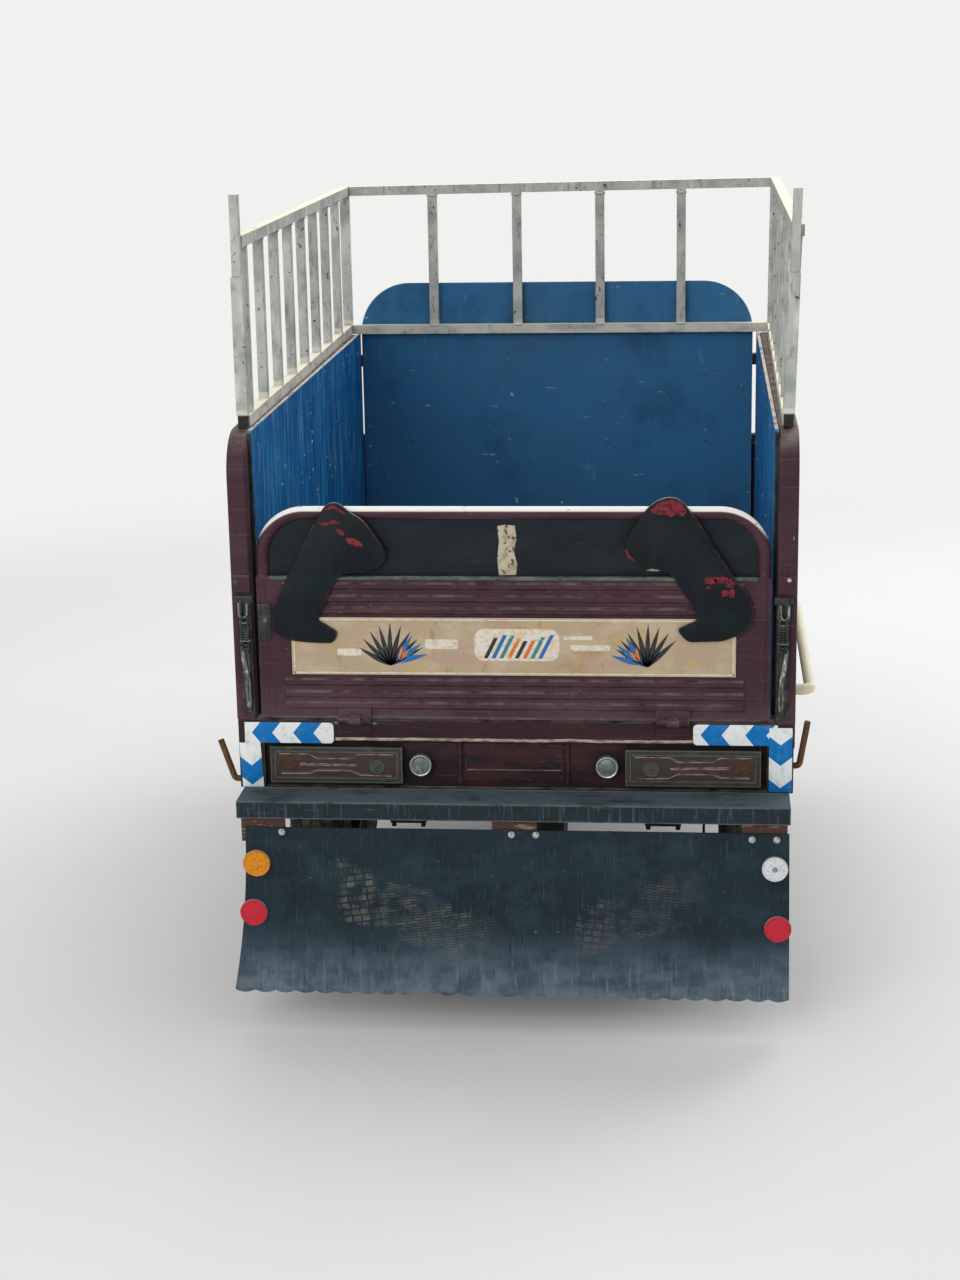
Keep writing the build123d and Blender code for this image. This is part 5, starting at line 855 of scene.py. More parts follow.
class Shaper:
    """One piece's mesh in millimetres, put together from bmesh operators."""

    def __init__(self) -> None:
        """Start an empty piece."""
        self.whole = bmesh.new()

    def take(self, part: Part, turn: Matrix | None = None) -> None:
        """Add a part's mesh, moved or turned where a matrix is given, and free it.

        Args:
            part: The part.
            turn: The matrix that moves or turns it.
        """
        if turn is not None:
            bmesh.ops.transform(part, matrix=turn, verts=part.verts)
        data = mesh_of(part, "part")
        self.whole.from_mesh(data)
        bpy.data.meshes.remove(data)

    def lump(self, size: Point, place: Matrix, edge: float, segments: int = 1) -> None:
        """Add a box of a size at a place that is turned as it needs.

        Args:
            size: Its three lengths.
            place: The matrix of its place and turn.
            edge: How far its edges are eased.
            segments: Faces across each edge.
        """
        part = bmesh.new()
        bmesh.ops.create_cube(part, size=1)
        bmesh.ops.scale(part, vec=size, verts=part.verts)
        ease(part, part.edges[:], edge, segments)
        self.take(part, place)

    def block(self, low: Point, high: Point, edge: float) -> None:
        """Add a box between two corners, with its edges eased."""
        size = Vector(high) - Vector(low)
        self.lump(size, Matrix.Translation((Vector(low) + Vector(high)) / 2), edge, 2)

    def bead(self, centre: Point, half: Size) -> None:
        """Add a small round lump, such as a weld or a rivet head.

        Args:
            centre: Its middle.
            half: Half its size on X, Y and Z.
        """
        part = bmesh.new()
        bmesh.ops.create_icosphere(part, subdivisions=2, radius=1)
        bmesh.ops.scale(part, vec=half, verts=part.verts)
        self.take(part, Matrix.Translation(Vector(centre)))

    def rod(self, start: Point, end: Point, radius: float, sides: int = 20, edge: float = 0,
            tip: float | None = None) -> None:
        """Add a round bar between two points.

        Args:
            start: Centre of the first end.
            end: Centre of the other end.
            radius: Radius at the start.
            sides: Faces round the bar.
            edge: How far the end edges are eased.
            tip: Radius at the end, where it differs.
        """
        run = Vector(end) - Vector(start)
        part = bmesh.new()
        bmesh.ops.create_cone(part, cap_ends=True, segments=sides, radius1=radius,
                              radius2=radius if tip is None else tip, depth=run.length)
        rims = [e for e in part.edges if abs(e.verts[0].co.z - e.verts[1].co.z) < 1e-6]
        ease(part, rims, edge)
        self.take(part, placed((Vector(start) + Vector(end)) / 2, run))

    def lathe(self, profile: Outline, centre: Point, axis: Point, steps: int = 40) -> None:
        """Spin a profile of (radius, along) points round an axis through a centre.

        Args:
            profile: The points, from one end of the profile to the other.
            centre: Where along is 0.
            axis: The way the axis points.
            steps: Faces round the piece.
        """
        part = bmesh.new()
        verts = [part.verts.new((radius, 0, along)) for radius, along in profile]
        edges = [part.edges.new(pair) for pair in zip(verts, verts[1:])]
        bmesh.ops.spin(part, geom=verts + edges, cent=(0, 0, 0), axis=(0, 0, 1), dvec=(0, 0, 0),
                       angle=2 * math.pi, steps=steps, use_merge=True, use_normal_flip=False,
                       use_duplicate=False)
        bmesh.ops.remove_doubles(part, verts=part.verts, dist=1e-4)
        bmesh.ops.recalc_face_normals(part, faces=part.faces)
        self.take(part, placed(centre, axis))

    def plate(self, outline: Outline, y: float, depth: float, edge: float = 0) -> None:
        """Add an upright plate whose outline is (x, z) points.

        Args:
            outline: The corners, in order.
            y: The plate's front face.
            depth: Its thickness towards the rear.
            edge: How far its rear edges are eased.
        """
        part = bmesh.new()
        part.faces.new([part.verts.new((x, y, z)) for x, z in outline])
        thicken(part, -depth)
        ease(part, [e for e in part.edges if all(abs(v.co.y - y + depth) < 1e-4 for v in e.verts)], edge)
        self.take(part)

    def bolt(self, head: Point, out: Point, across: float, washer: float) -> None:
        """Add a hexagon bolt head on a washer.

        Args:
            head: The middle of the seat.
            out: The way the head stands out.
            across: Width over the corners.
            washer: Radius of the washer.
        """
        seat, way = Vector(head), Vector(out).normalized()
        top = seat + way * 1.5
        self.rod(seat, top, washer, 20, 0.3)
        self.rod(top, top + way * across * 0.42, across / 2, 6, 0.6)

    def finish(self, name: str, finish: Finish | ChevronTape, slot: str, body: str = "chassis",
               sharp: float = 38) -> bpy.types.Object:
        """Turn the piece into an object that rides on a body.

        Args:
            name: The piece's name.
            finish: Its finish.
            slot: The record's material slot; not used.
            body: The body that it moves with.
            sharp: Angle in degrees above which an edge stays sharp.

        Returns:
            The finished object, at the origin, in metres.
        """
        bmesh.ops.scale(self.whole, vec=(METRES,) * 3, verts=self.whole.verts)
        mesh = mesh_of(self.whole, name)
        mesh.shade_smooth()
        mesh.set_sharp_from_angle(angle=math.radians(sharp))
        mesh.materials.append(paint(finish))
        piece = shown(name, mesh)
        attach(piece, body)
        log.info("%s: %d faces on %s", name, len(mesh.polygons), body)
        return piece


@dataclass
class Studio:
    """Plain pale floor, soft lamps and the camera at the photograph's place."""

    eye: Size = (398.9, -6396.1, 2157.4)
    yaw: float = 0.0960
    pitch: float = 0.25522
    roll: float = -0.01831
    focus_px: float = 2318.7
    long_px: float = 1280
    sensor: float = 36
    backdrop: str = "#f1f1ef"
    lamps: tuple[tuple[str, Size, Size, float, float], ...] = (  # name, place, aim, size in m, watts
        ("overhead", (0.6, 1.2, 5.5), (0, -0.2, 0.8), 4.5, 150),
        ("behind_camera", (-2.5, -7.5, 3.4), (0, -1.5, 0.8), 4, 170),
        ("front_side", (4.5, 4.5, 3.6), (0, 0.5, 0.8), 3, 110))

    def camera(self) -> None:
        """Set the camera's place, turn and lens."""
        data = bpy.data.cameras.new("camera")
        data.sensor_width = self.sensor
        data.lens = self.focus_px / self.long_px * self.sensor
        data.clip_end = 200
        camera = shown("camera", data)
        bpy.context.scene.camera = camera
        away = Vector((-math.sin(self.yaw), math.cos(self.yaw), 0))
        right = Vector((math.cos(self.yaw), math.sin(self.yaw), 0))
        upward = Vector((0, 0, 1))
        view = away * math.cos(self.pitch) - upward * math.sin(self.pitch)
        up = away * math.sin(self.pitch) + upward * math.cos(self.pitch)
        rolled_right = right * math.cos(self.roll) + up * math.sin(self.roll)
        rolled_up = up * math.cos(self.roll) - right * math.sin(self.roll)
        turn = Matrix((rolled_right, rolled_up, -view)).transposed().to_4x4()
        camera.matrix_world = Matrix.Translation(Vector(self.eye) * METRES) @ turn

    def floor(self) -> None:
        """Lay the floor: matt pale paint that fades into the white room."""
        part = bmesh.new()
        bmesh.ops.create_grid(part, x_segments=2, y_segments=2, size=45)
        graph = Graph(bpy.data.materials.new("matt_floor_paint"))
        place = graph.place()
        colour = graph.mix(graph.grain(place, 1.4, 5), linear("#e6e5e2"), linear("#edecea"))
        matt = graph.add("BsdfPrincipled", {"Base Color": colour, "Roughness": 0.85})
        far = graph.add("VectorMath", {0: place}, "Value", operation="LENGTH")
        far = graph.share(far, 2.6, 5.2, interpolation_type="SMOOTHERSTEP")
        far = graph.times(far, graph.add("LightPath", out="Is Camera Ray"))
        pale = graph.add("Emission", {"Color": linear(self.backdrop), "Strength": 1})
        mesh = mesh_of(part, "floor")
        mesh.materials.append(graph.close(graph.add("MixShader", {0: far, 1: matt, 2: pale})))
        shown("floor", mesh)

    def lamp(self, name: str, place: Point, aim: Point, size: float, power: float) -> None:
        """Hang one square soft lamp, in metres and watts.

        Args:
            name: The lamp's name.
            place: Where it hangs.
            aim: The place that it points at.
            size: The length of its sides.
            power: Its watts.
        """
        data = bpy.data.lights.new(name, "AREA")
        data.shape = "SQUARE"
        data.size = size
        data.energy = power
        shown(name, data).matrix_world = placed(place, Vector(aim) - Vector(place), "-Z")

    def room(self) -> None:
        """Light the object evenly, and show white where the camera or a reflection looks past it."""
        world = bpy.data.worlds.new("room")
        bpy.context.scene.world = world
        graph = Graph(world)
        seen, gloss, clear = (
            graph.add("LightPath", out=f"Is {ray} Ray") for ray in ("Camera", "Glossy", "Transmission"))
        seen = graph.sum("MAXIMUM", graph.sum("MAXIMUM", seen, gloss), clear)
        soft = graph.add("Background", {"Color": linear("#e4e6ea"), "Strength": 0.72})
        white = graph.add("Background", {"Color": linear(self.backdrop), "Strength": 1})
        graph.close(graph.add("MixShader", {0: seen, 1: soft, 2: white}), "World")

    def build(self) -> None:
        """Set up the whole stage."""
        self.camera()
        self.floor()
        for lamp in self.lamps:
            self.lamp(*lamp)
        self.room()
        bpy.context.scene.view_settings.view_transform = "Standard"


def strip(low: Pair, high: Pair, left: float, right: float | None = None) -> list[Pair]:
    """Outline a flat strip whose two ends are rounded by their own radii.

    Args:
        low: The lower left corner, as X and Z.
        high: The upper right corner.
        left: Radius of the left corners.
        right: Radius of the right corners, where it differs.

    Returns:
        The outline's points in order.
    """
    right = left if right is None else right
    corners = ((low[0], low[1], left, 180), (high[0], low[1], right, 270), (high[0], high[1], right, 0),
               (low[0], high[1], left, 90))
    points = []
    for x, z, radius, start in corners:
        centre_x = x + radius if x == low[0] else x - radius
        centre_z = z + radius if z == low[1] else z - radius
        for step in range(6 if radius else 1):
            angle = math.radians(start + 18 * step)
            points.append((centre_x + radius * math.cos(angle), centre_z + radius * math.sin(angle)))
    return points


def eased(outline: Outline, *reaches: float) -> list[Pair]:
    """Round an outline's corners by cutting them, once for each reach.

    Args:
        outline: The corners in order.
        *reaches: How far from a corner each cut starts.

    Returns:
        The outline's points in order.
    """
    points = [Vector(point) for point in outline]
    for reach in reaches:
        cut = []
        for before, corner, after in zip(points[-1:] + points[:-1], points, points[1:] + points[:1]):
            for end in (before, after):
                way = end - corner
                cut.append(corner + way.normalized() * min(reach, way.length * 0.33))
        points = cut
    return [(point.x, point.y) for point in points]


def wave(x: float, z: float, seed: float) -> float:
    """Return smooth noise at a place, from -1 to 1."""
    return noise.noise(Vector((x, z, seed)))


def patch(centre: Pair, half: Pair, seed: float) -> list[Pair]:
    """Outline an irregular patch of old paint round a centre.

    Args:
        centre: Its middle, as X and Z.
        half: Half its width and height.
        seed: Picks one of the shapes.

    Returns:
        The outline's points in order.
    """
    points = []
    for step in range(30):
        angle = 2 * math.pi * step / 30
        x, z = math.cos(angle), math.sin(angle)
        swell = 1 + 0.5 * wave(x * 2.2, z * 2.2, seed)
        points.append((centre[0] + half[0] * swell * x, centre[1] + half[1] * swell * z))
    return points


@dataclass
class CargoBed:
    """Side frames, boards, floor and headboard, with their small fixings."""

    pillar_x: float = 593
    joint_half: float = 19
    joint_z: Pair = (988, 1026)
    joint_face: float = 2
    joint_sheet: float = 2.5
    board_x: float = 563
    board_screws_z: tuple[float, ...] = (760, 1030, 1290)
    board_screws_at: tuple[float, ...] = tuple(110 + number * 255 for number in range(7))
    board_end: float = 45
    board_z: Pair = (704, 1330)
    headboard_face: float = 1728
    headboard_screws_x: tuple[float, ...] = (-420, -140, 140, 420)
    headboard_screws_z: tuple[float, ...] = (765, 1025, 1255)

    def fixings(self) -> None:
        """Add the pillars' joint plates, the screws that hold the boards, and dark strips on the boards' rear
        ends that are painted shade.
        """
        plates, heads, ends = Shaper(), Shaper(), Shaper()
        seat = at(self.joint_face - self.joint_sheet)
        joint_bolts = {"left": (-602, 1010, 11, LATCH_STEEL), "right": (597, 1019, 8.5, ZINC)}
        for side, sign in SIDES:
            middle = sign * self.pillar_x
            plates.block((middle - self.joint_half, seat, self.joint_z[0]),
                         (middle + self.joint_half, at(self.joint_face), self.joint_z[1]), 0.9)
            x, z, across, tone = joint_bolts[side]
            joint = Shaper()
            joint.bolt((x, seat, z), REARWARD, across, across * 0.55)
            joint.finish(f"pillar_joint_bolt_{side}", tone, "latch_steel")
            for z in self.board_screws_z:
                for distance in self.board_screws_at:
                    heads.bead((sign * (self.board_x - 0.3), at(distance), z), (1.6, 5.5, 5.5))
            # Dark strips over the boards' rear ends stand for the shade in the gap beside the pillars.
            inner, outer = sorted((sign * (self.board_x + 0.6), sign * (self.board_x + 10.5)))
            ends.block((inner, at(self.board_end - 1.2), self.board_z[0]),
                       (outer, at(self.board_end), self.board_z[1]), 0.4)
        for x in self.headboard_screws_x:
            for z in self.headboard_screws_z:
                heads.bead((x, at(self.headboard_face - 0.3), z), (5.5, 1.6, 5.5))
        ends.finish("board_end_shade_strips", INSET_BLACK, "latch_steel")
        plates.finish("pillar_joint_plates", MAROON, "maroon_paint")
        heads.finish("board_rivets", BLUE_SIDE, "blue_paint")

    def build(self, frame: Frame) -> None:
        """Dress the bed's CAD nodes and add its fixings.

        Args:
            frame: The loaded CAD frame.
        """
        dress(frame, MAROON, "side_frame_left", "side_frame_right", "front_wall")
        dress(frame, FLOOR_WORN, "bed_floor")
        dress(frame, BLUE_BOARD, "headboard")
        dress(frame, BLUE_SIDE, "side_board_left", "side_board_right")
        dress(frame, TUBE_CREAM, "side_bar")
        dress(frame, RUSTY_ROD, "rope_hooks")
        self.fixings()


@dataclass
class StakeCage:
    """White cage of square tube, with its welds."""

    rails_z: Pair = (1362, 1725)
    outer: float = 600
    bar: float = 25
    slat: float = 21
    slats_at: tuple[float, ...] = tuple(150 + number * 195.4 for number in range(8))
    front_at: float = 1710.5
    front_slats: tuple[float, ...] = (-347, -109, 124, 351)
    leans: tuple[Size, ...] = ((-1, 0, 0), (1, 11, 21))  # side, how far out at the foot and the top

    def welds(self) -> None:
        """Add a lump of weld at each end of each slat."""
        lumps = Shaper()
        for sign, *leans in self.leans:
            for y in map(at, self.slats_at):
                for z, out in zip(self.rails_z, leans):
                    x = sign * (self.outer - self.bar / 2 + out)
                    wobble = 1.4 * wave(y * 0.01, z * 0.02, sign)
                    for end in (-1, 1):
                        lumps.bead((x, y + end * self.slat / 2, z), (self.slat * 0.38, 2.6 + wobble, 3.2))
                    lumps.bead((x - sign * self.slat / 2, y, z), (2.4, self.slat * 0.4, 3 + wobble))
        for x in self.front_slats:
            for z in self.rails_z:
                for end in (-1, 1):
                    lumps.bead((x + end * self.bar / 2, at(self.front_at), z), (2.8, self.bar * 0.4, 3.4))
                lumps.bead((x, at(self.front_at - self.bar / 2), z), (self.bar * 0.42, 2.2, 3))
        lumps.finish("cage_welds", CAGE_WHITE, "white_paint")

    def build(self, frame: Frame) -> None:
        """Dress the cage and its posts, and add the welds.

        Args:
            frame: The loaded CAD frame.
        """
        dress(frame, CAGE_WHITE, "cage_left", "cage_right", "cage_front")
        dress(frame, POST_WHITE, "cage_rear_posts")
        self.welds()


@dataclass
class Tailgate:
    """Tailgate with its inset, sign board and horse-head cut-outs."""

    sheet_at: float = 3
    inset_at: float = 14.5
    sign_at: float = -1
    heads_at: float = -8
    hem_z: float = 1019
    hem_half: float = 531
    head_sheet: float = 6
    hasp_x: Pair = (-557, -529)
    hasp_z: tuple[Pair, Pair] = ((881, 947), (934, 962))  # the plate and its folded top
    hasp_bolt: Pair = (-541, 924)
    peels: tuple[Outline, ...] = (  # X and Z, as in the outlines below
        ((-27, 1024), (-30, 1062), (-26, 1098), (-29, 1133), (-12, 1136), (9, 1134), (12, 1103), (6, 1078),
         (13, 1050), (10, 1025)),
        ((291, 1035), (312, 1045), (330, 1057), (334, 1044), (320, 1034)))
    horse_heads: tuple[Outline, Outline] = (
        ((-380, 1190), (-399, 1184), (-412, 1163), (-438, 1120), (-467, 1062), (-499, 1004), (-523, 950),
         (-527, 912), (-517, 894), (-483, 880), (-440, 876), (-391, 875), (-379, 901), (-427, 929),
         (-408, 957), (-400, 983), (-384, 1017), (-370, 1029), (-332, 1033), (-298, 1039), (-277, 1054),
         (-268, 1073), (-275, 1090), (-297, 1122), (-319, 1151), (-349, 1169), (-364, 1184)),
        ((345, 1202), (318, 1195), (294, 1178), (278, 1152), (262, 1128), (250, 1103), (248, 1085),
         (254, 1068), (270, 1057), (300, 1045), (328, 1040), (343, 1036), (367, 998), (395, 954),
         (404, 933), (356, 911), (380, 882), (454, 884), (489, 897), (519, 920), (522, 955), (514, 980),
         (489, 1013), (463, 1050), (437, 1094), (402, 1147), (384, 1172), (368, 1192)))
    marks: tuple[Outline, ...] = (
        ((299, 1172), (318, 1189), (345, 1197), (365, 1189), (379, 1171), (370, 1158), (356, 1166),
         (345, 1156), (331, 1165), (316, 1160)),
        ((-358, 1112), (-338, 1110), (-322, 1101), (-319, 1091), (-336, 1093), (-353, 1100)),
        ((-380, 1131), (-366, 1130), (-357, 1119), (-360, 1114), (-371, 1120)),
        ((-417, 1147), (-398, 1143), (-380, 1151), (-367, 1145), (-368, 1139), (-384, 1143), (-400, 1137),
         (-413, 1141)),
        ((-402, 1174), (-382, 1184), (-352, 1163), (-353, 1160), (-381, 1177), (-399, 1169)),
        ((247, 1091), (253, 1082), (259, 1070), (270, 1062), (266, 1059), (254, 1067), (248, 1078)))
    dabs: tuple[tuple[Pair, Pair, float], ...] = (  # centre, half size, seed
        ((430, 1019), (14, 8), 1.1), ((451, 1021), (13, 7), 2.3), ((470, 1013), (11, 10), 3.1),
        ((461, 992), (8, 8), 5.3), ((476, 990), (7, 9), 4.7), ((424, 1003), (5, 3), 6.4))
    pale_strips: tuple[tuple[Pair, Pair, float], ...] = (  # low and high corner, corner radius
        ((112, 884), (176, 893), 4), ((-190, 862), (-118, 884), 4), ((128, 860), (214, 873), 4),
        ((-384, 846), (-330, 862), 4), ((-481, 806), (481, 809), 0), ((-481, 926), (481, 929), 0),
        ((-481, 806), (-478, 929), 0), ((478, 806), (481, 929), 0))
    fans: tuple[tuple[float, int, int], ...] = ((-266, 1, 9), (296, -1, 8))  # X, way, dark leaves
    fan_z: float = 824
    bar_foot: Pair = (-62, 842)
    bar_width: float = 9
    bar_pitch: float = 17
    bars: tuple[str, ...] = ("charcoal", "blue", "teal", "orange", "charcoal", "orange", "teal", "blue")

    def sheet_work(self) -> None:
        """Add the hem along the panel's top, the peeled patches on the inset and the hasp plate."""
        hem, peel, hasp, bolt = (Shaper() for _ in range(4))
        y = at(self.sheet_at + 1.5)
        hem.rod((-self.hem_half, y, self.hem_z), (self.hem_half, y, self.hem_z), 4.5, 16, 1.5)
        hem.finish("panel_hem", HEM_GREY, "maroon_paint", "tailgate")
        for outline in self.peels:
            peel.plate(outline, at(self.inset_at), 0.5)
        peel.finish("peeled_patch", PEELING_CREAM, "cream_paint", "tailgate")
        low, high = self.hasp_x
        (foot, top), (fold_foot, fold_top) = self.hasp_z
        hasp.block((low, at(self.sheet_at - 3), foot), (high, at(self.sheet_at), top), 0.8)
        hasp.block((low, at(self.sheet_at - 4.5), fold_foot), (high, at(self.sheet_at - 2), fold_top), 0.9)
        hasp.finish("hasp_plate", LATCH_STEEL, "latch_steel", "tailgate")
        x, z = self.hasp_bolt
        bolt.bolt((x, at(self.sheet_at - 3), z), REARWARD, 9, 5.5)
        bolt.finish("hasp_bolt", WORN_STEEL, "latch_steel", "tailgate")

    def blade(self, piece: Shaper, root: Pair, angle: float, size: Pair, depth: float) -> None:
        """Add one leaf-blade decal.

        Args:
            piece: The ink's piece.
            root: The place that the blade grows from, as X and Z.
            angle: The way it grows, in degrees.
            size: Its length and width.
            depth: Its thickness.
        """
        way = math.radians(angle)
        points = []
        for steps, side in ((range(15), 0.5), (range(13, 0, -1), -0.32)):
            for share in (step / 14 for step in steps):
                x, z = share * size[0], size[1] * math.sin(math.pi * share ** 0.8) * side
                points.append((root[0] + x * math.cos(way) - z * math.sin(way),
                               root[1] + x * math.sin(way) + z * math.cos(way)))
        piece.plate(points, at(self.sign_at), depth)

    def sign_print(self) -> None:
        """Add the sign's printed motifs: fans of leaf blades, slanting bars and pale strips."""
        finishes = {"charcoal": VINYL_INK, "blue": VINYL_BLUE, "orange": VINYL_ORANGE, "teal": VINYL_TEAL,
                    "pale": VINYL_PALE}
        inks = {name: Shaper() for name in finishes}
        face = at(self.sign_at)
        inks["pale"].plate(strip((-82, 836), (104, 908), 22), face, 0.15)
        for root, way, leaves in self.fans:
            for number in range(leaves):
                size = (98 - 4 * abs(number - 4), 13)
                self.blade(inks["charcoal"], (root, self.fan_z), 90 - way * (60 - number * 15), size, 0.3)
            for number in range(3):
                place = (root + way * 12, self.fan_z + 6)
                self.blade(inks["blue"], place, 90 - way * (30 + number * 22), (72, 14), 0.5)
            for number in range(2):
                place = (root + way * 20, self.fan_z + 12)
                self.blade(inks["orange"], place, 90 - way * (10 + number * 30), (34, 10), 0.7)
        (first, foot), width = self.bar_foot, self.bar_width
        for number, ink in enumerate(self.bars):
            x = first + number * self.bar_pitch
            height = 46 + 7 * math.sin(number * 1.1)
            lean = height * 0.5
            inks[ink].plate([(x, foot), (x + width, foot), (x + width + lean, foot + height),
                             (x + lean, foot + height)], face, 0.35)
        for low, high, radius in self.pale_strips:
            inks["pale"].plate(strip(low, high, radius), face, 0.3)
        for name, piece in inks.items():
            piece.finish(f"sign_print_{name}", finishes[name], "cream_paint", "tailgate")

    def heads(self) -> None:
        """Cut the two horse heads; each was cut by hand, so they differ a little."""
        piece = Shaper()
        for outline in self.horse_heads:
            piece.plate(eased(outline, 7, 2.5), at(self.heads_at + self.head_sheet), self.head_sheet, 0.9)
        heads = piece.finish("horse_head_cutouts", CUTOUT_BLACK, "black_paint", "tailgate", 30)
        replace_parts(heads, "horse_heads")

    def head_paint(self) -> None:
        """Add the red brush marks on the cut-outs."""
        red = Shaper()
        outlines = [eased(outline, 3, 1.2) for outline in self.marks]
        for outline in outlines + [patch(*dab) for dab in self.dabs]:
            red.plate(outline, at(self.heads_at), 0.4)
        red.finish("head_brush_marks", CUTOUT_RED, "black_paint", "tailgate")

    def build(self, frame: Frame) -> None:
        """Dress the tailgate's CAD nodes and add what is on them.

        Args:
            frame: The loaded CAD frame.
        """
        dress(frame, GATE_MAROON, "tailgate_panel")
        dress(frame, INSET_BLACK, "tailgate_inset")
        dress(frame, SIGN_CREAM, "sign_board")
        self.heads()
        self.sheet_work()
        self.sign_print()
        self.head_paint()


@dataclass
class RearPanel:
    """Lamp panel below the bed, with its tape, lamps, lip and plate place."""

    tape_mm: float = 0.8
    lens_at: float = -5
    lamp_x: float = 394
    lamp_z: float = 596
    ridges: tuple[Outline, ...] = (
        ((-127, 25), (-60, 25), (-43, 15), (33, 15), (51, 25), (127, 25)),
        ((-124, -21), (-60, -20), (-43, -13), (33, -13), (54, -23), (123, -25)),
        ((-82, 3.6), (46, 0.4), (50, -0.5), (46, -2.4), (-82, -0.6)))  # from the lamp's centre
    reflex_low: Pair = (-129, -11)
    reflex_cells: tuple[int, int] = (10, 5)
    reflex_pitch: float = 5
    boss: Pair = (91, -3)
    boss_rings: Outline = (
        (16, -1), (16, 0.8), (13.6, 0.8), (13.2, 0.1), (10.6, 0.1), (10.2, 0.9), (7.6, 0.9), (7.2, 0.2),
        (4.6, 0.2), (4.2, 1), (0.1, 1.3))
    rim_ring: Outline = ((19.6, -0.5), (20.2, 2.2), (22.6, 3.2), (24.6, 1.6), (24.8, -6), (24.2, -17.5))
    dome_ring: Outline = ((20.3, -0.2), (17.5, 1.8), (12, 3.4), (6, 4.3), (0.1, 4.6))
    round_x: float = 206
    round_at: float = -6
    slot_x: float = 82
    slot_half: float = 11
    slot_z: Pair = (600, 608)
    fold_half: float = 104
    fold_z: float = 583
    recess_at: float = 10
    lip_half: float = 395
    lip_z: Pair = (652, 658.5)
    smears: tuple[Size, ...] = ((-374, 24, 1.3), (-318, 19, 4.1))  # X, half width, seed
    smear_z: float = 691

    def tapes(self) -> None:
        """Stick the four strips of chevron tape on the band and the end posts."""
        left_post = [(-611.5, 643.5), (-564, 644), (-559.5, 541.5), (-607, 541)]
        strips = (
            ("left_row", strip((-598, 644), (-398.5, 691.5), 1, 9), 0, False, -582, 667.5, 92.6, 1),
            ("right_row", strip((394, 648), (577, 695), 9, 1), 0, False, 410, 671.5, 96.8, 1),
            ("left_post", left_post, 0, True, -591, -585.5, 118, -1),
            ("right_post", strip((559, 543), (609, 689), 2), 0.8, True, -650, 584, 98, -1, 47))
        for name, outline, over, *chevrons in strips:
            piece = Shaper()
            piece.plate(outline, at(0), self.tape_mm + over, 0.25)
            piece.finish(f"tape_{name}", ChevronTape(f"chevron_sheeting_{name}", *chevrons), "maroon_paint")

    def lip(self) -> None:
        """Lay the uneven bead of old sealant under the band, and the smears of blue paint on it."""
        bead, smears = Shaper(), Shaper()
        upper, lower = [], []
        low, high = self.lip_z
        for x in (self.lip_half * (2 * step / 79 - 1) for step in range(80)):
            sag, fine = wave(x * 0.012, 0, 4), wave(x * 0.06, 0, 9)
            upper.append((x, high + 1.4 * sag + 0.8 * fine))
            lower.append((x, low + 2.6 * sag + 1.5 * fine))
        bead.plate(lower + upper[::-1], at(0), 1.6, 0.6)
        bead.finish("band_sealant", SEALANT, "cream_paint")
        for x, half, seed in self.smears:
            smears.plate(patch((x, self.smear_z), (half, 3.6), seed), at(0), 0.4)
        smears.finish("band_paint_smears", BLUE_BOARD, "blue_paint")

    def tail_lamps(self) -> None:
        """Add the lens's reflex block, ribbed boss and pale lines that are painted highlights on its ridges.
        """
        reflex, boss, lines = Shaper(), Shaper(), Shaper()
        face = at(self.lens_at - 2.2)
        for middle, way in ((-self.lamp_x, 1), (self.lamp_x, -1)):
            for column in range(self.reflex_cells[0]):
                for row in range(self.reflex_cells[1]):
                    x = middle + way * (self.reflex_low[0] + (column + 0.5) * self.reflex_pitch)
                    z = self.lamp_z + self.reflex_low[1] + (row + 0.5) * self.reflex_pitch
                    reflex.rod((x, at(self.lens_at + 0.3), z), (x, face, z), 3.3, 4, 0, 0.5)
            centre = (middle + way * self.boss[0], at(self.lens_at - 2.5), self.lamp_z + self.boss[1])
            boss.lathe(self.boss_rings, centre, REARWARD, 32)
            for run in self.ridges:
                points = [(middle + way * x, face, self.lamp_z + z) for x, z in run]
                for start, end in zip(points, points[1:]):
                    lines.rod(start, end, 1.3, 8)
        reflex.finish("lens_reflex_blocks", LENS_RED_BRIGHT, "lamp_lens")
        boss.finish("lens_ribbed_bosses", BEZEL_ABS, "lamp_lens")
        lines.finish("lens_ridge_highlights", LENS_RIDGE_HIGHLIGHTS, "lamp_lens")

    def round_lamps(self) -> None:
        """Add the rims and domed lenses of the two round lamps."""
        rims, domes = Shaper(), Shaper()
        for _, sign in SIDES:
            centre = (sign * self.round_x, at(self.round_at), self.lamp_z)
            rims.lathe(self.rim_ring, centre, REARWARD)
            domes.lathe(self.dome_ring, centre, REARWARD)
        rims.finish("round_lamp_rims", ALUMINISED, "round_lens")
        domes.finish("round_lamp_domes", LENS_CLEAR, "round_lens")

    def plate_place(self) -> None:
        """Add the two plate slots and the fold line of the recess."""
        slots, fold = Shaper(), Shaper()
        low, high = self.slot_z
        for middle in (-self.slot_x, self.slot_x):
            outline = strip((middle - self.slot_half, low), (middle + self.slot_half, high), 3.9)
            slots.plate(outline, at(self.recess_at), 0.5)
        slots.finish("plate_slots", INSET_BLACK, "maroon_paint")
        half, y, z = self.fold_half, at(self.recess_at + 0.2), self.fold_z
        fold.rod((-half, y, z), (half, y, z), 1.6, 12, 0.4)
        fold.finish("plate_fold", HEM_GREY, "maroon_paint")

    def build(self, frame: Frame) -> None:
        """Dress the panel's CAD nodes and add its small parts.

        Args:
            frame: The loaded CAD frame.
        """
        dress(frame, LOW_MAROON, "lamp_panel")
        dress(frame, BEZEL_ABS, "tail_lamp_frames")
        dress(frame, LENS_RED, "tail_lamp_lenses")
        dress(frame, LENS_CLEAR, "round_lamps")
        self.tapes()
        self.lip()
        self.tail_lamps()
        self.round_lamps()
        self.plate_place()


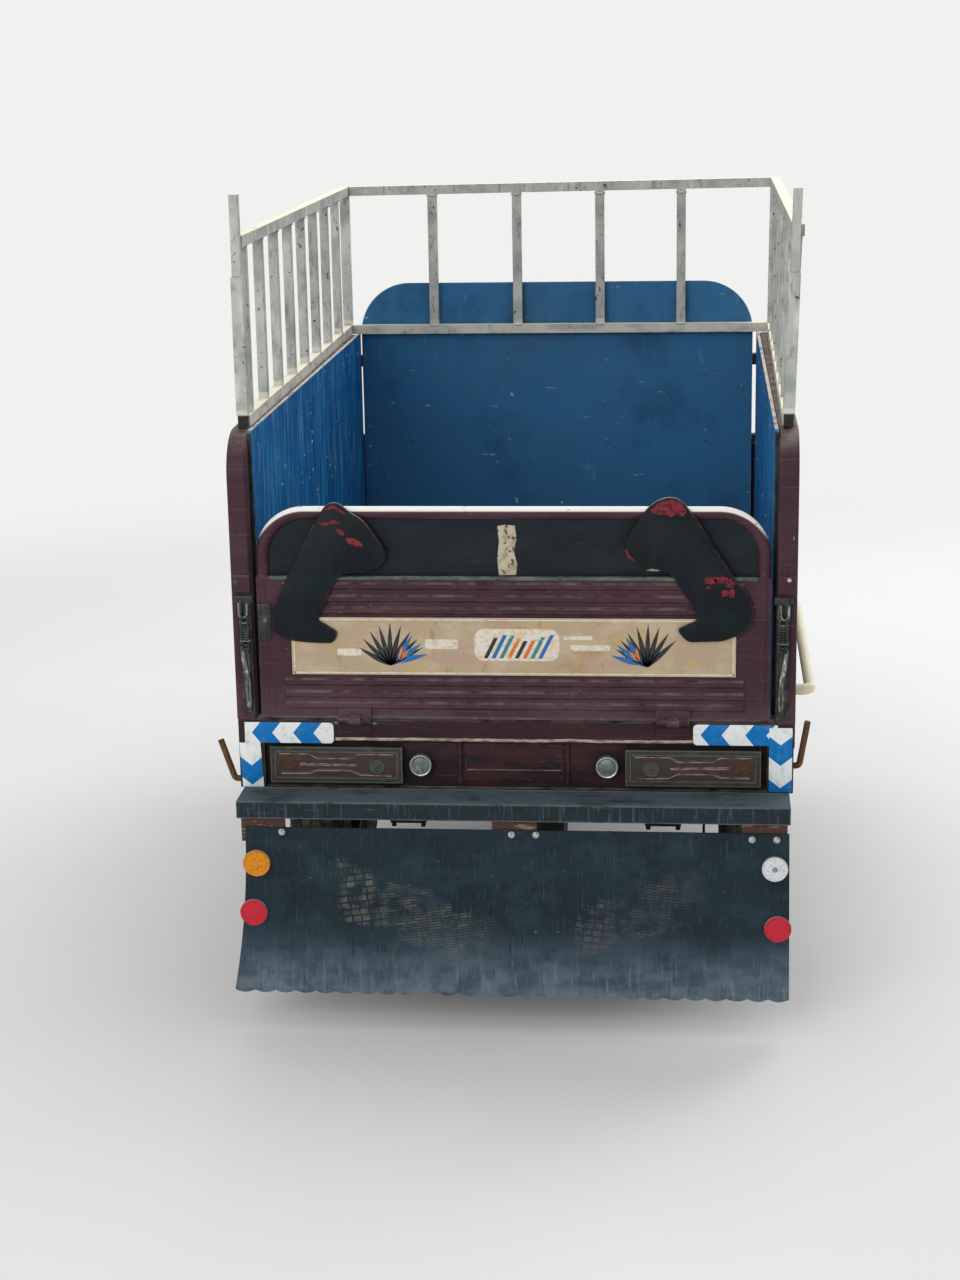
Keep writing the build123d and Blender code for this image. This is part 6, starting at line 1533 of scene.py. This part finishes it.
@dataclass
class BumperAndFlap:
    """Step bumper, rubber flap and its reflectors."""

    flap_at: float = -97.6
    top: float = 480
    bottom: float = 95
    top_x: Pair = (-587, 602)
    bottom_x: Pair = (-626, 607)
    sheet: float = 3.4
    waves: int = 27
    wave_depth: float = 6
    bumper_half: float = 604
    bumper_z: Pair = (502, 540)
    sway: float = 2
    reflectors: tuple[tuple[float, float, float, str], ...] = (  # X, Z, radius, colour
        (-564, 397, 30, "amber"), (-575, 281, 30, "red"), (572, 401, 28, "white"), (580, 262, 29, "red"))
    dish: Outline = (  # share of the radius, how far it stands out
        (1, 7.2), (0.96, 8.6), (0.88, 8.8), (0.84, 7.6), (0.82, 7.2), (0.5, 8.9), (0.2, 9.5), (0.003, 9.6))
    rim: Outline = ((0.4, -2), (0.6, 6), (-0.8, 7.9), (-2.4, 8.2))  # beyond the radius, how far it stands out
    bolts: tuple[Pair, ...] = ((1, 470), (54, 470), (522, 466), (575, 466), (-506, 469))

    def face(self, x: float, z: float) -> float:
        """Find the flap's hanging face, which sways a little.

        Args:
            x: The place's X.
            z: Its Z.

        Returns:
            The face's Y there.
        """
        down = (self.top - z) / (self.top - self.bottom)
        folds, fine = wave(x * 0.006, z * 0.0015, 2), wave(x * 0.02, z * 0.004, 7)
        return at(self.flap_at) + self.sway * down * (0.8 * folds + 0.35 * fine)

    def flap(self) -> None:
        """Hang the rubber flap with its folds and scallops."""
        part = bmesh.new()
        bmesh.ops.create_grid(part, x_segments=324, y_segments=24, size=1)
        for vert in part.verts:
            share, up = (vert.co.x + 1) / 2, (vert.co.y + 1) / 2
            left = self.bottom_x[0] + (self.top_x[0] - self.bottom_x[0]) * (1 - (1 - up) ** 2)
            right = self.bottom_x[1] + (self.top_x[1] - self.bottom_x[1]) * up
            foot = self.bottom - self.wave_depth * abs(math.sin(math.pi * self.waves * share))
            z = foot + (self.top - foot) * up
            x = left + (right - left) * share
            vert.co = (x, self.face(x, z), z)
        thicken(part, self.sheet)
        piece = Shaper()
        piece.take(part)
        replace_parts(piece.finish("rubber_flap", FLAP_RUBBER, "flap_rubber"), "mudflap")

    def fixings(self) -> None:
        """Add the reflectors and the bolts along the flap's top."""
        finishes = {"amber": REFLEX_AMBER, "red": REFLEX_RED, "white": REFLEX_WHITE}
        rims, rivet, bolts = Shaper(), Shaper(), Shaper()
        for number, (x, z, radius, tone) in enumerate(self.reflectors):
            piece = Shaper()
            centre = (x, at(self.flap_at), z)
            profile = [(0.1, -2), (radius, -2)] + [(share * radius, out) for share, out in self.dish]
            piece.lathe(profile, centre, REARWARD, 48)
            hub = rivet if tone == "white" else piece
            hub.rod((x, at(self.flap_at - 8.5), z), (x, at(self.flap_at - 10.2), z), 6.2, 20, 0.6)
            disc = piece.finish(f"reflector_{number}_{tone}", finishes[tone], "reflector_plastic")
            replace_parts(disc, "flap_reflectors")
            rims.lathe([(radius + more, out) for more, out in self.rim], centre, REARWARD, 48)
        rims.finish("reflector_rims", DUSTY_RIM, "reflector_plastic")
        rivet.finish("reflector_rivet", DUSTY_RIM, "reflector_plastic")
        for x, z in self.bolts:
            bolts.bolt((x, self.face(x, z) + 0.5, z), REARWARD, 12, 7.6)
        bolts.finish("flap_bolts", ZINC, "latch_steel")

    def bumper_trim(self) -> None:
        """Add the folded seam lines and the rusty ends of the bumper."""
        seams = Shaper()
        half, (low, high) = self.bumper_half, self.bumper_z
        for y in (at(-100.5), at(-4)):
            seams.rod((1 - half, y, high + 0.4), (half - 1, y, high + 0.4), 1.4, 10, 0.4)
        for x in (-half, half - 3.2):
            seams.block((x, at(-104), low + 0.5), (x + 3.2, at(-66), high - 0.5), 0.9)
        seams.finish("bumper_seams", BUMPER_GREY, "bumper_paint")

    def build(self, frame: Frame) -> None:
        """Dress the bumper and hang the flap with what is on it.

        Args:
            frame: The loaded CAD frame.
        """
        dress(frame, BUMPER_GREY, "bumper")
        self.flap()
        self.fixings()
        self.bumper_trim()


@dataclass
class Latches:
    """Lever latches on the pillars, with their pull rods and springs."""

    middle: float = 585
    face_at: float = -2
    lever_top: float = 872
    loop_z: float = 952
    rods_out: float = 15.5
    rod_half: float = 7.5
    spring_out: float = 7
    spring_turns: int = 6
    hook_z: float = 942
    hook_top: float = 966
    strap: Outline = (  # outward from the middle, Z
        (13, 870), (5.5, 872), (-2, 826), (-8, 792), (-8.5, 727), (2.5, 727), (3, 786), (9, 832))
    coil: Outline = ((10.4, -1.7), (12.1, 0), (10.4, 1.7), (8.7, 0), (10.4, -1.7))
    washer: Outline = ((0, -1.4), (12.6, -1.4), (13.2, 0), (12.6, 1.4), (0, 1.4))
    cap_x: Pair = (566, 606)
    cap_z: Pair = (966, 981)
    rivets_z: tuple[float, ...] = (716, 804, 880, 928)

    def hook(self) -> list[Pair]:
        """Trace the bent hook, a U that stands open at the top.

        Returns:
            The outline's points in order, from the hook's middle line.
        """
        points = []
        for radius, angles in ((11.5, range(180, 361, 15)), (6.3, range(360, 179, -15))):
            ways = [math.radians(angle) for angle in angles]
            bend = [(radius * math.cos(way), self.hook_z + radius * math.sin(way)) for way in ways]
            first = math.copysign(radius, bend[0][0])
            points += [(first, self.hook_top), *bend, (-first, self.hook_top)]
        return points

    def build(self, frame: Frame) -> None:
        """Dress the latches and add the rods, springs and rivets.

        Args:
            frame: The loaded CAD frame.
        """
        dress(frame, LATCH_STEEL, "gate_latches")
        dress(frame, LOW_MAROON, "hinge_brackets")
        rods, spring, worn, caps, rivets = (Shaper() for _ in range(5))
        for _, sign in SIDES:
            x, y = sign * self.middle, at(self.face_at - self.rods_out)
            spring_y = at(self.face_at - self.spring_out)
            for side in (-self.rod_half, self.rod_half):
                rods.rod((x + side, y + 3, self.lever_top - 8), (x + side, y, self.loop_z - 16), 2.6, 12, 0.6)
            rods.rod((x - 9, y + 1.5, self.lever_top - 9), (x + 9, y + 1.5, self.lever_top - 9), 3.2, 12, 0.6)
            for turn in range(self.spring_turns):
                spring.lathe(self.coil, (x, spring_y, self.lever_top + 15 + turn * 6), (0.06, 0, 1), 20)
            for z in (self.lever_top + 10, self.lever_top + 51):
                worn.lathe(self.washer, (x, spring_y, z), (0, 0, 1), 20)
            worn.plate([(x + sign * 3 + a, z) for a, z in self.hook()], at(self.face_at - 8), 4, 1.2)
            strap = eased([(x + sign * a, z) for a, z in self.strap], 8, 3)
            worn.plate(strap, at(self.face_at - 10), 3.5, 1.1)
            slit = x - sign * 3
            spring.plate(strip((slit - 2.2, 742), (slit + 2.2, 786), 2.1), at(self.face_at - 13.5), 0.5)
            inner, outer = sorted(sign * edge for edge in self.cap_x)
            caps.block((inner, spring_y, self.cap_z[0]), (outer, at(self.face_at), self.cap_z[1]), 1.6)
            for z in self.rivets_z:
                rivets.bead((x - sign * 9.2, at(self.face_at), z), (2.4, 1.4, 2.4))
        for name, piece, tone in (
                ("rods", rods, LATCH_STEEL), ("springs", spring, LATCH_STEEL),
                ("hooks_and_straps", worn, WORN_STEEL), ("caps", caps, LATCH_STEEL),
                ("rivets", rivets, LATCH_STEEL)):
            piece.finish(f"latch_{name}", tone, "latch_steel")


@dataclass
class Wheels:
    """Three wheels: treaded tyres, nuts, hub caps and valves."""

    track_half: float = 525
    radius: float = 283.9
    carcass: Outline = (  # radius, across
        (158.5, 47), (167.5, 48.4), (170, 50.6), (176, 51.6), (180, 56), (200, 62.6), (206, 65.2),
        (209, 65.9), (212, 65), (232, 64.6), (246, 61.6), (258, 57.4), (268, 53), (274, 48), (277.2, 38),
        (278.4, 16), (278.6, 0))
    inside: Outline = ((262, 0), (220, 55), (176, 46), (158.5, 38))
    lug_count: int = 46
    lugs: tuple[tuple[float, ...], ...] = (  # across, width, length, lean, shift, below the radius
        (13.5, 19, 27, 24, 0, 0), (-13.5, 19, 27, -24, 0.5, 0), (41, 21, 25, -16, 0.3, 2.8),
        (-41, 21, 25, 16, 0.8, 2.8))
    nut: tuple[tuple[float, ...], ...] = (  # from, to, radius, sides, edge
        (0, 2, 11.5, 20, 0.4), (2, 12, 9.4, 6, 1), (11, 18, 5.2, 14, 0.8))
    hub_cap: Outline = ((26, -1), (30, 0), (29, 3), (24, 8.5), (14, 11), (0.1, 12))
    nuts: int = 5
    nut_ring: float = 62
    hub: float = 48
    valve_up: float = 140

    def tyre(self, name: str, node: str, body: str, centre: Vector) -> None:
        """Build one tyre: its carcass by spinning its section, then the tread's blocks.

        Args:
            name: The piece's name.
            node: The CAD node that it stands for.
            body: The wheel's body.
            centre: The wheel's centre.
        """
        piece = Shaper()
        outer = list(self.carcass) + [(radius, -across) for radius, across in self.carcass[-2::-1]]
        inner = [(radius, -across) for radius, across in self.inside[::-1]] + list(self.inside[1:])
        piece.lathe(outer + inner + outer[:1], centre, ACROSS, 96)
        step = 2 * math.pi / self.lug_count
        for number in range(self.lug_count):
            for across, width, length, lean, shift, below in self.lugs:
                place = (Matrix.Translation(centre) @ Matrix.Rotation((number + shift) * step, 4, "X")
                         @ Matrix.Translation((across, 0, self.radius - below - 4.6))
                         @ Matrix.Rotation(math.radians(lean), 4, "Z")
                         @ Matrix.Rotation(math.radians(across * 0.32), 4, "Y"))
                piece.lump((width, length, 8), place, 1.2)
        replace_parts(piece.finish(name, TYRE_RUBBER, "tyre_rubber", body), node)

    def hardware(self, name: str, body: str, centre: Vector, outward: float) -> None:
        """Add a rear wheel's nuts, hub cap and valve.

        Args:
            name: The start of the pieces' names.
            body: The wheel's body.
            centre: The wheel's centre.
            outward: 1 where its outer face looks to the right, else -1.
        """
        nuts, cap = Shaper(), Shaper()
        side = ACROSS * outward
        for angle in (2 * math.pi * number / self.nuts for number in range(self.nuts)):
            seat = centre + side * 3 + Vector((0, math.cos(angle), math.sin(angle))) * self.nut_ring
            for low, high, *shape in self.nut:
                nuts.rod(seat + side * low, seat + side * high, *shape)
        nuts.finish(f"{name}_nuts", ZINC, "axle_iron", body)
        cap.lathe(self.hub_cap, centre + side * self.hub, side, 32)
        valve = centre + side * 30 + Vector((0, 0, self.valve_up))
        cap.rod(valve, valve + side * 26 - Vector((0, 0, 8)), 3.4, 12, 0.8)
        cap.finish(f"{name}_cap", BLACK_ABS, "axle_iron", body)

    def build(self, frame: Frame) -> None:
        """Dress the rims and build the three wheels.

        Args:
            frame: The loaded CAD frame.
        """
        dress(frame, RIM_SILVER, "front_rim", "rear_rim_left", "rear_rim_right")
        front = Vector((0, FRONT_AXLE_Y, AXLE_Z))
        self.tyre("front_tread_tyre", "front_tyre", "front_wheel", front)
        valve = Shaper()
        foot = front + Vector((20, 0, self.valve_up))
        valve.rod(foot, foot + Vector((24, 0, -7)), 3.4, 12, 0.8)
        valve.finish("front_valve", BLACK_ABS, "axle_iron", "front_wheel")
        for side, sign in SIDES:
            centre = Vector((sign * self.track_half, REAR_AXLE_Y, AXLE_Z))
            self.tyre(f"rear_tread_tyre_{side}", f"rear_tyre_{side}", f"rear_wheel_{side}", centre)
            self.hardware(f"rear_{side}", f"rear_wheel_{side}", centre, sign)


@dataclass
class Cushion:
    """Driver's vinyl seat cushion, swollen by cloth simulation, with a welt and sewn channels."""

    half_x: float = 240
    half_y: float = 152
    middle_at: float = 1977.5
    low: float = 752.6
    high: float = 834
    crown: float = 7
    voxel: float = 6
    cap: float = 8
    channels: tuple[float, ...] = (-156, 0, 156)
    channel_depth: float = 4.5
    limit: float = 846.5
    frames: int = 20

    def block(self) -> bpy.types.Object:
        """Make the cushion before it swells, in metres.

        Returns:
            The cushion's object.
        """
        part = bmesh.new()
        bmesh.ops.create_cube(part, size=2)
        bmesh.ops.subdivide_edges(part, edges=part.edges[:], cuts=11, use_grid_fill=True)
        for vert in part.verts:
            a, b, c = vert.co
            upper = max(0, c)
            corner = 1 - 0.045 * a * a * b * b
            side = 1 - 0.025 * upper ** 2
            crown = self.crown * (1 - a * a) * (1 - b * b) * upper
            z = self.low + (self.high - self.low) * (c + 1) / 2 + crown
            x = a * self.half_x * (1 - 0.03 * (1 - b * b)) * corner * side
            vert.co = (x, at(self.middle_at) + b * self.half_y * (1 - 0.035 * (1 - a * a)) * corner * side, z)
        rims = [e for e in part.edges if len(e.link_faces) == 2 and e.calc_face_angle(0) > math.radians(50)]
        ease(part, rims, 12, 4)
        bmesh.ops.scale(part, vec=(METRES,) * 3, verts=part.verts)
        return shown("cushion_cover", mesh_of(part, "cushion_cover"))

    def apply(self, piece: bpy.types.Object) -> None:
        """Replace a piece's mesh by what its modifiers make of it.

        Args:
            piece: The piece.
        """
        evaluated = piece.evaluated_get(bpy.context.evaluated_depsgraph_get())
        mesh = bpy.data.meshes.new_from_object(evaluated)
        piece.modifiers.clear()
        piece.data = mesh

    def swell(self, piece: bpy.types.Object) -> None:
        """Blow the cover up from inside with the cloth solver, and cap how far it goes.

        Args:
            piece: The cushion's object.
        """
        remesh = piece.modifiers.new("voxels", "REMESH")
        remesh.mode = "VOXEL"
        remesh.voxel_size = self.voxel * METRES
        self.apply(piece)
        start = [vert.co.copy() for vert in piece.data.vertices]
        cloth = piece.modifiers.new("cloth", "CLOTH")
        cloth.settings.use_pressure = True
        cloth.settings.uniform_pressure_force = 4
        cloth.settings.effector_weights.gravity = 0
        cloth.settings.quality = 6
        cloth.point_cache.frame_end = self.frames
        for number in range(1, self.frames + 1):
            bpy.context.scene.frame_set(number)
        self.apply(piece)
        bpy.context.scene.frame_set(1)
        for vert, place in zip(piece.data.vertices, start):
            step = vert.co - place
            if step.length > self.cap * METRES:
                vert.co = place + step.normalized() * self.cap * METRES
            vert.co.z = max(vert.co.z, self.low * METRES)

    def sew(self, piece: bpy.types.Object) -> None:
        """Press the sewn channels and the seam under the welt into the cover.

        Args:
            piece: The cushion's object.
        """
        for vert in piece.data.vertices:
            x, z = vert.co.x / METRES, vert.co.z / METRES
            if z > self.low + 60:
                sunk = sum(math.exp(-((x - line) / 4.2) ** 2) for line in self.channels)
                vert.co.z -= self.channel_depth * sunk * METRES
            vert.co.z = min(vert.co.z, self.limit * METRES)

    def welt(self) -> None:
        """Lay the round welt along the cushion's lower seam."""
        piece = Shaper()
        half_x, half_y, middle = self.half_x + 3, self.half_y + 4, at(self.middle_at)
        outline = strip((-half_x, middle - half_y), (half_x, middle + half_y), 30)
        points = [(x, y, self.low + 8) for x, y in outline]
        for start, end in zip(points, points[1:] + points[:1]):
            piece.rod(start, end, 4.2, 12)
            piece.bead(start, (4.2, 4.2, 4.2))
        welt = piece.finish("cushion_welt", SEAT_VINYL, "seat_vinyl")
        welt.data.set_sharp_from_angle(angle=math.radians(70))

    def build(self) -> None:
        piece = self.block()
        self.swell(piece)
        self.sew(piece)
        smooth = piece.modifiers.new("subdivision", "SUBSURF")
        smooth.levels = smooth.render_levels = 1
        self.apply(piece)
        piece.data.shade_smooth()
        piece.data.materials.clear()
        piece.data.materials.append(paint(SEAT_VINYL))
        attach(piece, "chassis")
        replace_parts(piece, "seat_cushion")
        log.info("cushion_cover: %d faces", len(piece.data.polygons))
        self.welt()


@dataclass
class Drive:
    """Chassis, axle, springs, engine, exhaust, tank and seat box."""

    engine_at: float = 2340
    crank_at: float = 2368.75
    crank_z: float = 433
    cover_x: float = 140
    cover_bolts: int = 7
    bolt_ring: float = 70
    cover_ring: Outline = ((58, -1), (58, 2), (54, 3.5), (40, 4.5), (36, 2.5), (0.1, 2.5))
    bowl_ring: Outline = ((0.1, -4), (19, -3), (19, 16), (15, 22), (0.1, 23))
    tank_cap_at: float = 2320
    tank_cap_z: float = 1021
    tank_ring: Outline = ((0.1, 0), (34, 0), (34.5, 5), (32, 8), (20, 9.5), (18, 12), (0.1, 13))

    def engine_small_parts(self) -> None:
        """Add cover bolts, the round covers, the spark plug and the carburettor's bowl."""
        bolts, plug, bowl = Shaper(), Shaper(), Shaper()
        for _, sign in SIDES:
            x, y = sign * self.cover_x, at(self.crank_at)
            for number in range(self.cover_bolts):
                angle = 2 * math.pi * (number + 0.3) / self.cover_bolts
                out = Vector((0, math.cos(angle), math.sin(angle))) * self.bolt_ring
                bolts.bolt(Vector((x, y, self.crank_z)) + out, (sign, 0, 0), 12, 7)
            bowl.lathe(self.cover_ring, (x, y, self.crank_z), (sign, 0, 0), 36)
        lead = (-74, at(self.engine_at + 52), 688)
        plug.rod((-52, at(self.engine_at + 38), 676), lead, 7, 6, 0.8)
        plug.rod(lead, (-92, at(self.engine_at + 62), 698), 8.5, 16, 2)
        bowl.lathe(self.bowl_ring, (0, at(self.engine_at - 116.5), 556), (0, 0, -1), 28)
        bolts.finish("engine_bolts", ZINC, "engine_alloy")
        plug.finish("spark_plug_cap", GRIP_RUBBER, "engine_alloy")
        bowl.finish("engine_covers", CAST_ALLOY, "engine_alloy")

    def tank_cap(self) -> None:
        """Add the chromed filler cap on the tank."""
        cap = Shaper()
        distance, z = self.tank_cap_at, self.tank_cap_z
        cap.lathe(self.tank_ring, (0, at(distance), z), (0, 0, 1))
        cap.block((-22, at(distance - 3), z + 9), (22, at(distance + 3), z + 18), 2)
        cap.finish("tank_cap", CHROME, "maroon_paint")

    def build(self, frame: Frame) -> None:
        """Dress the running gear's CAD nodes and add the small parts.

        Args:
            frame: The loaded CAD frame.
        """
        dress(frame, CHASSIS_BLACK, "chassis_rails", "front_frame", "footboards", "seat_box")
        dress(frame, DARK_STEEL, "leaf_springs", "rear_axle", "propshaft")
        dress(frame, CAST_ALLOY, "engine")
        dress(frame, HEAT_STEEL, "exhaust")
        dress(frame, MAROON, "fuel_tank")
        self.engine_small_parts()
        self.tank_cap()
        Cushion().build()


@dataclass
class Steering:
    """Fork, mudguard, handlebar, lamps and mirrors."""

    lamp: Size = (0, 150, 700)
    lamp_half: float = 45
    signal_x: float = 172
    signal_half: float = 23
    gauge: Size = (0, 72, 872)
    bar_rise: float = 968
    grip: Pair = (360, -105)  # across and forward at the grip's outer end
    bend: Pair = (195, -80)  # the same where the bar bends
    grip_rings: int = 10
    mirror_foot: Size = (205, -80, 1001.3)
    mirror_rise: float = 165
    mirror_x: float = 395
    mirror_half: Pair = (54, 34)
    glass_ring: Outline = ((87.5, -1), (84, 2.5), (66, 7), (40, 10.5), (18, 12.2), (0.1, 12.6))
    bezel_ring: Outline = ((85, 0), (86.5, 4), (90, 5.5), (94, 3.5), (94.5, -14), (93.4, -15))
    signal_ring: Outline = ((26.6, -6), (26.8, 0.5), (24, 4.5), (14, 8), (0.1, 9.2))
    gauge_ring: Outline = ((34, 0.4), (35, 3), (38.5, 3.5), (39, 0), (38.2, -10))
    rib_ring: Outline = ((15.4, -4), (17.6, -2.4), (17.6, 2.4), (15.4, 4))
    flange_ring: Outline = ((15.6, -3), (20.5, -2), (20.5, 2), (15.6, 3))
    end_ring: Outline = ((0.1, -1), (15, 0), (18, 3), (16, 6))

    def lamps(self) -> None:
        """Add the headlamp's glass, the turn signals' lenses and the gauge's dial."""
        glass, amber, bezel, dial = (Shaper() for _ in range(4))
        centre = steer_point(*self.lamp) + FORWARD * self.lamp_half
        glass.lathe(self.glass_ring, centre, FORWARD, 56)
        bezel.lathe(self.bezel_ring, centre, FORWARD, 56)
        for _, sign in SIDES:
            signal = steer_point(sign * self.signal_x, *self.lamp[1:])
            for way in (-FORWARD, FORWARD):
                amber.lathe(self.signal_ring, signal + way * self.signal_half, way, 32)
        glass.finish("headlamp_glass", GLASS, "fork_steel", "steering")
        amber.finish("signal_lenses", REFLEX_AMBER, "fork_steel", "steering")
        bezel.lathe(self.gauge_ring, steer_point(*self.gauge), STEER_UP)
        bezel.finish("chrome_bezels", CHROME, "fork_steel", "steering")
        dial.lathe([(35, 0.3), (20, 1.2), (0.1, 1.6)], steer_point(*self.gauge), STEER_UP, 32)
        dial.finish("gauge_glass", GLASS, "fork_steel", "steering")

    def grips(self) -> None:
        """Add the ribs and flanges of the two rubber grips."""
        ribs = Shaper()
        for _, sign in SIDES:
            outer, inner = (steer_point(sign * across, forward, self.bar_rise)
                            for across, forward in (self.grip, self.bend))
            along = (inner - outer).normalized()
            for number in range(self.grip_rings):
                ribs.lathe(self.rib_ring, outer + along * (12 + number * 11), along, 28)
            ribs.lathe(self.flange_ring, outer + along * 121, along, 28)
            ribs.lathe(self.end_ring, outer, along, 28)
        ribs.finish("grip_ribs", GRIP_RUBBER, "grip_rubber", "steering")

    def mirrors(self) -> None:
        """Set the silvered glass in the mirrors' shells."""
        glass = Shaper()
        foot = steer_point(*self.mirror_foot)
        half_x, half_z = self.mirror_half
        z = foot.z + self.mirror_rise
        for x in (-self.mirror_x, self.mirror_x):
            glass.plate(strip((x - half_x, z - half_z), (x + half_x, z + half_z), 17), foot.y - 5, 0.9, 0.4)
        glass.finish("mirror_glass", MIRROR_GLASS, "mirror_plastic", "steering")

    def build(self, frame: Frame) -> None:
        """Dress the steering's CAD nodes and add the small parts.

        Args:
            frame: The loaded CAD frame.
        """
        dress(frame, FORK_BLACK, "front_fork", "headlamp")
        dress(frame, DARK_STEEL, "front_axle")
        dress(frame, MAROON, "front_fender")
        dress(frame, CHROME, "handlebar")
        dress(frame, GRIP_RUBBER, "hand_grips")
        dress(frame, BLACK_ABS, "mirrors")
        self.lamps()
        self.grips()
        self.mirrors()


def main() -> None:
    """Build the scene's sub-assemblies in order."""
    logging.basicConfig(level=logging.INFO, format="%(message)s")
    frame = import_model()
    Studio().build()
    for kind in (CargoBed, StakeCage, Tailgate, RearPanel, BumperAndFlap, Latches, Wheels, Drive, Steering):
        log.info("-- %s", kind.__name__)
        kind().build(frame)


if __name__ == "__main__":
    main()
